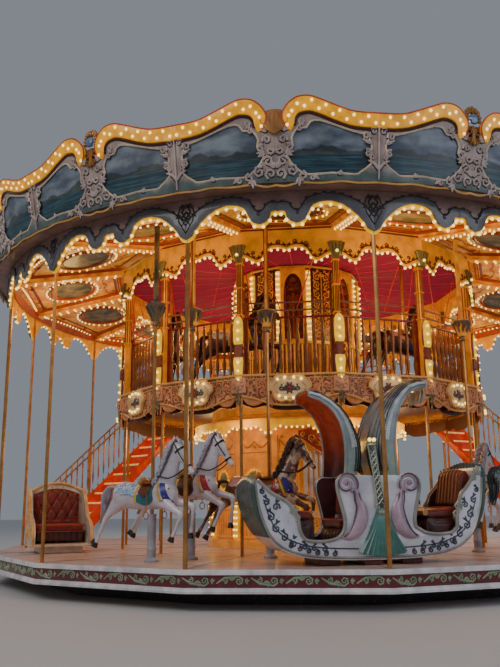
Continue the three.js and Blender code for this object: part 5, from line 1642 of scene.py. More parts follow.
def core_panels(outline, panels):
    """Flat panels filled with scrolls that climb in pairs."""
    panel_lines = []
    for s in (-1, 1):
        for i, z in enumerate((4.07, 4.25, 4.43, 4.61, 4.79, 4.97, 5.12)):
            panel_lines += [volute(s * 0.085, z, 0.078, 90 + 180 * (i % 2), 1.4, s if i % 2 else -s),
                            *leaf(s * 0.05, z + 0.085, 0.06, 90 - s * 40, 2),
                            *leaf(s * 0.15, z + 0.05, 0.05, 90 + s * 30, 2)]
    panel_lines += [[(0, 3.98, 1.0), (0, 5.2, 1.0)], *leaf(0, 5.12, 0.09, 90, 5, 30)]
    scrolls = outwards(relief(panel_lines, 0.013, 1.1), CORE_FACE + 0.022)
    in_bays(scrolls, "upper_core_scrolls", "slat_gold", panels)
    ground = outwards(board([outline], 0.02, 0.004), CORE_FACE)
    in_bays(ground, "upper_core_panels", "skirt_brown", panels)


HEADER_EDGE = [(0, 2.36), (-0.06, 2.385), (-0.12, 2.37), (-0.18, 2.395), (-0.25, 2.39), (-0.31, 2.345),
               (-0.37, 2.30), (-0.4228, 2.285)]


def round_core(piece, radius, spacing=0.12):
    return wrapped(piece, radius, radius, 0, 0, spacing)


def build_lower_core(sizes):
    drum = lathe_ring([(1.55, 0.462), (1.66, 0.462), (1.66, 0.58), (1.60, 0.60), (1.60, 2.48), (1.66, 2.60),
                       (1.60, 2.64), (1.60, 2.858), (1.55, 2.858)], 56)
    complete(drum, "lower_core_drum", "core_orange", stands_for=("lower_core",))
    edge = flow(HEADER_EDGE, 2)
    half = [(0, 2.5), *edge, (-0.4228, 2.5)]
    boards = both_sides(round_core(board([half], 0.02), 1.90))
    in_bays(boards, "lower_header", "header_lit")
    cap = lathe_ring([(1.60, 2.52), (1.92, 2.49), (1.93, 2.52), (1.62, 2.60)], 56)
    complete(cap, "lower_header_cap", "core_orange")
    ring_lamps = [(x, -0.02, z - 0.012) for x, _, z in along([(x, 0, z) for x, z in edge], 0.094, 0.5)]
    bulbs = both_sides(round_core(bulb_string(ring_lamps, sizes.bulb), 1.905, 9.0))
    in_bays(bulbs, "lower_header_bulbs", "bulb_glass")
    lower_walls()
    lower_medallions()
    post = batten((-0.065, -1.66, 0.60), (0.065, -1.59, 1.28), 0.012)
    corners = [turn((k + 0.5) * BAY) for k in range(SIDES) if k != 0]
    in_bays(post, "lower_lamp_posts", "header_lit", corners)
    lamps = [(s * 0.03, -1.67, z) for s in (-1, 1) for z in np.arange(0.66, 1.26, 0.095)]
    in_bays(bulb_string(lamps, sizes.bulb * 0.9), "lower_post_bulbs", "bulb_glass", corners)
    silver = round_core(tubes([[(x, 0, 1.16) for x in np.linspace(-0.36, 0.36, 7)]], 0.012), 1.70, 9.0)
    in_bays(silver, "core_rail", "rail_silver")
    build_organ()


def lower_walls():
    """Garlands on the housing's walls, over a slatted foot between two rails."""
    garlands = []
    for s in (-1, 1):
        garlands += [flow([(0, 2.18, 0.8), (s * 0.09, 2.10, 1.4), (s * 0.18, 2.1, 1.3),
                           (s * 0.27, 2.2, 0.8)], 4), [(s * 0.27, 2.2, 1.2), (s * 0.28, 2.02, 0.5)],
                     volute(s * 0.24, 2.24, 0.03, 90, 1.0, s),
                     [(s * 0.30, 0.66, 0.7), (s * 0.30, 2.28, 0.7)]]
    garlands += [*leaf(0, 2.12, 0.07, 270, 3, 30), [(-0.3, 2.0, 0.6), (0.3, 2.0, 0.6)]]
    swag = round_core(relief(garlands, 0.013, 1.0), 1.605)
    in_bays(swag, "lower_garlands", "garland")
    slats = [[(x, 0.64), (x, 1.06)] for x in np.linspace(-0.26, 0.26, 8)]
    rows = round_core(relief(slats, 0.016, 1.0), 1.62)
    rail = [round_core(batten((-0.36, -0.03, z), (0.36, 0.0, z + 0.035), 0.008), 1.605, 0.1)
            for z in (0.62, 1.08)]
    in_bays(merged(rows, *rail), "lower_slats", "core_orange")


def lower_medallions():
    """A domed medallion in a ring of beads on each wall but the organ's two."""
    beads = []
    for i in range(16):
        a = 2 * math.pi * i / 16
        beads.append(sphere(0.03, (0.155 * math.cos(a), -1.625, MEDALLION_UP + 0.155 * math.sin(a)),
                            (1, 0.5, 1), 6, 4))
    medal_bays = [k for k in range(SIDES) if k not in (0, 1)]
    in_bays(merged(*beads), "medallion_rings", "header_lit", bays(medal_bays))
    choose_none()
    bpy.ops.mesh.primitive_uv_sphere_add(segments=20, ring_count=10, radius=0.135,
                                         location=(0, -1.61, MEDALLION_UP))
    bpy.context.object.scale = (1, 0.22, 1)
    in_bays(settle(bpy.context.object), "medallions", "medallion_green", bays(medal_bays))


def build_organ():
    face = 1.66 + 0.26
    chest = batten((-0.42, -face, 0.462), (0.42, -1.60, 1.22), 0.012)
    top = batten((-0.44, -face - 0.02, 1.20), (0.44, -1.60, 1.245), 0.01)
    case_back = block((-0.34, -1.72, 1.2), (0.34, -1.62, 2.25))
    in_bays(merged(chest, top, case_back), "organ_case", "core_orange", [turn(HALF_BAY)],
            stands_for=("organ_front",))
    pipes = []
    for i in range(7):
        drop = 0.07 * abs(i - 3)
        pipes.append(lathe([(0.001, 1.245), (0.02, 1.245), (0.034, 1.36), (0.034, 2.10 - drop),
                            (0.03, 2.13 - drop)], 10, 0.084 * (i - 3), -1.79))
    in_bays(merged(*pipes), "organ_pipes", "pipe_silver", [turn(HALF_BAY)])
    head_line = flow([(-0.36, 2.20), (-0.22, 2.09), (-0.06, 1.98), (0, 1.95), (0.06, 1.98), (0.22, 2.09),
                      (0.36, 2.20)], 3)
    head = outwards(board([[*head_line, (0.36, 2.31), (0.12, 2.36), (0, 2.34), (-0.12, 2.36),
                            (-0.36, 2.31)]], 0.07, 0.008), 1.80)
    in_bays(head, "organ_head", "organ_red", [turn(HALF_BAY)])
    strokes = [[(x, z, 1.0) for x, z in head_line], *leaf(0, 2.06, 0.14, 90, 5, 30)]
    for s in (-1, 1):
        strokes += [volute(s * 0.15, 2.19, 0.07, 270, 1.3, s), volute(s * 0.29, 2.25, 0.045, 270, 1.2, s),
                    volute(s * 0.26, 1.06, 0.08, 90, 1.4, s), volute(s * 0.13, 0.9, 0.08, 270, 1.4, -s),
                    volute(s * 0.27, 0.72, 0.08, 90, 1.4, -s)]
    carving = merged(outwards(relief(strokes[:1] + strokes[1:6] + [s for s in strokes[6:] if s[0][1] > 1.5],
                                     0.015, 1.0), 1.875),
                     outwards(relief([s for s in strokes[6:] if s[0][1] < 1.5], 0.015, 1.0), face + 0.004))
    in_bays(carving, "organ_scrolls", "garland", [turn(HALF_BAY)])
    slats = [batten((x - 0.02, -face - 0.02, 0.52), (x + 0.02, -face + 0.01, 1.14), 0.006)
             for x in (-0.38, 0, 0.38)]
    in_bays(merged(*slats), "organ_pilasters", "header_lit", [turn(HALF_BAY)])


# Platform


def build_platform():
    half = SKIRT_R * math.sin(HALF_BAY)
    line = SKIRT_R * FLAT
    strokes = []
    units = 6
    wide = 2 * half / units
    for i in range(units):
        x = -half + wide * (i + 0.5)
        flip = 1 if i % 2 else -1
        strokes += [volute(x + 0.06, 0.335, 0.05, 90 * flip, 1.4, -flip),
                    volute(x - 0.1, 0.345, 0.035, -90 * flip, 1.2, flip),
                    [(x - wide / 2, 0.34 - 0.03 * flip, 0.7), (x - 0.1, 0.34 + 0.03 * flip, 1.3),
                     (x + 0.06, 0.335 + 0.05 * flip, 1.0)], *leaf(x - 0.02, 0.34, 0.07, 90 * flip, 3, 40),
                    *leaf(x + 0.13, 0.335, 0.05, 0, 3, 40)]
    scrolls = outwards(relief(strokes, 0.011, 1.0), line + 0.004)
    in_bays(scrolls, "skirt_scrolls", "skirt_scroll")
    face = bay_ring([(5.21, 0.24), (5.281, 0.262), (5.281, 0.4005), (5.21, 0.4005)])
    complete(face, "skirt_face", "skirt_maroon", stands_for=("platform_skirt",))
    foot = bay_ring([(5.25, 0.20), (5.315, 0.20), (5.318, 0.225), (5.30, 0.25), (5.285, 0.262),
                     (5.25, 0.262)])
    lip = bay_ring([(5.29, 0.402), (5.308, 0.402), (5.312, 0.43), (5.308, 0.459), (5.29, 0.4605)])
    complete(merged(foot, lip), "platform_edges", "lip_white")
    seams = block((-0.004, -5.16, PLATFORM_TOP), (0.004, -1.7, PLATFORM_TOP + 0.0025))
    in_bays(seams, "platform_seams", "base_dark", CORNERS)


# Stairs

STAIR_INNER, STAIR_OUTER, STAIR_FOOT, LANDING_FROM, LANDING_TO = 3.33, 4.09, 2.59, -0.06, -0.715
STAIR_RISE = (DECK_TOP - PLATFORM_TOP) / 13
STAIR_GOING = (STAIR_FOOT - LANDING_FROM) / 12


def nosing(x):
    return PLATFORM_TOP + STAIR_RISE * (1 + (STAIR_FOOT - x) / STAIR_GOING)


HANDRAIL_OUT = STAIR_OUTER - 0.025


def stair_frame():
    """Both strings with a rail along their tops."""
    reach = ((nosing(STAIR_FOOT) - 0.26 - PLATFORM_TOP) / STAIR_RISE) * STAIR_GOING
    string = [(STAIR_FOOT + 0.06, PLATFORM_TOP + 0.002),
              (STAIR_FOOT + 0.06, nosing(STAIR_FOOT + 0.06) + 0.04), (LANDING_FROM, DECK_TOP),
              (LANDING_TO, DECK_TOP), (LANDING_TO, DECK_TOP - 0.16), (LANDING_FROM + 0.04, DECK_TOP - 0.16),
              (STAIR_FOOT + reach, PLATFORM_TOP + 0.002)]
    sides = [outwards(board([string], 0.05, 0.006), out - 0.05) for out in (STAIR_INNER + 0.05, STAIR_OUTER)]
    rails = [tubes([[(STAIR_FOOT + 0.06, -y, nosing(STAIR_FOOT + 0.06) + 0.045),
                     (LANDING_FROM, -y, DECK_TOP + 0.008)]], 0.022)
             for y in (STAIR_INNER + 0.025, STAIR_OUTER - 0.025)]
    return [*sides, *rails]


def stair_steps():
    """Treads and the risers between them."""
    risers = []
    treads = []
    for i in range(12):
        front = STAIR_FOOT - i * STAIR_GOING
        top = PLATFORM_TOP + (i + 1) * STAIR_RISE
        treads.append(batten((front - STAIR_GOING - 0.015, -STAIR_OUTER + 0.04, top - 0.035),
                             (front, -STAIR_INNER - 0.04, top + 0.001), 0.006))
        risers.append(block((front - STAIR_GOING + 0.005, -STAIR_OUTER + 0.045, top),
                            (front - STAIR_GOING + 0.02, -STAIR_INNER - 0.045, top + STAIR_RISE - 0.036)))
    return treads, risers


def stair_balusters():
    post = lathe([(0.011, 0.0), (0.019, 0.05), (0.010, 0.12), (0.016, 0.24), (0.021, 0.34), (0.011, 0.46),
                  (0.018, 0.55), (0.011, 0.62), (0.02, 0.76), (0.012, 0.9), (0.011, 0.99)], 6)
    places = [at(x, -HANDRAIL_OUT, min(nosing(x), DECK_TOP) + 0.03)
              for x in np.arange(STAIR_FOOT + 0.03, LANDING_TO, -0.125)]
    places += [at(LANDING_TO + 0.025, -y, DECK_TOP + 0.03) for y in np.arange(3.46, 4.0, 0.12)]
    return spread(post, places)


def stair_handrail():
    """A handrail and a second rail under it, up the stair and round its landing."""
    rail_lines = []
    for height in (1.0, 0.86):
        rail_lines.append([(STAIR_FOOT + 0.08, -HANDRAIL_OUT, nosing(STAIR_FOOT + 0.08) + height),
                           (LANDING_FROM, -HANDRAIL_OUT, DECK_TOP + height),
                           (LANDING_TO + 0.025, -HANDRAIL_OUT, DECK_TOP + height),
                           (LANDING_TO + 0.025, -3.42, DECK_TOP + height)])
    return tubes(rail_lines, 0.019, 2)


def build_stairs():
    """The same stair twice, mirrored, with its landing on the deck's edge."""
    frame_parts = stair_frame()
    treads, risers = stair_steps()
    floor = batten((LANDING_TO + 0.003, -STAIR_OUTER + 0.02, 2.90),
                   (LANDING_FROM, -DECK_R * FLAT - 0.002, DECK_TOP + 0.001), 0.006)
    red = merged(*frame_parts, *risers)
    lit = merged(*treads, floor)
    posts = stair_balusters()
    hand = stair_handrail()
    for where, place in (("left", turn(-STAIR_BAY * BAY)), ("right", turn(STAIR_BAY * BAY) @ MIRROR_X)):
        in_bays(copied(red), "stair_" + where + "_strings", "stair_red_paint", [place],
                stands_for=("stair_" + where,))
        in_bays(copied(lit), "stair_" + where + "_treads", "tread_cream", [place])
        in_bays(copied(posts), "stair_" + where + "_balusters", "brass", [place],
                stands_for=("stair_balustrade_" + where,))
        in_bays(copied(hand), "stair_" + where + "_handrail", "rail_silver", [place])
    for one in (red, lit, posts, hand):
        bpy.data.objects.remove(one)


# Horses

TRUNK = [(-0.60, 0, 0.235, 0.075, 0.085), (-0.54, 0, 0.215, 0.14, 0.145), (-0.42, 0, 0.19, 0.165, 0.17),
         (-0.25, 0, 0.165, 0.158, 0.158), (-0.08, 0, 0.155, 0.15, 0.15), (0.08, 0, 0.165, 0.152, 0.16),
         (0.19, 0, 0.19, 0.145, 0.175), (0.30, 0, 0.235, 0.105, 0.14), (0.37, 0, 0.27, 0.055, 0.08)]
NECK = [(0.14, 0, 0.22, 0.10, 0.16), (0.24, 0, 0.37, 0.08, 0.135), (0.30, 0, 0.50, 0.064, 0.112),
        (0.345, 0, 0.63, 0.052, 0.092), (0.38, 0, 0.75, 0.045, 0.074), (0.40, 0, 0.83, 0.04, 0.055)]
HEAD = [(0.34, 0, 0.84, 0.035, 0.045), (0.41, 0, 0.775, 0.056, 0.082), (0.47, 0, 0.69, 0.052, 0.076),
        (0.53, 0, 0.60, 0.039, 0.055), (0.585, 0, 0.52, 0.034, 0.043), (0.625, 0, 0.475, 0.036, 0.037),
        (0.645, 0, 0.452, 0.02, 0.02)]
LEGS = [
    [(0.19, 0.075, 0.13, 0.06, 0.09), (0.36, 0.085, 0.10, 0.054, 0.062), (0.50, 0.085, 0.068, 0.040, 0.045),
     (0.582, 0.085, 0.045, 0.042, 0.045), (0.588, 0.085, -0.04, 0.028, 0.031),
     (0.574, 0.085, -0.17, 0.023, 0.026),
     (0.563, 0.085, -0.24, 0.030, 0.032), (0.558, 0.085, -0.295, 0.025, 0.028)],
    [(0.19, -0.075, 0.12, 0.06, 0.09), (0.34, -0.085, 0.05, 0.054, 0.062),
     (0.46, -0.085, -0.02, 0.040, 0.045),
     (0.522, -0.085, -0.06, 0.042, 0.045), (0.482, -0.085, -0.15, 0.028, 0.031),
     (0.432, -0.085, -0.25, 0.023, 0.026),
     (0.405, -0.085, -0.305, 0.030, 0.032), (0.385, -0.085, -0.34, 0.025, 0.028)],
    [(-0.45, 0.08, 0.16, 0.075, 0.12), (-0.60, 0.09, 0.07, 0.062, 0.082), (-0.74, 0.09, -0.02, 0.043, 0.05),
     (-0.845, 0.09, -0.094, 0.038, 0.044), (-0.90, 0.09, -0.18, 0.027, 0.030),
     (-0.97, 0.09, -0.30, 0.024, 0.026),
     (-1.005, 0.09, -0.355, 0.030, 0.032), (-1.03, 0.09, -0.40, 0.025, 0.028)],
    [(-0.45, -0.08, 0.15, 0.075, 0.12), (-0.56, -0.09, 0.05, 0.062, 0.082),
     (-0.655, -0.09, -0.05, 0.043, 0.05),
     (-0.715, -0.09, -0.13, 0.038, 0.044), (-0.76, -0.09, -0.22, 0.027, 0.030),
     (-0.82, -0.09, -0.34, 0.024, 0.026),
     (-0.845, -0.09, -0.39, 0.030, 0.032), (-0.862, -0.09, -0.425, 0.025, 0.028)],
]
HOOVES = [((0.557, 0.085, -0.285), (0.553, 0.085, -0.352)),
          ((0.389, -0.085, -0.328), (0.362, -0.085, -0.385)),
          ((-1.025, 0.09, -0.388), (-1.062, 0.09, -0.442)),
          ((-0.858, -0.09, -0.415), (-0.888, -0.09, -0.468))]
CREST = [(0.37, 0.905), (0.335, 0.865), (0.30, 0.785), (0.25, 0.675), (0.19, 0.555), (0.12, 0.43),
         (0.05, 0.345)]
BELLY_LOW = 1.07
COAT_SHARE = 0.23
JUMPERS = [(-24, 4.42, 0.04), (-20.2, 3.90, 0.15), (-5, 3.45, 0.11), (46.5, 4.42, 0.23), (48, 3.55, 0.06),
           (156, 4.40, 0.09), (180, 4.40, 0.23), (204, 4.40, 0.02)]
DECK_HORSES = [-18, 48, -62, 180]
DECK_HORSE_R = 2.48
DRESSES = [
    {},
    {"blanket_blue": "cloth_teal", "strap_blue": "strap_red", "cloth_teal": "saddle_brown"},
    {"horse_grey": "horse_patched", "mane_grey": "mane_brown", "blanket_blue": "blanket_pink",
     "cloth_teal": "strap_red"},
    {"strap_blue": "strap_black", "strap_yellow": "strap_blue", "mane_grey": "hoof_black"},
    {"blanket_blue": "blanket_pink", "cloth_teal": "strap_blue"},
    {"horse_grey": "horse_chestnut", "mane_grey": "mane_brown", "blanket_blue": "cloth_teal"},
]


def slopes(line):
    out = []
    for i in range(len(line)):
        a, b = line[max(i - 1, 0)], line[min(i + 1, len(line) - 1)]
        out.append(math.atan2(b[2] - a[2], b[0] - a[0]))
    return out


def body_loft(stations, sides=12, steps=3):
    """A closed oval body through stations of (x, y, z, half width, half height)."""
    line = flow(stations, steps)
    verts, faces = [], []
    for (x, y, z, wide, tall), slope in zip(line, slopes(line)):
        for k in range(sides):
            angle = 2 * math.pi * (k + 0.5) / sides
            up = math.sin(angle) * tall
            verts.append((x - up * math.sin(slope), y + math.cos(angle) * wide, z + up * math.cos(slope)))
    for i in range(len(line) - 1):
        for k in range(sides):
            a, b = i * sides + k, i * sides + (k + 1) % sides
            faces.append((a, b, b + sides, a + sides))
    faces.append(tuple(reversed(range(sides))))
    last = (len(line) - 1) * sides
    faces.append(tuple(range(last, last + sides)))
    return closed(from_data("body", verts, faces))


def mantle(stations, start, stop, reach, grow, thick, rows=10, columns=14, dip=None):
    """A cloth or strap over a body: from one share of its length to another, down to an angle each side."""
    line = flow(stations, 6)
    angles = slopes(line)
    verts, faces = [], []
    for i in range(rows + 1):
        share = i / rows
        place = (start + (stop - start) * share) * (len(line) - 1)
        low = min(int(place), len(line) - 2)
        t = place - low
        x, y, z, wide, tall = (np.array(line[low]) * (1 - t) + np.array(line[low + 1]) * t)
        slope = angles[low] * (1 - t) + angles[low + 1] * t
        far = reach + (dip(share) if dip else 0)
        for k in range(columns + 1):
            angle = math.radians(far) * (2 * k / columns - 1)
            up = math.cos(angle) * (tall + grow)
            across = math.sin(angle) * (wide + grow)
            verts.append((x - up * math.sin(slope), y + across, z + up * math.cos(slope)))
    for i in range(rows):
        for k in range(columns):
            a = i * (columns + 1) + k
            faces.append((a, a + 1, a + columns + 2, a + columns + 1))
    return applied(from_data("mantle", verts, faces), "SOLIDIFY", thickness=thick, offset=1)


def hoof(top, bottom):
    top, bottom = Vector(top), Vector(bottom)
    choose_none()
    bpy.ops.mesh.primitive_cone_add(vertices=12, radius1=0.046, radius2=0.031, depth=(top - bottom).length,
                                    location=(top + bottom) / 2)
    piece = bpy.context.object
    piece.rotation_euler = (top - bottom).to_track_quat("Z", "Y").to_euler()
    return settle(piece)


def horse_coat():
    """The horse's own body: lofts joined, remeshed into one skin and smoothed."""
    parts = [body_loft(TRUNK, 16), body_loft(NECK, 14), body_loft(HEAD, 14),
             *[body_loft(leg) for leg in LEGS]]
    for s in (-1, 1):
        parts += [sphere(0.05, (0.425, s * 0.022, 0.715), (1.0, 0.7, 1.1), 12, 8),
                  sphere(0.105, (0.20, s * 0.072, 0.16), (1.0, 0.7, 1.25), 12, 8),
                  sphere(0.125, (-0.45, s * 0.075, 0.19), (1.15, 0.75, 1.2), 12, 8),
                  sphere(0.016, (0.447, s * 0.052, 0.765), (1.2, 0.7, 0.9), 8, 6),
                  sphere(0.014, (0.625, s * 0.026, 0.492), (1, 1, 1), 8, 6)]
        ear = sphere(0.03, (0.362, s * 0.034, 0.915), (0.55, 0.5, 1.7), 8, 6)
        parts.append(ear)
    coat = merged(*parts)
    applied(coat, "REMESH", mode="VOXEL", voxel_size=0.0155)
    applied(coat, "SMOOTH", factor=0.6, iterations=5)
    applied(coat, "DECIMATE", ratio=COAT_SHARE)
    return dressed(coat, "horse_grey")


def horse_hair():
    crest = flow([(x, 0, z) for x, z in CREST], 4)
    locks = []
    for i, (x, _, z) in enumerate(crest):
        for s in (-1, 1):
            sway = 0.02 * math.sin(i * 2.1)
            locks.append(flow([(x, s * 0.008, z + 0.004, 1.0), (x - 0.03 + sway, s * 0.05, z - 0.03, 1.25),
                               (x - 0.05 + sway, s * 0.078, z - 0.085, 1.0),
                               (x - 0.03, s * 0.082, z - 0.135, 0.3)], 2))
    locks += [flow([(0.38, s * 0.01, 0.915, 1.0), (0.43, s * 0.03, 0.88, 1.1),
                    (0.465, s * 0.03, 0.82, 0.4)], 2) for s in (-1, 0, 1)]
    for i in range(9):
        side = (i - 4) / 4
        wave = 0.03 * math.sin(i * 1.7)
        locks.append(flow([(-0.57, side * 0.02, 0.29, 1.2), (-0.70, side * 0.045, 0.30, 2.0),
                           (-0.775 - wave, side * 0.06, 0.18, 2.2), (-0.80 + wave, side * 0.055, 0.0, 1.8),
                           (-0.845 - wave, side * 0.03, -0.17, 0.4)], 3))
    return dressed(tubes(locks, 0.0135), "mane_grey")


def horse_tack():
    parts = [dressed(hoof(*ends), "hoof_black") for ends in HOOVES]
    rump = mantle(TRUNK, 0.10, 0.47, 74, 0.014, 0.007, dip=lambda t: 9 * abs(math.sin(3 * math.pi * t)))
    parts.append(dressed(rump, "blanket_blue"))
    hem = mantle(TRUNK, 0.095, 0.125, 80, 0.017, 0.009, 3)
    parts.append(dressed(hem, "strap_yellow"))
    cloth_under = mantle(TRUNK, 0.44, 0.66, 100, 0.012, 0.008, dip=lambda t: 28 * math.sin(math.pi * t))
    parts.append(dressed(cloth_under, "cloth_teal"))
    cloth_edge = mantle(TRUNK, 0.425, 0.455, 112, 0.016, 0.009, 3)
    parts.append(dressed(cloth_edge, "strap_yellow"))
    flap = mantle(TRUNK, 0.47, 0.62, 70, 0.024, 0.010, dip=lambda t: 18 * math.sin(math.pi * t))
    parts.append(dressed(flap, "saddle_brown"))
    seat = [sphere(0.1, (-0.01, 0, 0.335), (1.45, 1.0, 0.32), 14, 8),
            sphere(0.1, (0.125, 0, 0.372), (0.35, 0.62, 0.6), 12, 8)]
    parts.append(dressed(merged(*seat), "saddle_brown"))
    parts.append(dressed(sphere(0.1, (-0.15, 0, 0.365), (0.42, 1.12, 0.62), 14, 8), "cantle_tan"))
    breast = mantle(TRUNK, 0.80, 0.88, 165, 0.014, 0.009, 4, 20)
    parts.append(dressed(breast, "strap_blue"))
    second = mantle(TRUNK, 0.745, 0.775, 172, 0.014, 0.008, 3, 20)
    parts.append(dressed(second, "strap_yellow"))
    bands = [mantle(HEAD, a, a + 0.045, 172, 0.004, 0.006, 2, 18) for a in (0.20, 0.60)]
    parts.append(dressed(merged(*bands), "strap_black"))
    reins = []
    for s in (-1, 1):
        reins += [flow([(0.375, s * 0.055, 0.85), (0.455, s * 0.066, 0.72), (0.545, s * 0.05, 0.585)], 3),
                  flow([(0.575, s * 0.048, 0.545), (0.47, s * 0.075, 0.46), (0.33, s * 0.10, 0.40),
                        (0.16, s * 0.085, 0.43), (0.06, s * 0.03, 0.415)], 4)]
    parts.append(dressed(tubes(reins, 0.0085), "strap_black"))
    irons = []
    for s in (-1, 1):
        irons.append(flow([(0.05, s * 0.19, 0.20), (0.055, s * 0.20, 0.05), (0.055, s * 0.20, -0.02)], 2))
        loop = [(0.055 + 0.04 * math.cos(a), s * 0.20, -0.065 + 0.045 * math.sin(a))
                for a in np.linspace(math.pi / 2, 2.5 * math.pi, 11)]
        irons.append(loop)
    parts.append(dressed(tubes(irons, 0.007), "brass"))
    studs = [sphere(0.013, (0.28 + 0.02 * i, s * (0.128 - 0.022 * i), 0.17 + 0.05 * i), (1, 1, 1), 8, 6)
             for s in (-1, 1) for i in range(-1, 3)]
    parts.append(dressed(merged(*studs), "brass"))
    return parts


def build_horses():
    model = merged(horse_coat(), horse_hair(), *horse_tack())
    for i, (azimuth, radius, lift) in enumerate(JUMPERS):
        place = turn(math.radians(azimuth)) @ at(0, -radius, BELLY_LOW + lift)
        dress = DRESSES[i] if i < 4 else DRESSES[(i * 3) % 6]
        number = str(i + 1)
        stand(model, "horse_shape_" + number, place, dress, "jumper_" + number, "horse_" + number)
    for i, azimuth in enumerate(DECK_HORSES):
        pole = dressed(lathe([(0.08, -0.558), (0.08, -0.54), (0.024, -0.50), (0.024, 1.68)], 12), "brass")
        both = merged(copied(model), pole)
        place = turn(math.radians(azimuth)) @ at(0, -DECK_HORSE_R, DECK_TOP + 0.56)
        # Painted shade: the deck horses take a dark brown coat and mane for the dim deck, on the same model
        # as the ride's horses.
        dress = {"horse_grey": "deck_horse_shaded", "mane_grey": "mane_brown", **(DRESSES[4] if i % 2 else {})}
        stand(both, "deck_horse_shape_" + str(i + 1), place, dress, "carousel", "deck_horse_" + str(i + 1))
        bpy.data.objects.remove(both)
    bpy.data.objects.remove(model)


def stand(model, name, place, dress, body, node):
    """Sets a copy of a many-coloured model at its place, in its own colours."""
    piece = spread_mixed(copied(model), place)
    piece.name = name
    piece.data.name = name
    for slot in piece.material_slots:
        if slot.material.name in dress:
            slot.material = bpy.data.materials[dress[slot.material.name]]
    choose(piece)
    bpy.ops.object.shade_smooth_by_angle(angle=math.radians(50))
    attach(piece, body)
    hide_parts(node)
    return piece


def spread_mixed(piece, place):
    """Moves a piece's own points by a matrix and keeps its materials."""
    piece.data.transform(place)
    if place.determinant() < 0:
        piece.data.flip_normals()
    return piece


def build_poles():
    """Carved cups and tube sleeves on the horses' poles."""
    cup = lathe([(0.036, 3.665), (0.056, 3.69), (0.06, 3.72), (0.072, 3.745), (0.094, 3.79), (0.118, 3.84),
                 (0.134, 3.86), (0.136, 3.888), (0.11, 3.898), (0.045, 3.899)], 16)
    knob = lathe([(0.03, 3.58), (0.042, 3.60), (0.034, 3.63), (0.04, 3.66), (0.034, 3.675)], 12)
    leaves = []
    for k in range(8):
        angle = 2 * math.pi * k / 8
        cos, sin = math.cos(angle), math.sin(angle)
        leaves.append([(cos * r, sin * r, z, share)
                       for r, z, share in ((0.068, 3.715, 0.8), (0.088, 3.76, 1.5), (0.116, 3.815, 1.2),
                                           (0.140, 3.862, 0.6))])
    model = merged(cup, knob, tubes([flow(line, 3) for line in leaves], 0.014))
    places = [turn(math.radians(a)) @ at(0, -r, 0) for a, r, _ in JUMPERS]
    in_bays(model, "pole_cups", "pewter", places)
    foot = lathe([(0.0958, 0.462), (0.0975, 0.47), (0.0965, 0.487), (0.072, 0.502), (0.0575, 0.52),
                  (0.0572, 0.60), (0.064, 0.61), (0.064, 0.63), (0.0572, 0.64), (0.0572, 1.03),
                  (0.061, 1.04), (0.061, 1.061), (0.034, 1.0615)], 16)
    in_bays(foot, "pole_sleeves", "sleeve_white", places)


# Sleigh

SLEIGH_PLACE = turn(math.radians(12)) @ at(0, -4.30, 0) @ turn(math.radians(5.5))
RIGHT_HOOD_SHARE = 1.14
HULL_SIDE = 0.45
HULL_TOP = [(0.0, 1.50), (0.30, 1.505), (0.38, 1.50), (0.435, 1.44), (0.44, 1.33), (0.395, 1.15),
            (0.36, 0.98), (0.38, 0.86), (0.46, 0.775), (0.60, 0.745), (0.74, 0.745), (0.85, 0.77),
            (0.91, 0.87), (0.935, 1.02), (1.01, 1.15), (1.12, 1.235), (1.24, 1.30), (1.34, 1.385),
            (1.405, 1.45)]
HULL_LOW = [(1.44, 1.44), (1.425, 1.28), (1.39, 1.10), (1.33, 0.92), (1.25, 0.77), (1.12, 0.655),
            (0.94, 0.585), (0.76, 0.55), (0.50, 0.53), (0.25, 0.522), (0.0, 0.52)]
WELL = [(1.39, 1.42), (1.372, 1.28), (1.335, 1.12), (1.235, 0.90), (1.065, 0.738), (0.90, 0.66),
        (0.76, 0.605), (0.13, 0.60)]
HOOD_OUT = [(0.13, 1.502), (0.085, 1.62), (0.065, 1.75), (0.075, 1.89), (0.12, 2.02), (0.195, 2.19),
            (0.30, 2.33), (0.435, 2.445), (0.58, 2.53), (0.73, 2.568), (0.865, 2.57)]
HOOD_IN = [(0.335, 1.502), (0.325, 1.62), (0.318, 1.75), (0.32, 1.87), (0.335, 2.00), (0.37, 2.14),
           (0.43, 2.255), (0.505, 2.345), (0.60, 2.42), (0.73, 2.47), (0.85, 2.49)]
HOOD_HALF = [0.445, 0.447, 0.448, 0.448, 0.446, 0.44, 0.425, 0.40, 0.36, 0.31, 0.25]


def share01(value):
    return min(1.0, max(0.0, value))


def prow_rise(x, z):
    """How much taller the right prow stands than the left at a place."""
    return 0.38 * max(0.0, x - 1.01) * share01((z - 1.10) / 0.25)


def drawn_out(line):
    """A line of the left half, moved on the right to its wider neck, shifted opening and taller prow."""
    out = []
    for x, z, *rest in line:
        shift = 0.16 * share01((1.15 - x) / 0.25) * share01(x / 0.36)
        rise = 0.06 * share01((0.90 - z) / 0.10) * share01((z - 0.72) / 0.02)
        out.append((x + shift, z + rise + prow_rise(x, z), *rest))
    return out


def two_halves(make, line):
    """A piece made from a line on the left, and from the same line drawn out on the right."""
    left = spread(make(line), [MIRROR_X])
    return merged(left, make(drawn_out(line)))


def in_sleigh(piece, name, finish, angle=35, stands_for=()):
    in_bays(piece, name, finish, [SLEIGH_PLACE], angle=angle, stands_for=stands_for)


def both_faces(piece):
    """A relief on the sleigh's outer side and the same on its inner side."""
    return spread(piece, [at(0, -HULL_SIDE, 0), at(0, HULL_SIDE, 0) @ MIRROR_Y])


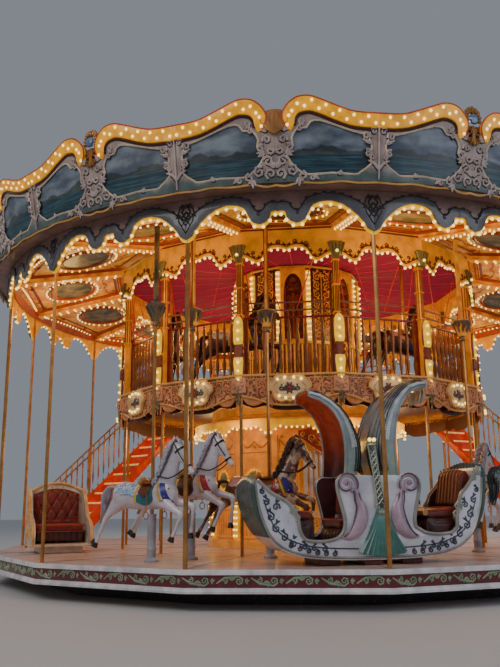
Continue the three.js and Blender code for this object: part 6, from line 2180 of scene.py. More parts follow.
def hood_point(along_share, angle_share, grow=0.0, ribs=0.0):
    """A point on the hood's half tube: along its path, and round from its near edge to its far edge."""
    place = along_share * (len(HOOD_OUT) - 1)
    low = min(int(place), len(HOOD_OUT) - 2)
    t = place - low
    out = np.array(HOOD_OUT[low]) * (1 - t) + np.array(HOOD_OUT[low + 1]) * t
    inner = np.array(HOOD_IN[low]) * (1 - t) + np.array(HOOD_IN[low + 1]) * t
    half = HOOD_HALF[low] * (1 - t) + HOOD_HALF[low + 1] * t + grow
    phi = math.pi * angle_share
    depth = math.sin(phi) ** 0.42 if 0 < angle_share < 1 else 0.0
    back = out - inner
    reach = float(np.linalg.norm(back))
    ridge = ribs * abs(math.sin(phi * 8)) * min(1, depth * 1.4)
    centre = inner + back * (depth * (reach + grow + ridge) / reach)
    across = -math.copysign(abs(math.cos(phi)) ** 0.62, math.cos(phi)) * (half + ridge * (1 - depth))
    return (centre[0], across, centre[1])


def hood_skin(grow, thick, ribs, reach=1.0, rows=30, columns=48):
    verts = [hood_point(reach * i / rows, k / columns, grow, ribs) for i in range(rows + 1)
             for k in range(columns + 1)]
    faces = []
    for i in range(rows):
        for k in range(columns):
            a = i * (columns + 1) + k
            faces.append((a, a + columns + 1, a + columns + 2, a + 1))
    return applied(from_data("hood", verts, faces), "SOLIDIFY", thickness=thick, offset=-1)


def build_sleigh(sizes):
    top, low, well = flow(HULL_TOP, 2), flow(HULL_LOW, 2), flow(WELL, 2)
    low_right = [(x, z + prow_rise(x, z)) for x, z in low]
    left = [*[(-x, z) for x, z in reversed(top)], *drawn_out(top)[1:]]
    side = board([[*left, *low_right, *[(-x, z) for x, z in reversed(low)][1:]]], 0.04, 0.010)
    sides = spread(side, [at(0, -HULL_SIDE + 0.04, 0), at(0, HULL_SIDE, 0)])
    strip = [(1.40, 1.44), *low, (0.0, 0.60), *reversed(well)]
    floor = merged(spread(board([strip], 0.82), [MIRROR_X]),
                   board([[(x, z + prow_rise(x, z)) for x, z in strip]], 0.82))
    reshape(floor, lambda p: p + np.array([0, 0.41, 0]))
    middle = both_sides(board([[(0.0, 0.52), (0.0, 1.50), (0.13, 1.50), (0.13, 0.52)]], 0.82))
    reshape(middle, lambda p: p + np.array([0, 0.41, 0]))
    in_sleigh(merged(sides, floor, middle), "sleigh_hull", "sleigh_white", stands_for=("sleigh_body",))
    rim = two_halves(lambda line: relief([[(x, z, 1.0) for x, z in line]], 0.022, 1.1, sides=1),
                     flow(HULL_TOP[2:], 3))
    lower = both_sides(relief([[(x, z + 0.03, 1.0) for x, z in flow(HULL_LOW, 3)]], 0.016, 1.0))
    lower2 = both_sides(relief([[(x - 0.05, z + 0.13, 0.7) for x, z in flow(HULL_LOW[2:-1], 3)]], 0.012, 1.0))
    in_sleigh(both_faces(merged(rim, lower)), "sleigh_rims", "sleigh_scroll")
    in_sleigh(both_faces(lower2), "sleigh_lines", "sleigh_line")
    sleigh_necks()
    sleigh_scrolls()
    build_centre()
    build_prows()
    build_hoods(sizes)
    blocks = [batten((s * 0.52 - 0.13, -0.33, 0.461), (s * 0.52 + 0.13, 0.33, 0.55), 0.01) for s in (-1, 1)]
    blocks.append(batten((-0.12, -0.40, 0.461), (0.12, 0.40, 0.53), 0.01))
    in_sleigh(merged(*blocks), "sleigh_blocks", "base_red")


def sleigh_necks():
    """Two curled swan necks on each side, with a small eye, and dark strokes beside their ridges as painted
    shade of the grooves.
    """
    neck = flow([(0.215, 1.345, 0.9), (0.20, 1.29, 1.4), (0.185, 1.21, 1.8), (0.15, 1.12, 2.4),
                 (0.155, 0.99, 3.2), (0.215, 0.87, 3.0), (0.315, 0.80, 1.9), (0.42, 0.785, 0.5)], 5)
    loop = [(0.325 + 0.125 * (1 - 0.80 * t) * math.cos(a), 1.40 + 0.125 * (1 - 0.80 * t) * math.sin(a),
             1.0 - 0.35 * t) for t, a in ((i / 26, math.radians(205 - 560 * i / 26)) for i in range(27))]
    beak = [(0.27, 1.33, 1.2), (0.22, 1.30, 1.0), (0.20, 1.235, 0.4)]
    eye = sphere(0.026, (0.325, 0, 1.40), (1, 0.9, 1))
    swan = merged(relief([neck, loop, beak], 0.027, 0.75, sides=3), eye)
    both_necks = [MIRROR_X, at(0.15, 0, 0)]
    in_sleigh(both_faces(spread(swan, both_necks)), "sleigh_necks", "neck_lilac")
    # Painted shade: dark strokes laid along the neck and curl where their grooves would be shaded; the pupils
    # share this dark finish.
    groove_shade = [[(x + 0.030 * share, z, 0.9) for x, z, share in neck[3:-4]],
               [(x - 0.012 * share, z, 0.7) for x, z, share in neck[5:-6]],
               [(0.325 + (x - 0.325) * 1.16, 1.40 + (z - 1.40) * 1.16, 0.8) for x, z, _ in loop[:16]]]
    shade = shifted(relief(groove_shade, 0.010, 1.0), -0.030)
    pupils = sphere(0.012, (0.325, -0.042, 1.40), (1, 0.6, 1))
    in_sleigh(both_faces(spread(merged(shade, pupils), both_necks)), "sleigh_neck_grooves", "neck_shade")


def sleigh_scrolls():
    """A vine of scrolls along the hull's foot and two gold curls beside its middle."""
    curls = []
    for i, (x, z, r, start, hand) in enumerate(((0.62, 0.66, 0.04, 90, 1), (0.74, 0.67, 0.035, 90, -1),
                                                (0.86, 0.69, 0.04, 90, 1), (0.99, 0.73, 0.05, 60, -1),
                                                (1.10, 0.80, 0.05, 90, 1), (1.19, 0.90, 0.055, 90, -1),
                                                (1.26, 1.03, 0.055, 90, 1), (1.19, 1.14, 0.05, 200, -1),
                                                (1.31, 1.20, 0.045, 90, 1), (1.35, 1.32, 0.035, 90, -1))):
        curls += [volute(x, z, r, start, 1.3, hand), *leaf(x, z + r, r * 1.1, 60 if hand > 0 else 120, 2)]
    curls += [volute(0.50 + 0.105 * i, 0.605 + 0.012 * i * i / 3, 0.036, 90, 1.3, 1) for i in range(6)]
    relief_scrolls = both_sides(relief(curls, 0.0125, 1.0))
    in_sleigh(both_faces(relief_scrolls), "sleigh_scrolls", "sleigh_line")
    shell_curls = relief([volute(0.99, 1.10, 0.062, 100, 1.6, 1), volute(0.945, 1.02, 0.045, 290, 1.3, -1),
                          [(0.93, 0.97, 0.6), (0.975, 1.06, 1.3), (1.04, 1.15, 0.6)]], 0.016, 1.1)
    shell_curls = spread(shell_curls, [MIRROR_X, at(0.12, 0, 0.02)])
    in_sleigh(both_faces(shell_curls), "sleigh_gold_curls", "strip_silver")


def leaned(piece):
    """Leans the middle strip, so its foot and the drape stand a little to the right."""
    return reshape(piece, lambda p: p + np.stack([0.10 * np.clip((1.86 - p[:, 2]) / 0.74, 0, 1),
                                                  p[:, 1] * 0, p[:, 2] * 0], 1))


def build_centre():
    """Lattice strip, small head with two bulbs and fanned drape at the sleigh's middle."""
    strip = board([[(-0.045, 1.86), (-0.035, 1.5), (-0.055, 1.12), (0.055, 1.12), (0.035, 1.5),
                    (0.045, 1.86)]], 0.03, 0.006)
    lattice = []
    for z in np.arange(1.16, 1.79, 0.07):
        lattice += [[(-0.032, z), (0.032, z + 0.07)], [(0.032, z), (-0.032, z + 0.07)]]
    lattice += [[(s * 0.045, 1.86, 1.4), (s * 0.036, 1.5, 1.2), (s * 0.055, 1.12, 1.6)] for s in (-1, 1)]
    weave = shifted(relief(lattice, 0.008, 1.0), -0.03)
    head = [volute(s * 0.045, 1.885, 0.03, 90, 1.1, s) for s in (-1, 1)]
    crown = shifted(relief([*head, [(-0.05, 1.86, 1.6), (0.05, 1.86, 1.6)]], 0.013, 1.4), -0.02)
    post = block((-0.03, 0.0, 1.48), (0.03, 0.05, 1.84))
    in_sleigh(leaned(both_faces(merged(strip, post))), "sleigh_strips", "strip_dark")
    in_sleigh(leaned(both_faces(merged(weave, crown))), "sleigh_lattices", "strip_silver")
    folds, count = [], 9
    for i in range(count):
        share = (i - (count - 1) / 2) / ((count - 1) / 2)
        folds.append([(0.04 * share, 1.10, 1.0), (0.11 * share, 0.88, 1.5),
                      (0.27 * share, 0.60 - 0.03 * (1 - share * share), 2.3)])
    pleats = relief([flow(line, 3) for line in folds], 0.017, 1.0)
    cloth_back = board([[(-0.05, 1.12), (-0.27, 0.60), (0.0, 0.55), (0.27, 0.60), (0.05, 1.12)]], 0.02, 0.004)
    in_sleigh(leaned(both_faces(merged(pleats, cloth_back))), "sleigh_drapes", "drape_teal")
    bow = [volute(s * 0.045, 1.13, 0.03, 90, 1.1, -s)
           for s in (-1, 1)] + [[(-0.05, 1.06, 1.8), (0.05, 1.06, 1.8)]]
    in_sleigh(leaned(both_faces(shifted(relief(bow, 0.014, 1.2), -0.03))), "sleigh_bows", "strip_silver")
    caps = bulb_string([(-0.028, -0.055, 1.92), (0.028, -0.055, 1.92)], 0.026)
    in_sleigh(both_faces(caps), "sleigh_bulbs", "bulb_glass")


def build_prows():
    """Long feathers that sweep up each prow's end."""
    lines = []
    for y in np.linspace(-0.42, 0.42, 11):
        lift = 0.05 * math.cos(math.pi * y / 0.9)
        lines.append(flow([(1.27, y, 0.80, 0.7), (1.36, y, 0.95, 1.2), (1.425, y, 1.14, 1.6),
                           (1.452, y, 1.30, 1.8), (1.455, y, 1.40 + lift, 1.5),
                           (1.43, y, 1.46 + lift, 0.7)], 3))
    left = spread(tubes(lines, 0.026, 1), [MIRROR_X])
    right = tubes([[(x, y, z + prow_rise(1.43, z), share) for x, y, z, share in line] for line in lines],
                  0.026, 1)
    in_sleigh(merged(left, right), "sleigh_prow_feathers", "feather_green")
    tip = relief([*leaf(1.36, 1.50, 0.12, 70, 5, 26), volute(1.335, 1.47, 0.05, 90, 1.2, 1)], 0.015, 1.1)
    in_sleigh(both_faces(tip), "sleigh_tip_leaves", "strip_silver")


HOOD_RIBS = (0.07, 0.12, 0.18, 0.25, 0.34, 0.44, 0.56, 0.66, 0.75, 0.82, 0.88, 0.93)


def build_hoods(sizes):
    """Two curled hoods with ribs, feathered edges and a lit lining; the left one ends shorter, plainly."""
    raised = at(0, 0, 1.5) @ Matrix.Scale(RIGHT_HOOD_SHARE, 4, (0, 0, 1)) @ at(0, 0, -1.5)
    for where, place, reach in (("left", MIRROR_X, 0.89), ("right", raised, 1.0)):
        hood = {"shell": (hood_skin(0.0, 0.018, 0.004, reach), "hood_blue", 50),
                "lining": (hood_skin(-0.019, 0.008, -0.006, reach), "lining_red", 50)}
        lines = [[hood_point(reach * i / 40, side) for i in range(41)] for side in (0.0, 1.0)]
        lines.append([hood_point(reach, k / 30) for k in range(31)])
        hood["rim"] = (tubes(lines, 0.016, 2), "sleigh_scroll", 35)
        feathers = []
        for i in range(58):
            share = reach * (0.30 + 0.69 * i / 57)
            for low, high in ((0.02, 0.085), (0.98, 0.915)):
                feathers.append([(*hood_point(share, low, 0.006), 1.3),
                                 (*hood_point(share + 0.006, high, 0.008), 0.5)])
        plumes = tubes(feathers, 0.013)
        ribs = tubes([[(*hood_point(reach * i / 24, across, 0.005), 1.0 - 0.5 * i / 24)
                       for i in range(1, 24)] for across in HOOD_RIBS], 0.0105)
        hood["ribs"] = (ribs, "rib_dark", 35)
        if where == "right":
            lamps = [(0.52 + 0.07 * i, y, 2.385 + 0.022 * i) for i in range(4) for y in (-0.12, 0.12)]
            hood["bulbs"] = (bulb_string(lamps, sizes.bulb), "bulb_glass", 35)
            plumes = merged(plumes, hood_curls())
            leaves = tubes([flow([(0.86, y, 2.46, 1.0), (0.84, y * 1.3, 2.38, 1.6),
                                  (0.80, y * 1.2, 2.30, 0.5)], 3) for y in (-0.16, -0.08, 0.0, 0.08, 0.16)],
                           0.02)
            hood["leaves"] = (leaves, "strip_silver", 35)
        hood["feathers"] = (plumes, "feather_blue", 35)
        for part, (piece, finish, angle) in hood.items():
            stands = ("sleigh_hood_" + where,) if part == "shell" else ()
            in_sleigh(spread(piece, [place]), "sleigh_hood_" + part + "_" + where, finish, angle,
                      stands_for=stands)


def hood_curls():
    """The six small curls that roll over the right hood's tip."""
    curl = [(0.862 + 0.036 * (1 - 0.7 * t) * math.cos(a), 2.515 + 0.042 * (1 - 0.7 * t) * math.sin(a),
             1.0 - 0.5 * t) for t, a in ((i / 14, math.radians(90 - 430 * i / 14)) for i in range(15))]
    return tubes([[(x, y, z, share) for x, z, share in curl]
                  for y in (-0.2, -0.12, -0.04, 0.04, 0.12, 0.2)], 0.022, 2)


# Carriages

CARRIAGE_AZIMUTHS = {"left": -62, "right": 66}
CARRIAGE_OUT = 4.28
CARRIAGE_SIDE = [(-0.47, 0.58), (-0.47, 1.38), (-0.44, 1.44), (-0.38, 1.44), (-0.28, 1.37), (-0.16, 1.24),
                 (-0.05, 1.09), (0.08, 0.99), (0.24, 0.95), (0.36, 0.90), (0.44, 0.82), (0.47, 0.72),
                 (0.44, 0.61), (0.36, 0.565), (-0.40, 0.565)]


def build_carriages():
    side = board([flow(CARRIAGE_SIDE, 3, loop=True)], 0.04, 0.010)
    sides = spread(side, [at(0, -0.41, 0), at(0, 0.45, 0)])
    back_line = flow([(-0.45, 1.36), (-0.36, 1.43), (-0.2, 1.50), (0, 1.53), (0.2, 1.50), (0.36, 1.43),
                      (0.45, 1.36)], 3)
    back = board([[(-0.45, 0.58), *back_line, (0.45, 0.58)]], 0.035, 0.008)
    back.rotation_euler.z = -math.pi / 2
    back.location.x = -0.435
    settle(back)
    foot = batten((-0.33, -0.33, 0.461), (0.33, 0.33, 0.58), 0.012)
    floor = batten((-0.45, -0.43, 0.56), (0.43, 0.43, 0.60), 0.008)
    shell = merged(sides, back, foot, floor)
    strokes = [[(x, z, 1.0) for x, z in flow(CARRIAGE_SIDE, 3, loop=True)]]
    trim = relief(strokes, 0.014, 1.2, loop=True)
    curls = [volute(0.30, 0.76, 0.09, 90, 1.5, 1), volute(0.08, 0.80, 0.07, 270, 1.3, -1),
             volute(-0.15, 0.95, 0.09, 90, 1.4, 1), volute(-0.34, 1.20, 0.08, 90, 1.4, -1),
             volute(-0.33, 0.78, 0.08, 270, 1.4, 1), *leaf(0.0, 0.70, 0.12, 180, 3),
             *leaf(-0.24, 1.06, 0.1, 110, 3), *leaf(0.18, 0.86, 0.08, 60, 3)]
    carving = merged(trim, relief(curls, 0.014, 1.0))
    carvings = spread(carving, [at(0, -0.45, 0), at(0, 0.45, 0) @ MIRROR_Y])
    crest = [(-0.41, y, z + 0.012, 1.0) for y, z in back_line]
    arch = tubes([crest, [(x - 0.045, y, z, s) for x, y, z, s in crest]], 0.017, 2)
    for where, azimuth in CARRIAGE_AZIMUTHS.items():
        place = turn(math.radians(azimuth)) @ at(0, -CARRIAGE_OUT, 0)
        in_bays(copied(shell), "carriage_shell_" + where, "carriage_cream", [place],
                stands_for=("carriage_" + where,))
        in_bays(merged(copied(carvings), copied(arch)), "carriage_scrolls_" + where, "fascia_gold", [place])
    for one in (shell, carvings, arch):
        bpy.data.objects.remove(one)


# Soft seats

PRESSURE = 4.0
PRESSURE_STEPS = 20
SKIN_STEP = 0.0095
SKIN_SHARE = 0.25


def places_of(piece):
    points = np.empty(len(piece.data.vertices) * 3, np.float32)
    piece.data.vertices.foreach_get("co", points)
    return points.reshape(-1, 3).astype(float)


def blown_out(piece, cap):
    """Blows a cushion's skin out by a cloth simulation, with no point moved further than the cap."""
    flat = places_of(piece)
    choose(piece)
    soft = piece.modifiers.new("Cloth", "CLOTH")
    soft.settings.use_pressure = True
    soft.settings.uniform_pressure_force = PRESSURE
    soft.settings.effector_weights.gravity = 0
    soft.point_cache.frame_start = 1
    soft.point_cache.frame_end = PRESSURE_STEPS
    for step in range(1, PRESSURE_STEPS + 1):
        bpy.context.scene.frame_set(step)
    bpy.ops.object.modifier_apply(modifier=soft.name)
    bpy.context.scene.frame_set(1)
    moved = places_of(piece) - flat
    far = np.linalg.norm(moved, axis=1)
    share = np.minimum(1, cap / np.maximum(far, 1e-6))
    return reshape(piece, lambda p: flat + moved * share[:, None])


def stuffed(outline, half, cap, seams=None, grown=None):
    """A cushion from its side outline of (x, z): filled out by pressure, then drawn in along its seams."""
    piece = board([outline], 2 * half, 0.012, 2)
    reshape(piece, lambda p: p + np.array([0, half, 0]))
    if grown:
        piece = grown(piece)
    applied(piece, "REMESH", mode="VOXEL", voxel_size=SKIN_STEP)
    flat = places_of(piece)
    blown_out(piece, cap)
    applied(piece, "SMOOTH", factor=0.5, iterations=2)
    if seams:
        normals = np.empty(len(flat) * 3, np.float32)
        piece.data.vertices.foreach_get("normal", normals)
        depth = seams(flat)[:, None]
        reshape(piece, lambda p: p - normals.reshape(-1, 3) * depth)
        applied(piece, "SMOOTH", factor=0.4, iterations=1)
    return applied(piece, "DECIMATE", ratio=SKIN_SHARE)


def furrow(distance, depth, wide):
    return depth * np.exp(-((distance / wide) ** 2))


def channels(spacing, depth, wide=0.011):
    """Seams that run up a cushion at an even spacing along its width."""
    return lambda p: furrow(np.abs((p[:, 1] / spacing + 0.5) % 1 - 0.5) * spacing, depth, wide)


TUFT_WIDE, TUFT_TALL, TUFT_FOOT = 0.172, 0.32, 0.985


def tufts(p):
    """Creases between the buttons of diamond tufting, with a deep dimple at each button."""
    across, up = p[:, 1] / TUFT_WIDE, (p[:, 2] - TUFT_FOOT) / TUFT_TALL
    slanted = TUFT_WIDE * TUFT_TALL / math.hypot(TUFT_WIDE, TUFT_TALL)
    lines = [np.abs((across + s * up + 0.5) % 1 - 0.5) * slanted for s in (-1, 1)]
    crease = np.maximum(furrow(lines[0], 0.016, 0.015), furrow(lines[1], 0.016, 0.015))
    dimple = furrow(np.hypot(*lines), 0.016, 0.022)
    return np.where(p[:, 0] > -0.40, crease + dimple, 0) * (p[:, 2] > 0.93)


def tuft_buttons():
    """Covered buttons in the dimples of the tufted back."""
    places = []
    for row in range(7):
        z = TUFT_FOOT + row * TUFT_TALL / 2
        shift = 0.5 * (row % 2)
        for i in range(-3, 4):
            y = (i + shift) * TUFT_WIDE
            if abs(y) < 0.37 and z < 1.475 - 0.42 * y * y:
                places.append(at(-0.352, y, z))
    return spread(sphere(0.011, (0, 0, 0), (0.6, 1, 1), 8, 6), places)


def arched(piece):
    """Carries the tufted back up in an arch between its two shoulders."""

    def lift(p):
        rise = 0.115 * np.maximum(0, 1 - (p[:, 1] / 0.41) ** 2)
        share = np.clip((p[:, 2] - 1.0) / 0.37, 0, 1)
        return p + np.stack([p[:, 0] * 0, p[:, 0] * 0, rise * share], 1)

    return reshape(sliced(sliced(piece, 0.05, 1), 0.06, 2), lift)


def swept_up(piece):
    """Carries the prow's seat back up in a low arch."""

    def lift(p):
        rise = 0.05 * np.maximum(0, 1 - (p[:, 1] / 0.38) ** 2)
        share = np.clip((p[:, 2] - 1.2) / 0.2, 0, 1)
        return p + np.stack([p[:, 0] * 0, p[:, 0] * 0, rise * share], 1)

    return reshape(sliced(sliced(piece, 0.06, 1), 0.06, 2), lift)


def piping(line):
    return tubes([line], 0.008, 1, loop=True)


def round_edge(low, high, half):
    """A loop round a cushion's top or front, from one (x, z) corner to the other, with rounded corners."""
    (xa, za), (xb, zb) = low, high
    corners = [(xa, -half, za), (xa, half, za), (xb, half, zb), (xb, -half, zb)]
    out = []
    for i, corner in enumerate(corners):
        before, after = np.array(corners[i - 1]), np.array(corners[(i + 1) % 4])
        corner = np.array(corner)
        for way in (before - corner, after - corner):
            out.append(tuple(corner + way / np.linalg.norm(way) * 0.03))
    return out


def set_out(piece, name, finish, places, node=None):
    """Sets copies of a seat's piece at their places, hiding the frame's node when one is named."""
    for where, place in places.items():
        made = in_bays(copied(piece), name + "_" + where, finish, [place], angle=60,
                       stands_for=(node + "_" + where,) if node else ())
    bpy.data.objects.remove(piece)


def build_sleigh_seats():
    places = {"left": SLEIGH_PLACE @ MIRROR_X, "right": SLEIGH_PLACE}
    front = stuffed([(0.16, 0.615), (0.405, 0.615), (0.415, 0.86), (0.16, 0.87)], 0.375, 0.012,
                    channels(0.125, 0.010))
    set_out(front, "sleigh_seat_front", "leather_dark", places, "sleigh_seat")
    cushion = stuffed([(0.165, 0.90), (0.405, 0.90), (0.41, 0.965), (0.165, 0.97)], 0.37, 0.024)
    set_out(cushion, "sleigh_seat_cushion", "leather_brown", places)
    back = stuffed([(0.165, 1.02), (0.21, 1.02), (0.195, 1.43), (0.165, 1.45)], 0.37, 0.018,
                   channels(0.148, 0.012))
    set_out(back, "sleigh_seat_back", "leather_brown", places)
    base = stuffed([(0.715, 0.615), (0.75, 0.615), (1.02, 0.755), (1.12, 0.89), (1.09, 0.985),
                    (0.715, 0.975)], 0.375, 0.014, channels(0.125, 0.020, 0.016))
    set_out(base, "sleigh_end_front", "leather_dark", places, "sleigh_end_seat")
    soft = stuffed([(0.71, 1.005), (1.11, 1.01), (1.125, 1.095), (0.71, 1.055)], 0.37, 0.022)
    set_out(soft, "sleigh_end_cushion", "leather_brown", places)
    for where, top in (("left", 1.37), ("right", 1.56)):
        folds = stuffed([(1.175, 1.14), (1.25, top - 0.02), (1.285, top), (1.325, top - 0.05), (1.32, 1.22),
                         (1.25, 1.04)], 0.37, 0.020, channels(0.092, 0.018, 0.013), swept_up)
        set_out(folds, "sleigh_end_back", "leather_brown", {where: places[where]})
    roll = tubes([[(0.700, y, 1.052) for y in np.linspace(-0.37, 0.37, 13)]], 0.036, 3)
    set_out(roll, "sleigh_end_roll", "leather_tan", places)
    cords = merged(piping(round_edge((0.16, 0.985), (0.425, 0.98), 0.38)),
                   piping(round_edge((0.72, 1.075), (1.11, 1.11), 0.38)))
    set_out(cords, "sleigh_seat_piping", "piping_red", places)
    top, well = flow(HULL_TOP[1:-1], 2), flow(WELL, 2)
    for where, line in (("left", top), ("right", drawn_out(top))):
        inner = board([[(0.14, 1.49), *[(x - 0.004, z - 0.012) for x, z in line], *well[1:-1],
                        (0.14, 0.62)]], 0.010, 0.003)
        linings = spread(inner, [at(0, -0.40, 0), at(0, 0.41, 0)])
        set_out(linings, "sleigh_side_lining", "leather_dark", {where: places[where]})


def build_carriage_seats():
    places = {where: turn(math.radians(a)) @ at(0, -CARRIAGE_OUT, 0)
              for where, a in CARRIAGE_AZIMUTHS.items()}
    base = stuffed([(-0.40, 0.635), (0.15, 0.635), (0.15, 0.765), (-0.40, 0.765)], 0.375, 0.014,
                   channels(0.094, 0.016, 0.013))
    set_out(base, "carriage_seat_front", "leather_dark", places, "carriage_seat")
    cushion = stuffed([(-0.30, 0.795), (0.155, 0.795), (0.155, 0.865), (-0.30, 0.865)], 0.37, 0.024)
    set_out(cushion, "carriage_seat_cushion", "tufted_red", places)
    back = stuffed([(-0.422, 0.80), (-0.375, 0.80), (-0.375, 1.365), (-0.422, 1.365)], 0.39, 0.026, tufts,
                   arched)
    set_out(back, "carriage_seat_back", "tufted_red", places)
    set_out(tuft_buttons(), "carriage_seat_buttons", "piping_red", places)
    cords = merged(piping(round_edge((-0.30, 0.885), (0.165, 0.88), 0.38)),
                   piping(round_edge((-0.40, 0.78), (0.16, 0.78), 0.385)))
    set_out(cords, "carriage_seat_piping", "piping_red", places)


# Stage


CAMERA_PLACE = (0.4984, -13.7916, 1.2007)
CAMERA_HEADING = 2.07 + 3.69
CAMERA_PITCH = 12.84
CAMERA_ROLL = -0.62
FILM_HEIGHT = 36
FOCAL_PIXELS = 739
PICTURE_ROWS = 667


def build_stage():
    choose_none()
    bpy.ops.mesh.primitive_plane_add(size=90)
    floor = bpy.context.object
    floor.name = "floor"
    finish = bpy.data.materials.new("floor_pale")
    finish.use_nodes = True
    shader = finish.node_tree.nodes["Principled BSDF"]
    shader.inputs["Base Color"].default_value = (0.62, 0.61, 0.6, 1)
    shader.inputs["Roughness"].default_value = 0.8
    floor.data.materials.append(finish)
    world = bpy.data.worlds.new("studio")
    bpy.context.scene.world = world
    world.use_nodes = True
    world.node_tree.nodes["Background"].inputs[0].default_value = (0.62, 0.68, 0.78, 1)
    world.node_tree.nodes["Background"].inputs[1].default_value = 0.36
    lamp("key", "AREA", (-9, -15, 13), 800, 9, (1.0, 0.95, 0.9))
    lamp("fill", "AREA", (12, -12, 8), 400, 9, (0.85, 0.9, 1.0))
    lamp("back", "AREA", (4, 16, 12), 700, 9, (1.0, 0.96, 0.92))
    for i in range(7):
        angle = (i + 0.5) * 2 * BAY
        lamp("ride_lamp_%d" % i, "POINT", round_place(angle, 4.2, 4.55), 26, 0.3, (1.0, 0.63, 0.18))
        lamp("core_lamp_%d" % i, "POINT", round_place(angle, 2.3, 2.35), 20, 0.3, (1.0, 0.60, 0.17))
    for i in range(4):
        angle = (i + 0.5) * math.pi / 2
        lamp("deck_lamp_%d" % i, "POINT", round_place(angle, 2.2, 4.05), 34, 0.3, (1.0, 0.62, 0.20))
    bpy.ops.object.camera_add()
    camera = bpy.context.object
    camera.name = "camera"
    camera.data.sensor_fit = "VERTICAL"
    camera.data.sensor_height = FILM_HEIGHT
    camera.data.lens = FILM_HEIGHT * FOCAL_PIXELS / PICTURE_ROWS
    pitch = Matrix.Rotation(math.radians(90 + CAMERA_PITCH), 4, "X")
    roll = Matrix.Rotation(math.radians(CAMERA_ROLL), 4, "Z")
    camera.matrix_world = at(*CAMERA_PLACE) @ turn(math.radians(CAMERA_HEADING)) @ pitch @ roll
    bpy.context.scene.camera = camera


def round_place(angle, radius, up):
    return (radius * math.sin(angle), -radius * math.cos(angle), up)


def lamp(name, kind, place, power, size, tint):
    bpy.ops.object.light_add(type=kind, location=place)
    light = bpy.context.object
    light.name = name
    light.data.energy = power
    light.data.color = tint
    if kind == "AREA":
        light.data.size = size
        aim = Vector((0, 0, 2.5)) - Vector(place)
        light.rotation_euler = aim.to_track_quat("-Z", "Y").to_euler()
    else:
        light.data.shadow_soft_size = size


NODE_FINISH = {
    "base_frame": "base_dark", "platform": "platform_paint", "platform_skirt": "skirt_maroon",
    "lower_core": "core_orange", "organ_front": "core_orange", "deck_posts": "brass",
    "deck_floor": "deck_wood", "deck_fascia": "fascia_carved", "upper_core": "core_carved",
    "colonnade": "column_orange", "inner_valance": "inner_cream", "deck_ceiling": "deck_cloth",
    "outer_poles": "brass",
    "outer_valance": "valance_plain", "outer_ceiling": "ceiling_board", "cornice": "cornice_back",
    "roof": "cloth_roof", "roof_crown": "finial_gold", "sleigh_body": "sleigh_white",
    "stair_left": "stair_red_paint", "stair_right": "stair_red_paint",
    "carriage_left": "carriage_cream", "carriage_right": "carriage_cream",
}


def finish_nodes():
    for name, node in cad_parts.items():
        key = NODE_FINISH.get(name)
        if key is None:
            key = next(
                found for start, found in (
                    ("deck_railing", "rail_bronze"), ("stair_balustrade", "rail_silver"),
                    ("horse_pole", "brass"),
                    ("horse", "horse_grey"), ("deck_horse", "horse_chestnut"), ("sleigh_hood", "hood_blue"),
                    ("sleigh_seat", "lining_red"), ("sleigh_end", "leather_brown"),
                    ("carriage_seat", "tufted_red"),
                ) if name.startswith(start)
            )
        dressed(node, key)


def settings():
    return bpy.context.scene.carousel_sizes, bpy.context.scene.carousel_colours


class CAROUSEL_OT_finishes(bpy.types.Operator):
    """Makes every finish and paints the frame's own pieces with them"""

    bl_idname = "carousel.finishes"
    bl_label = "Finishes"

    def execute(self, context):
        make_finishes(settings()[1])
        finish_nodes()
        return {"FINISHED"}


class CAROUSEL_OT_cornice(bpy.types.Operator):
    """Builds the cornice: scene panels in carved frames under a lit gold band"""

    bl_idname = "carousel.cornice"
    bl_label = "Cornice"

    def execute(self, context):
        build_cornice(settings()[0])
        return {"FINISHED"}


class CAROUSEL_OT_valance(bpy.types.Operator):
    """Builds the scalloped valance with its lit edge"""

    bl_idname = "carousel.valance"
    bl_label = "Outer valance"

    def execute(self, context):
        build_valance(settings()[0])
        return {"FINISHED"}


class CAROUSEL_OT_stage(bpy.types.Operator):
    """Sets the floor, the lights and the camera"""

    bl_idname = "carousel.stage"
    bl_label = "Stage"

    def execute(self, context):
        build_stage()
        return {"FINISHED"}


class CAROUSEL_OT_ceilings(bpy.types.Operator):
    """Builds the ribbed ceiling over the horses with its mouldings and bulbs"""

    bl_idname = "carousel.ceilings"
    bl_label = "Ceilings"

    def execute(self, context):
        build_ceilings(settings()[0])
        return {"FINISHED"}


class CAROUSEL_OT_cloths(bpy.types.Operator):
    """Builds the cloth ceiling over the deck and the canvas roof"""

    bl_idname = "carousel.cloths"
    bl_label = "Cloths"

    def execute(self, context):
        build_cloths()
        return {"FINISHED"}


class CAROUSEL_OT_inner_valance(bpy.types.Operator):
    """Builds the scalloped boards over the deck's edge"""

    bl_idname = "carousel.inner_valance"
    bl_label = "Inner valance"

    def execute(self, context):
        build_inner_valance(settings()[0])
        return {"FINISHED"}


class CAROUSEL_OT_columns(bpy.types.Operator):
    """Builds the deck's columns with their lamp boards and capitals"""

    bl_idname = "carousel.columns"
    bl_label = "Columns"

    def execute(self, context):
        build_columns(settings()[0])
        return {"FINISHED"}


class CAROUSEL_OT_railings(bpy.types.Operator):
    """Builds the deck's railings with turned balusters"""

    bl_idname = "carousel.railings"
    bl_label = "Railings"

    def execute(self, context):
        build_railings()
        return {"FINISHED"}


class CAROUSEL_OT_fascia(bpy.types.Operator):
    """Builds the deck's carved fascia with its shields"""

    bl_idname = "carousel.fascia"
    bl_label = "Fascia"

    def execute(self, context):
        build_fascia(settings()[0])
        return {"FINISHED"}


class CAROUSEL_OT_upper_core(bpy.types.Operator):
    """Builds the carved drum in the middle of the deck"""

    bl_idname = "carousel.upper_core"
    bl_label = "Upper core"

    def execute(self, context):
        build_upper_core(settings()[0])
        return {"FINISHED"}


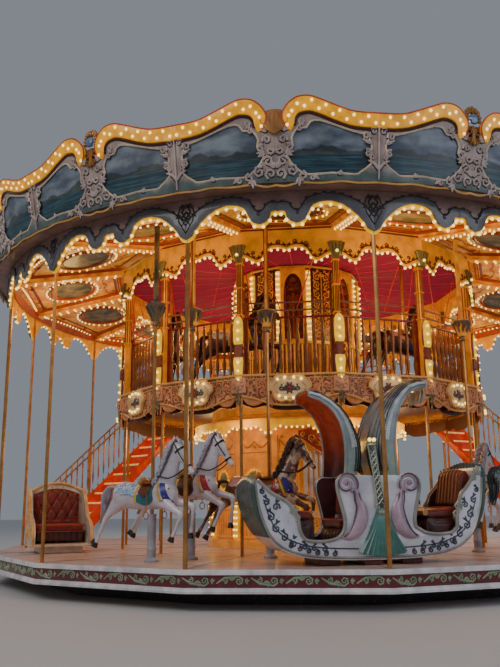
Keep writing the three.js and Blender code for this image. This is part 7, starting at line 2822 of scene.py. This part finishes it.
class CAROUSEL_OT_lower_core(bpy.types.Operator):
    """Builds the machinery housing with its header, medallions and organ"""

    bl_idname = "carousel.lower_core"
    bl_label = "Lower core"

    def execute(self, context):
        build_lower_core(settings()[0])
        return {"FINISHED"}


class CAROUSEL_OT_platform(bpy.types.Operator):
    """Builds the platform's edge and carved skirt"""

    bl_idname = "carousel.platform"
    bl_label = "Platform"

    def execute(self, context):
        build_platform()
        return {"FINISHED"}


class CAROUSEL_OT_stairs(bpy.types.Operator):
    """Builds the two stairs with their balusters and handrails"""

    bl_idname = "carousel.stairs"
    bl_label = "Stairs"

    def execute(self, context):
        build_stairs()
        return {"FINISHED"}


class CAROUSEL_OT_horses(bpy.types.Operator):
    """Builds the horse and stands a dressed copy at each place"""

    bl_idname = "carousel.horses"
    bl_label = "Horses"

    def execute(self, context):
        build_horses()
        return {"FINISHED"}


class CAROUSEL_OT_poles(bpy.types.Operator):
    """Builds the cups and sleeves of the horses' poles"""

    bl_idname = "carousel.poles"
    bl_label = "Poles"

    def execute(self, context):
        build_poles()
        return {"FINISHED"}


class CAROUSEL_OT_sleigh(bpy.types.Operator):
    """Builds the sleigh with its two hoods"""

    bl_idname = "carousel.sleigh"
    bl_label = "Sleigh"

    def execute(self, context):
        build_sleigh(settings()[0])
        return {"FINISHED"}


class CAROUSEL_OT_carriages(bpy.types.Operator):
    """Builds the two low carriages"""

    bl_idname = "carousel.carriages"
    bl_label = "Carriages"

    def execute(self, context):
        build_carriages()
        return {"FINISHED"}


class CAROUSEL_OT_sleigh_seats(bpy.types.Operator):
    """Builds the sleigh's stuffed leather seats"""

    bl_idname = "carousel.sleigh_seats"
    bl_label = "Sleigh seats"

    def execute(self, context):
        build_sleigh_seats()
        return {"FINISHED"}


class CAROUSEL_OT_carriage_seats(bpy.types.Operator):
    """Builds the carriages' tufted seats"""

    bl_idname = "carousel.carriage_seats"
    bl_label = "Carriage seats"

    def execute(self, context):
        build_carriage_seats()
        return {"FINISHED"}


OPERATORS = (
    CAROUSEL_OT_stage,
    CAROUSEL_OT_finishes,
    CAROUSEL_OT_cornice,
    CAROUSEL_OT_valance,
    CAROUSEL_OT_ceilings,
    CAROUSEL_OT_cloths,
    CAROUSEL_OT_inner_valance,
    CAROUSEL_OT_columns,
    CAROUSEL_OT_railings,
    CAROUSEL_OT_fascia,
    CAROUSEL_OT_upper_core,
    CAROUSEL_OT_lower_core,
    CAROUSEL_OT_platform,
    CAROUSEL_OT_stairs,
    CAROUSEL_OT_horses,
    CAROUSEL_OT_poles,
    CAROUSEL_OT_sleigh,
    CAROUSEL_OT_carriages,
    CAROUSEL_OT_sleigh_seats,
    CAROUSEL_OT_carriage_seats,
)


class CAROUSEL_PT_panel(bpy.types.Panel):
    bl_label = "Carousel"
    bl_idname = "CAROUSEL_PT_panel"
    bl_space_type = "VIEW_3D"
    bl_region_type = "UI"
    bl_category = "Carousel"

    def draw(self, context):
        for group_of in (context.scene.carousel_sizes, context.scene.carousel_colours):
            for key in group_of.__annotations__:
                self.layout.prop(group_of, key)
        for operator in OPERATORS:
            self.layout.operator(operator.bl_idname)


CLASSES = (CarouselSizes, CarouselColours, *OPERATORS, CAROUSEL_PT_panel)


def register():
    for one in CLASSES:
        bpy.utils.register_class(one)
    bpy.types.Scene.carousel_sizes = bpy.props.PointerProperty(type=CarouselSizes)
    bpy.types.Scene.carousel_colours = bpy.props.PointerProperty(type=CarouselColours)


def unregister():
    del bpy.types.Scene.carousel_sizes
    del bpy.types.Scene.carousel_colours
    for one in reversed(CLASSES):
        bpy.utils.unregister_class(one)


def main():
    register()
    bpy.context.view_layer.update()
    for operator in OPERATORS:
        kind, name = operator.bl_idname.split(".")
        getattr(getattr(bpy.ops, kind), name)()


if __name__ == "__main__":
    main()
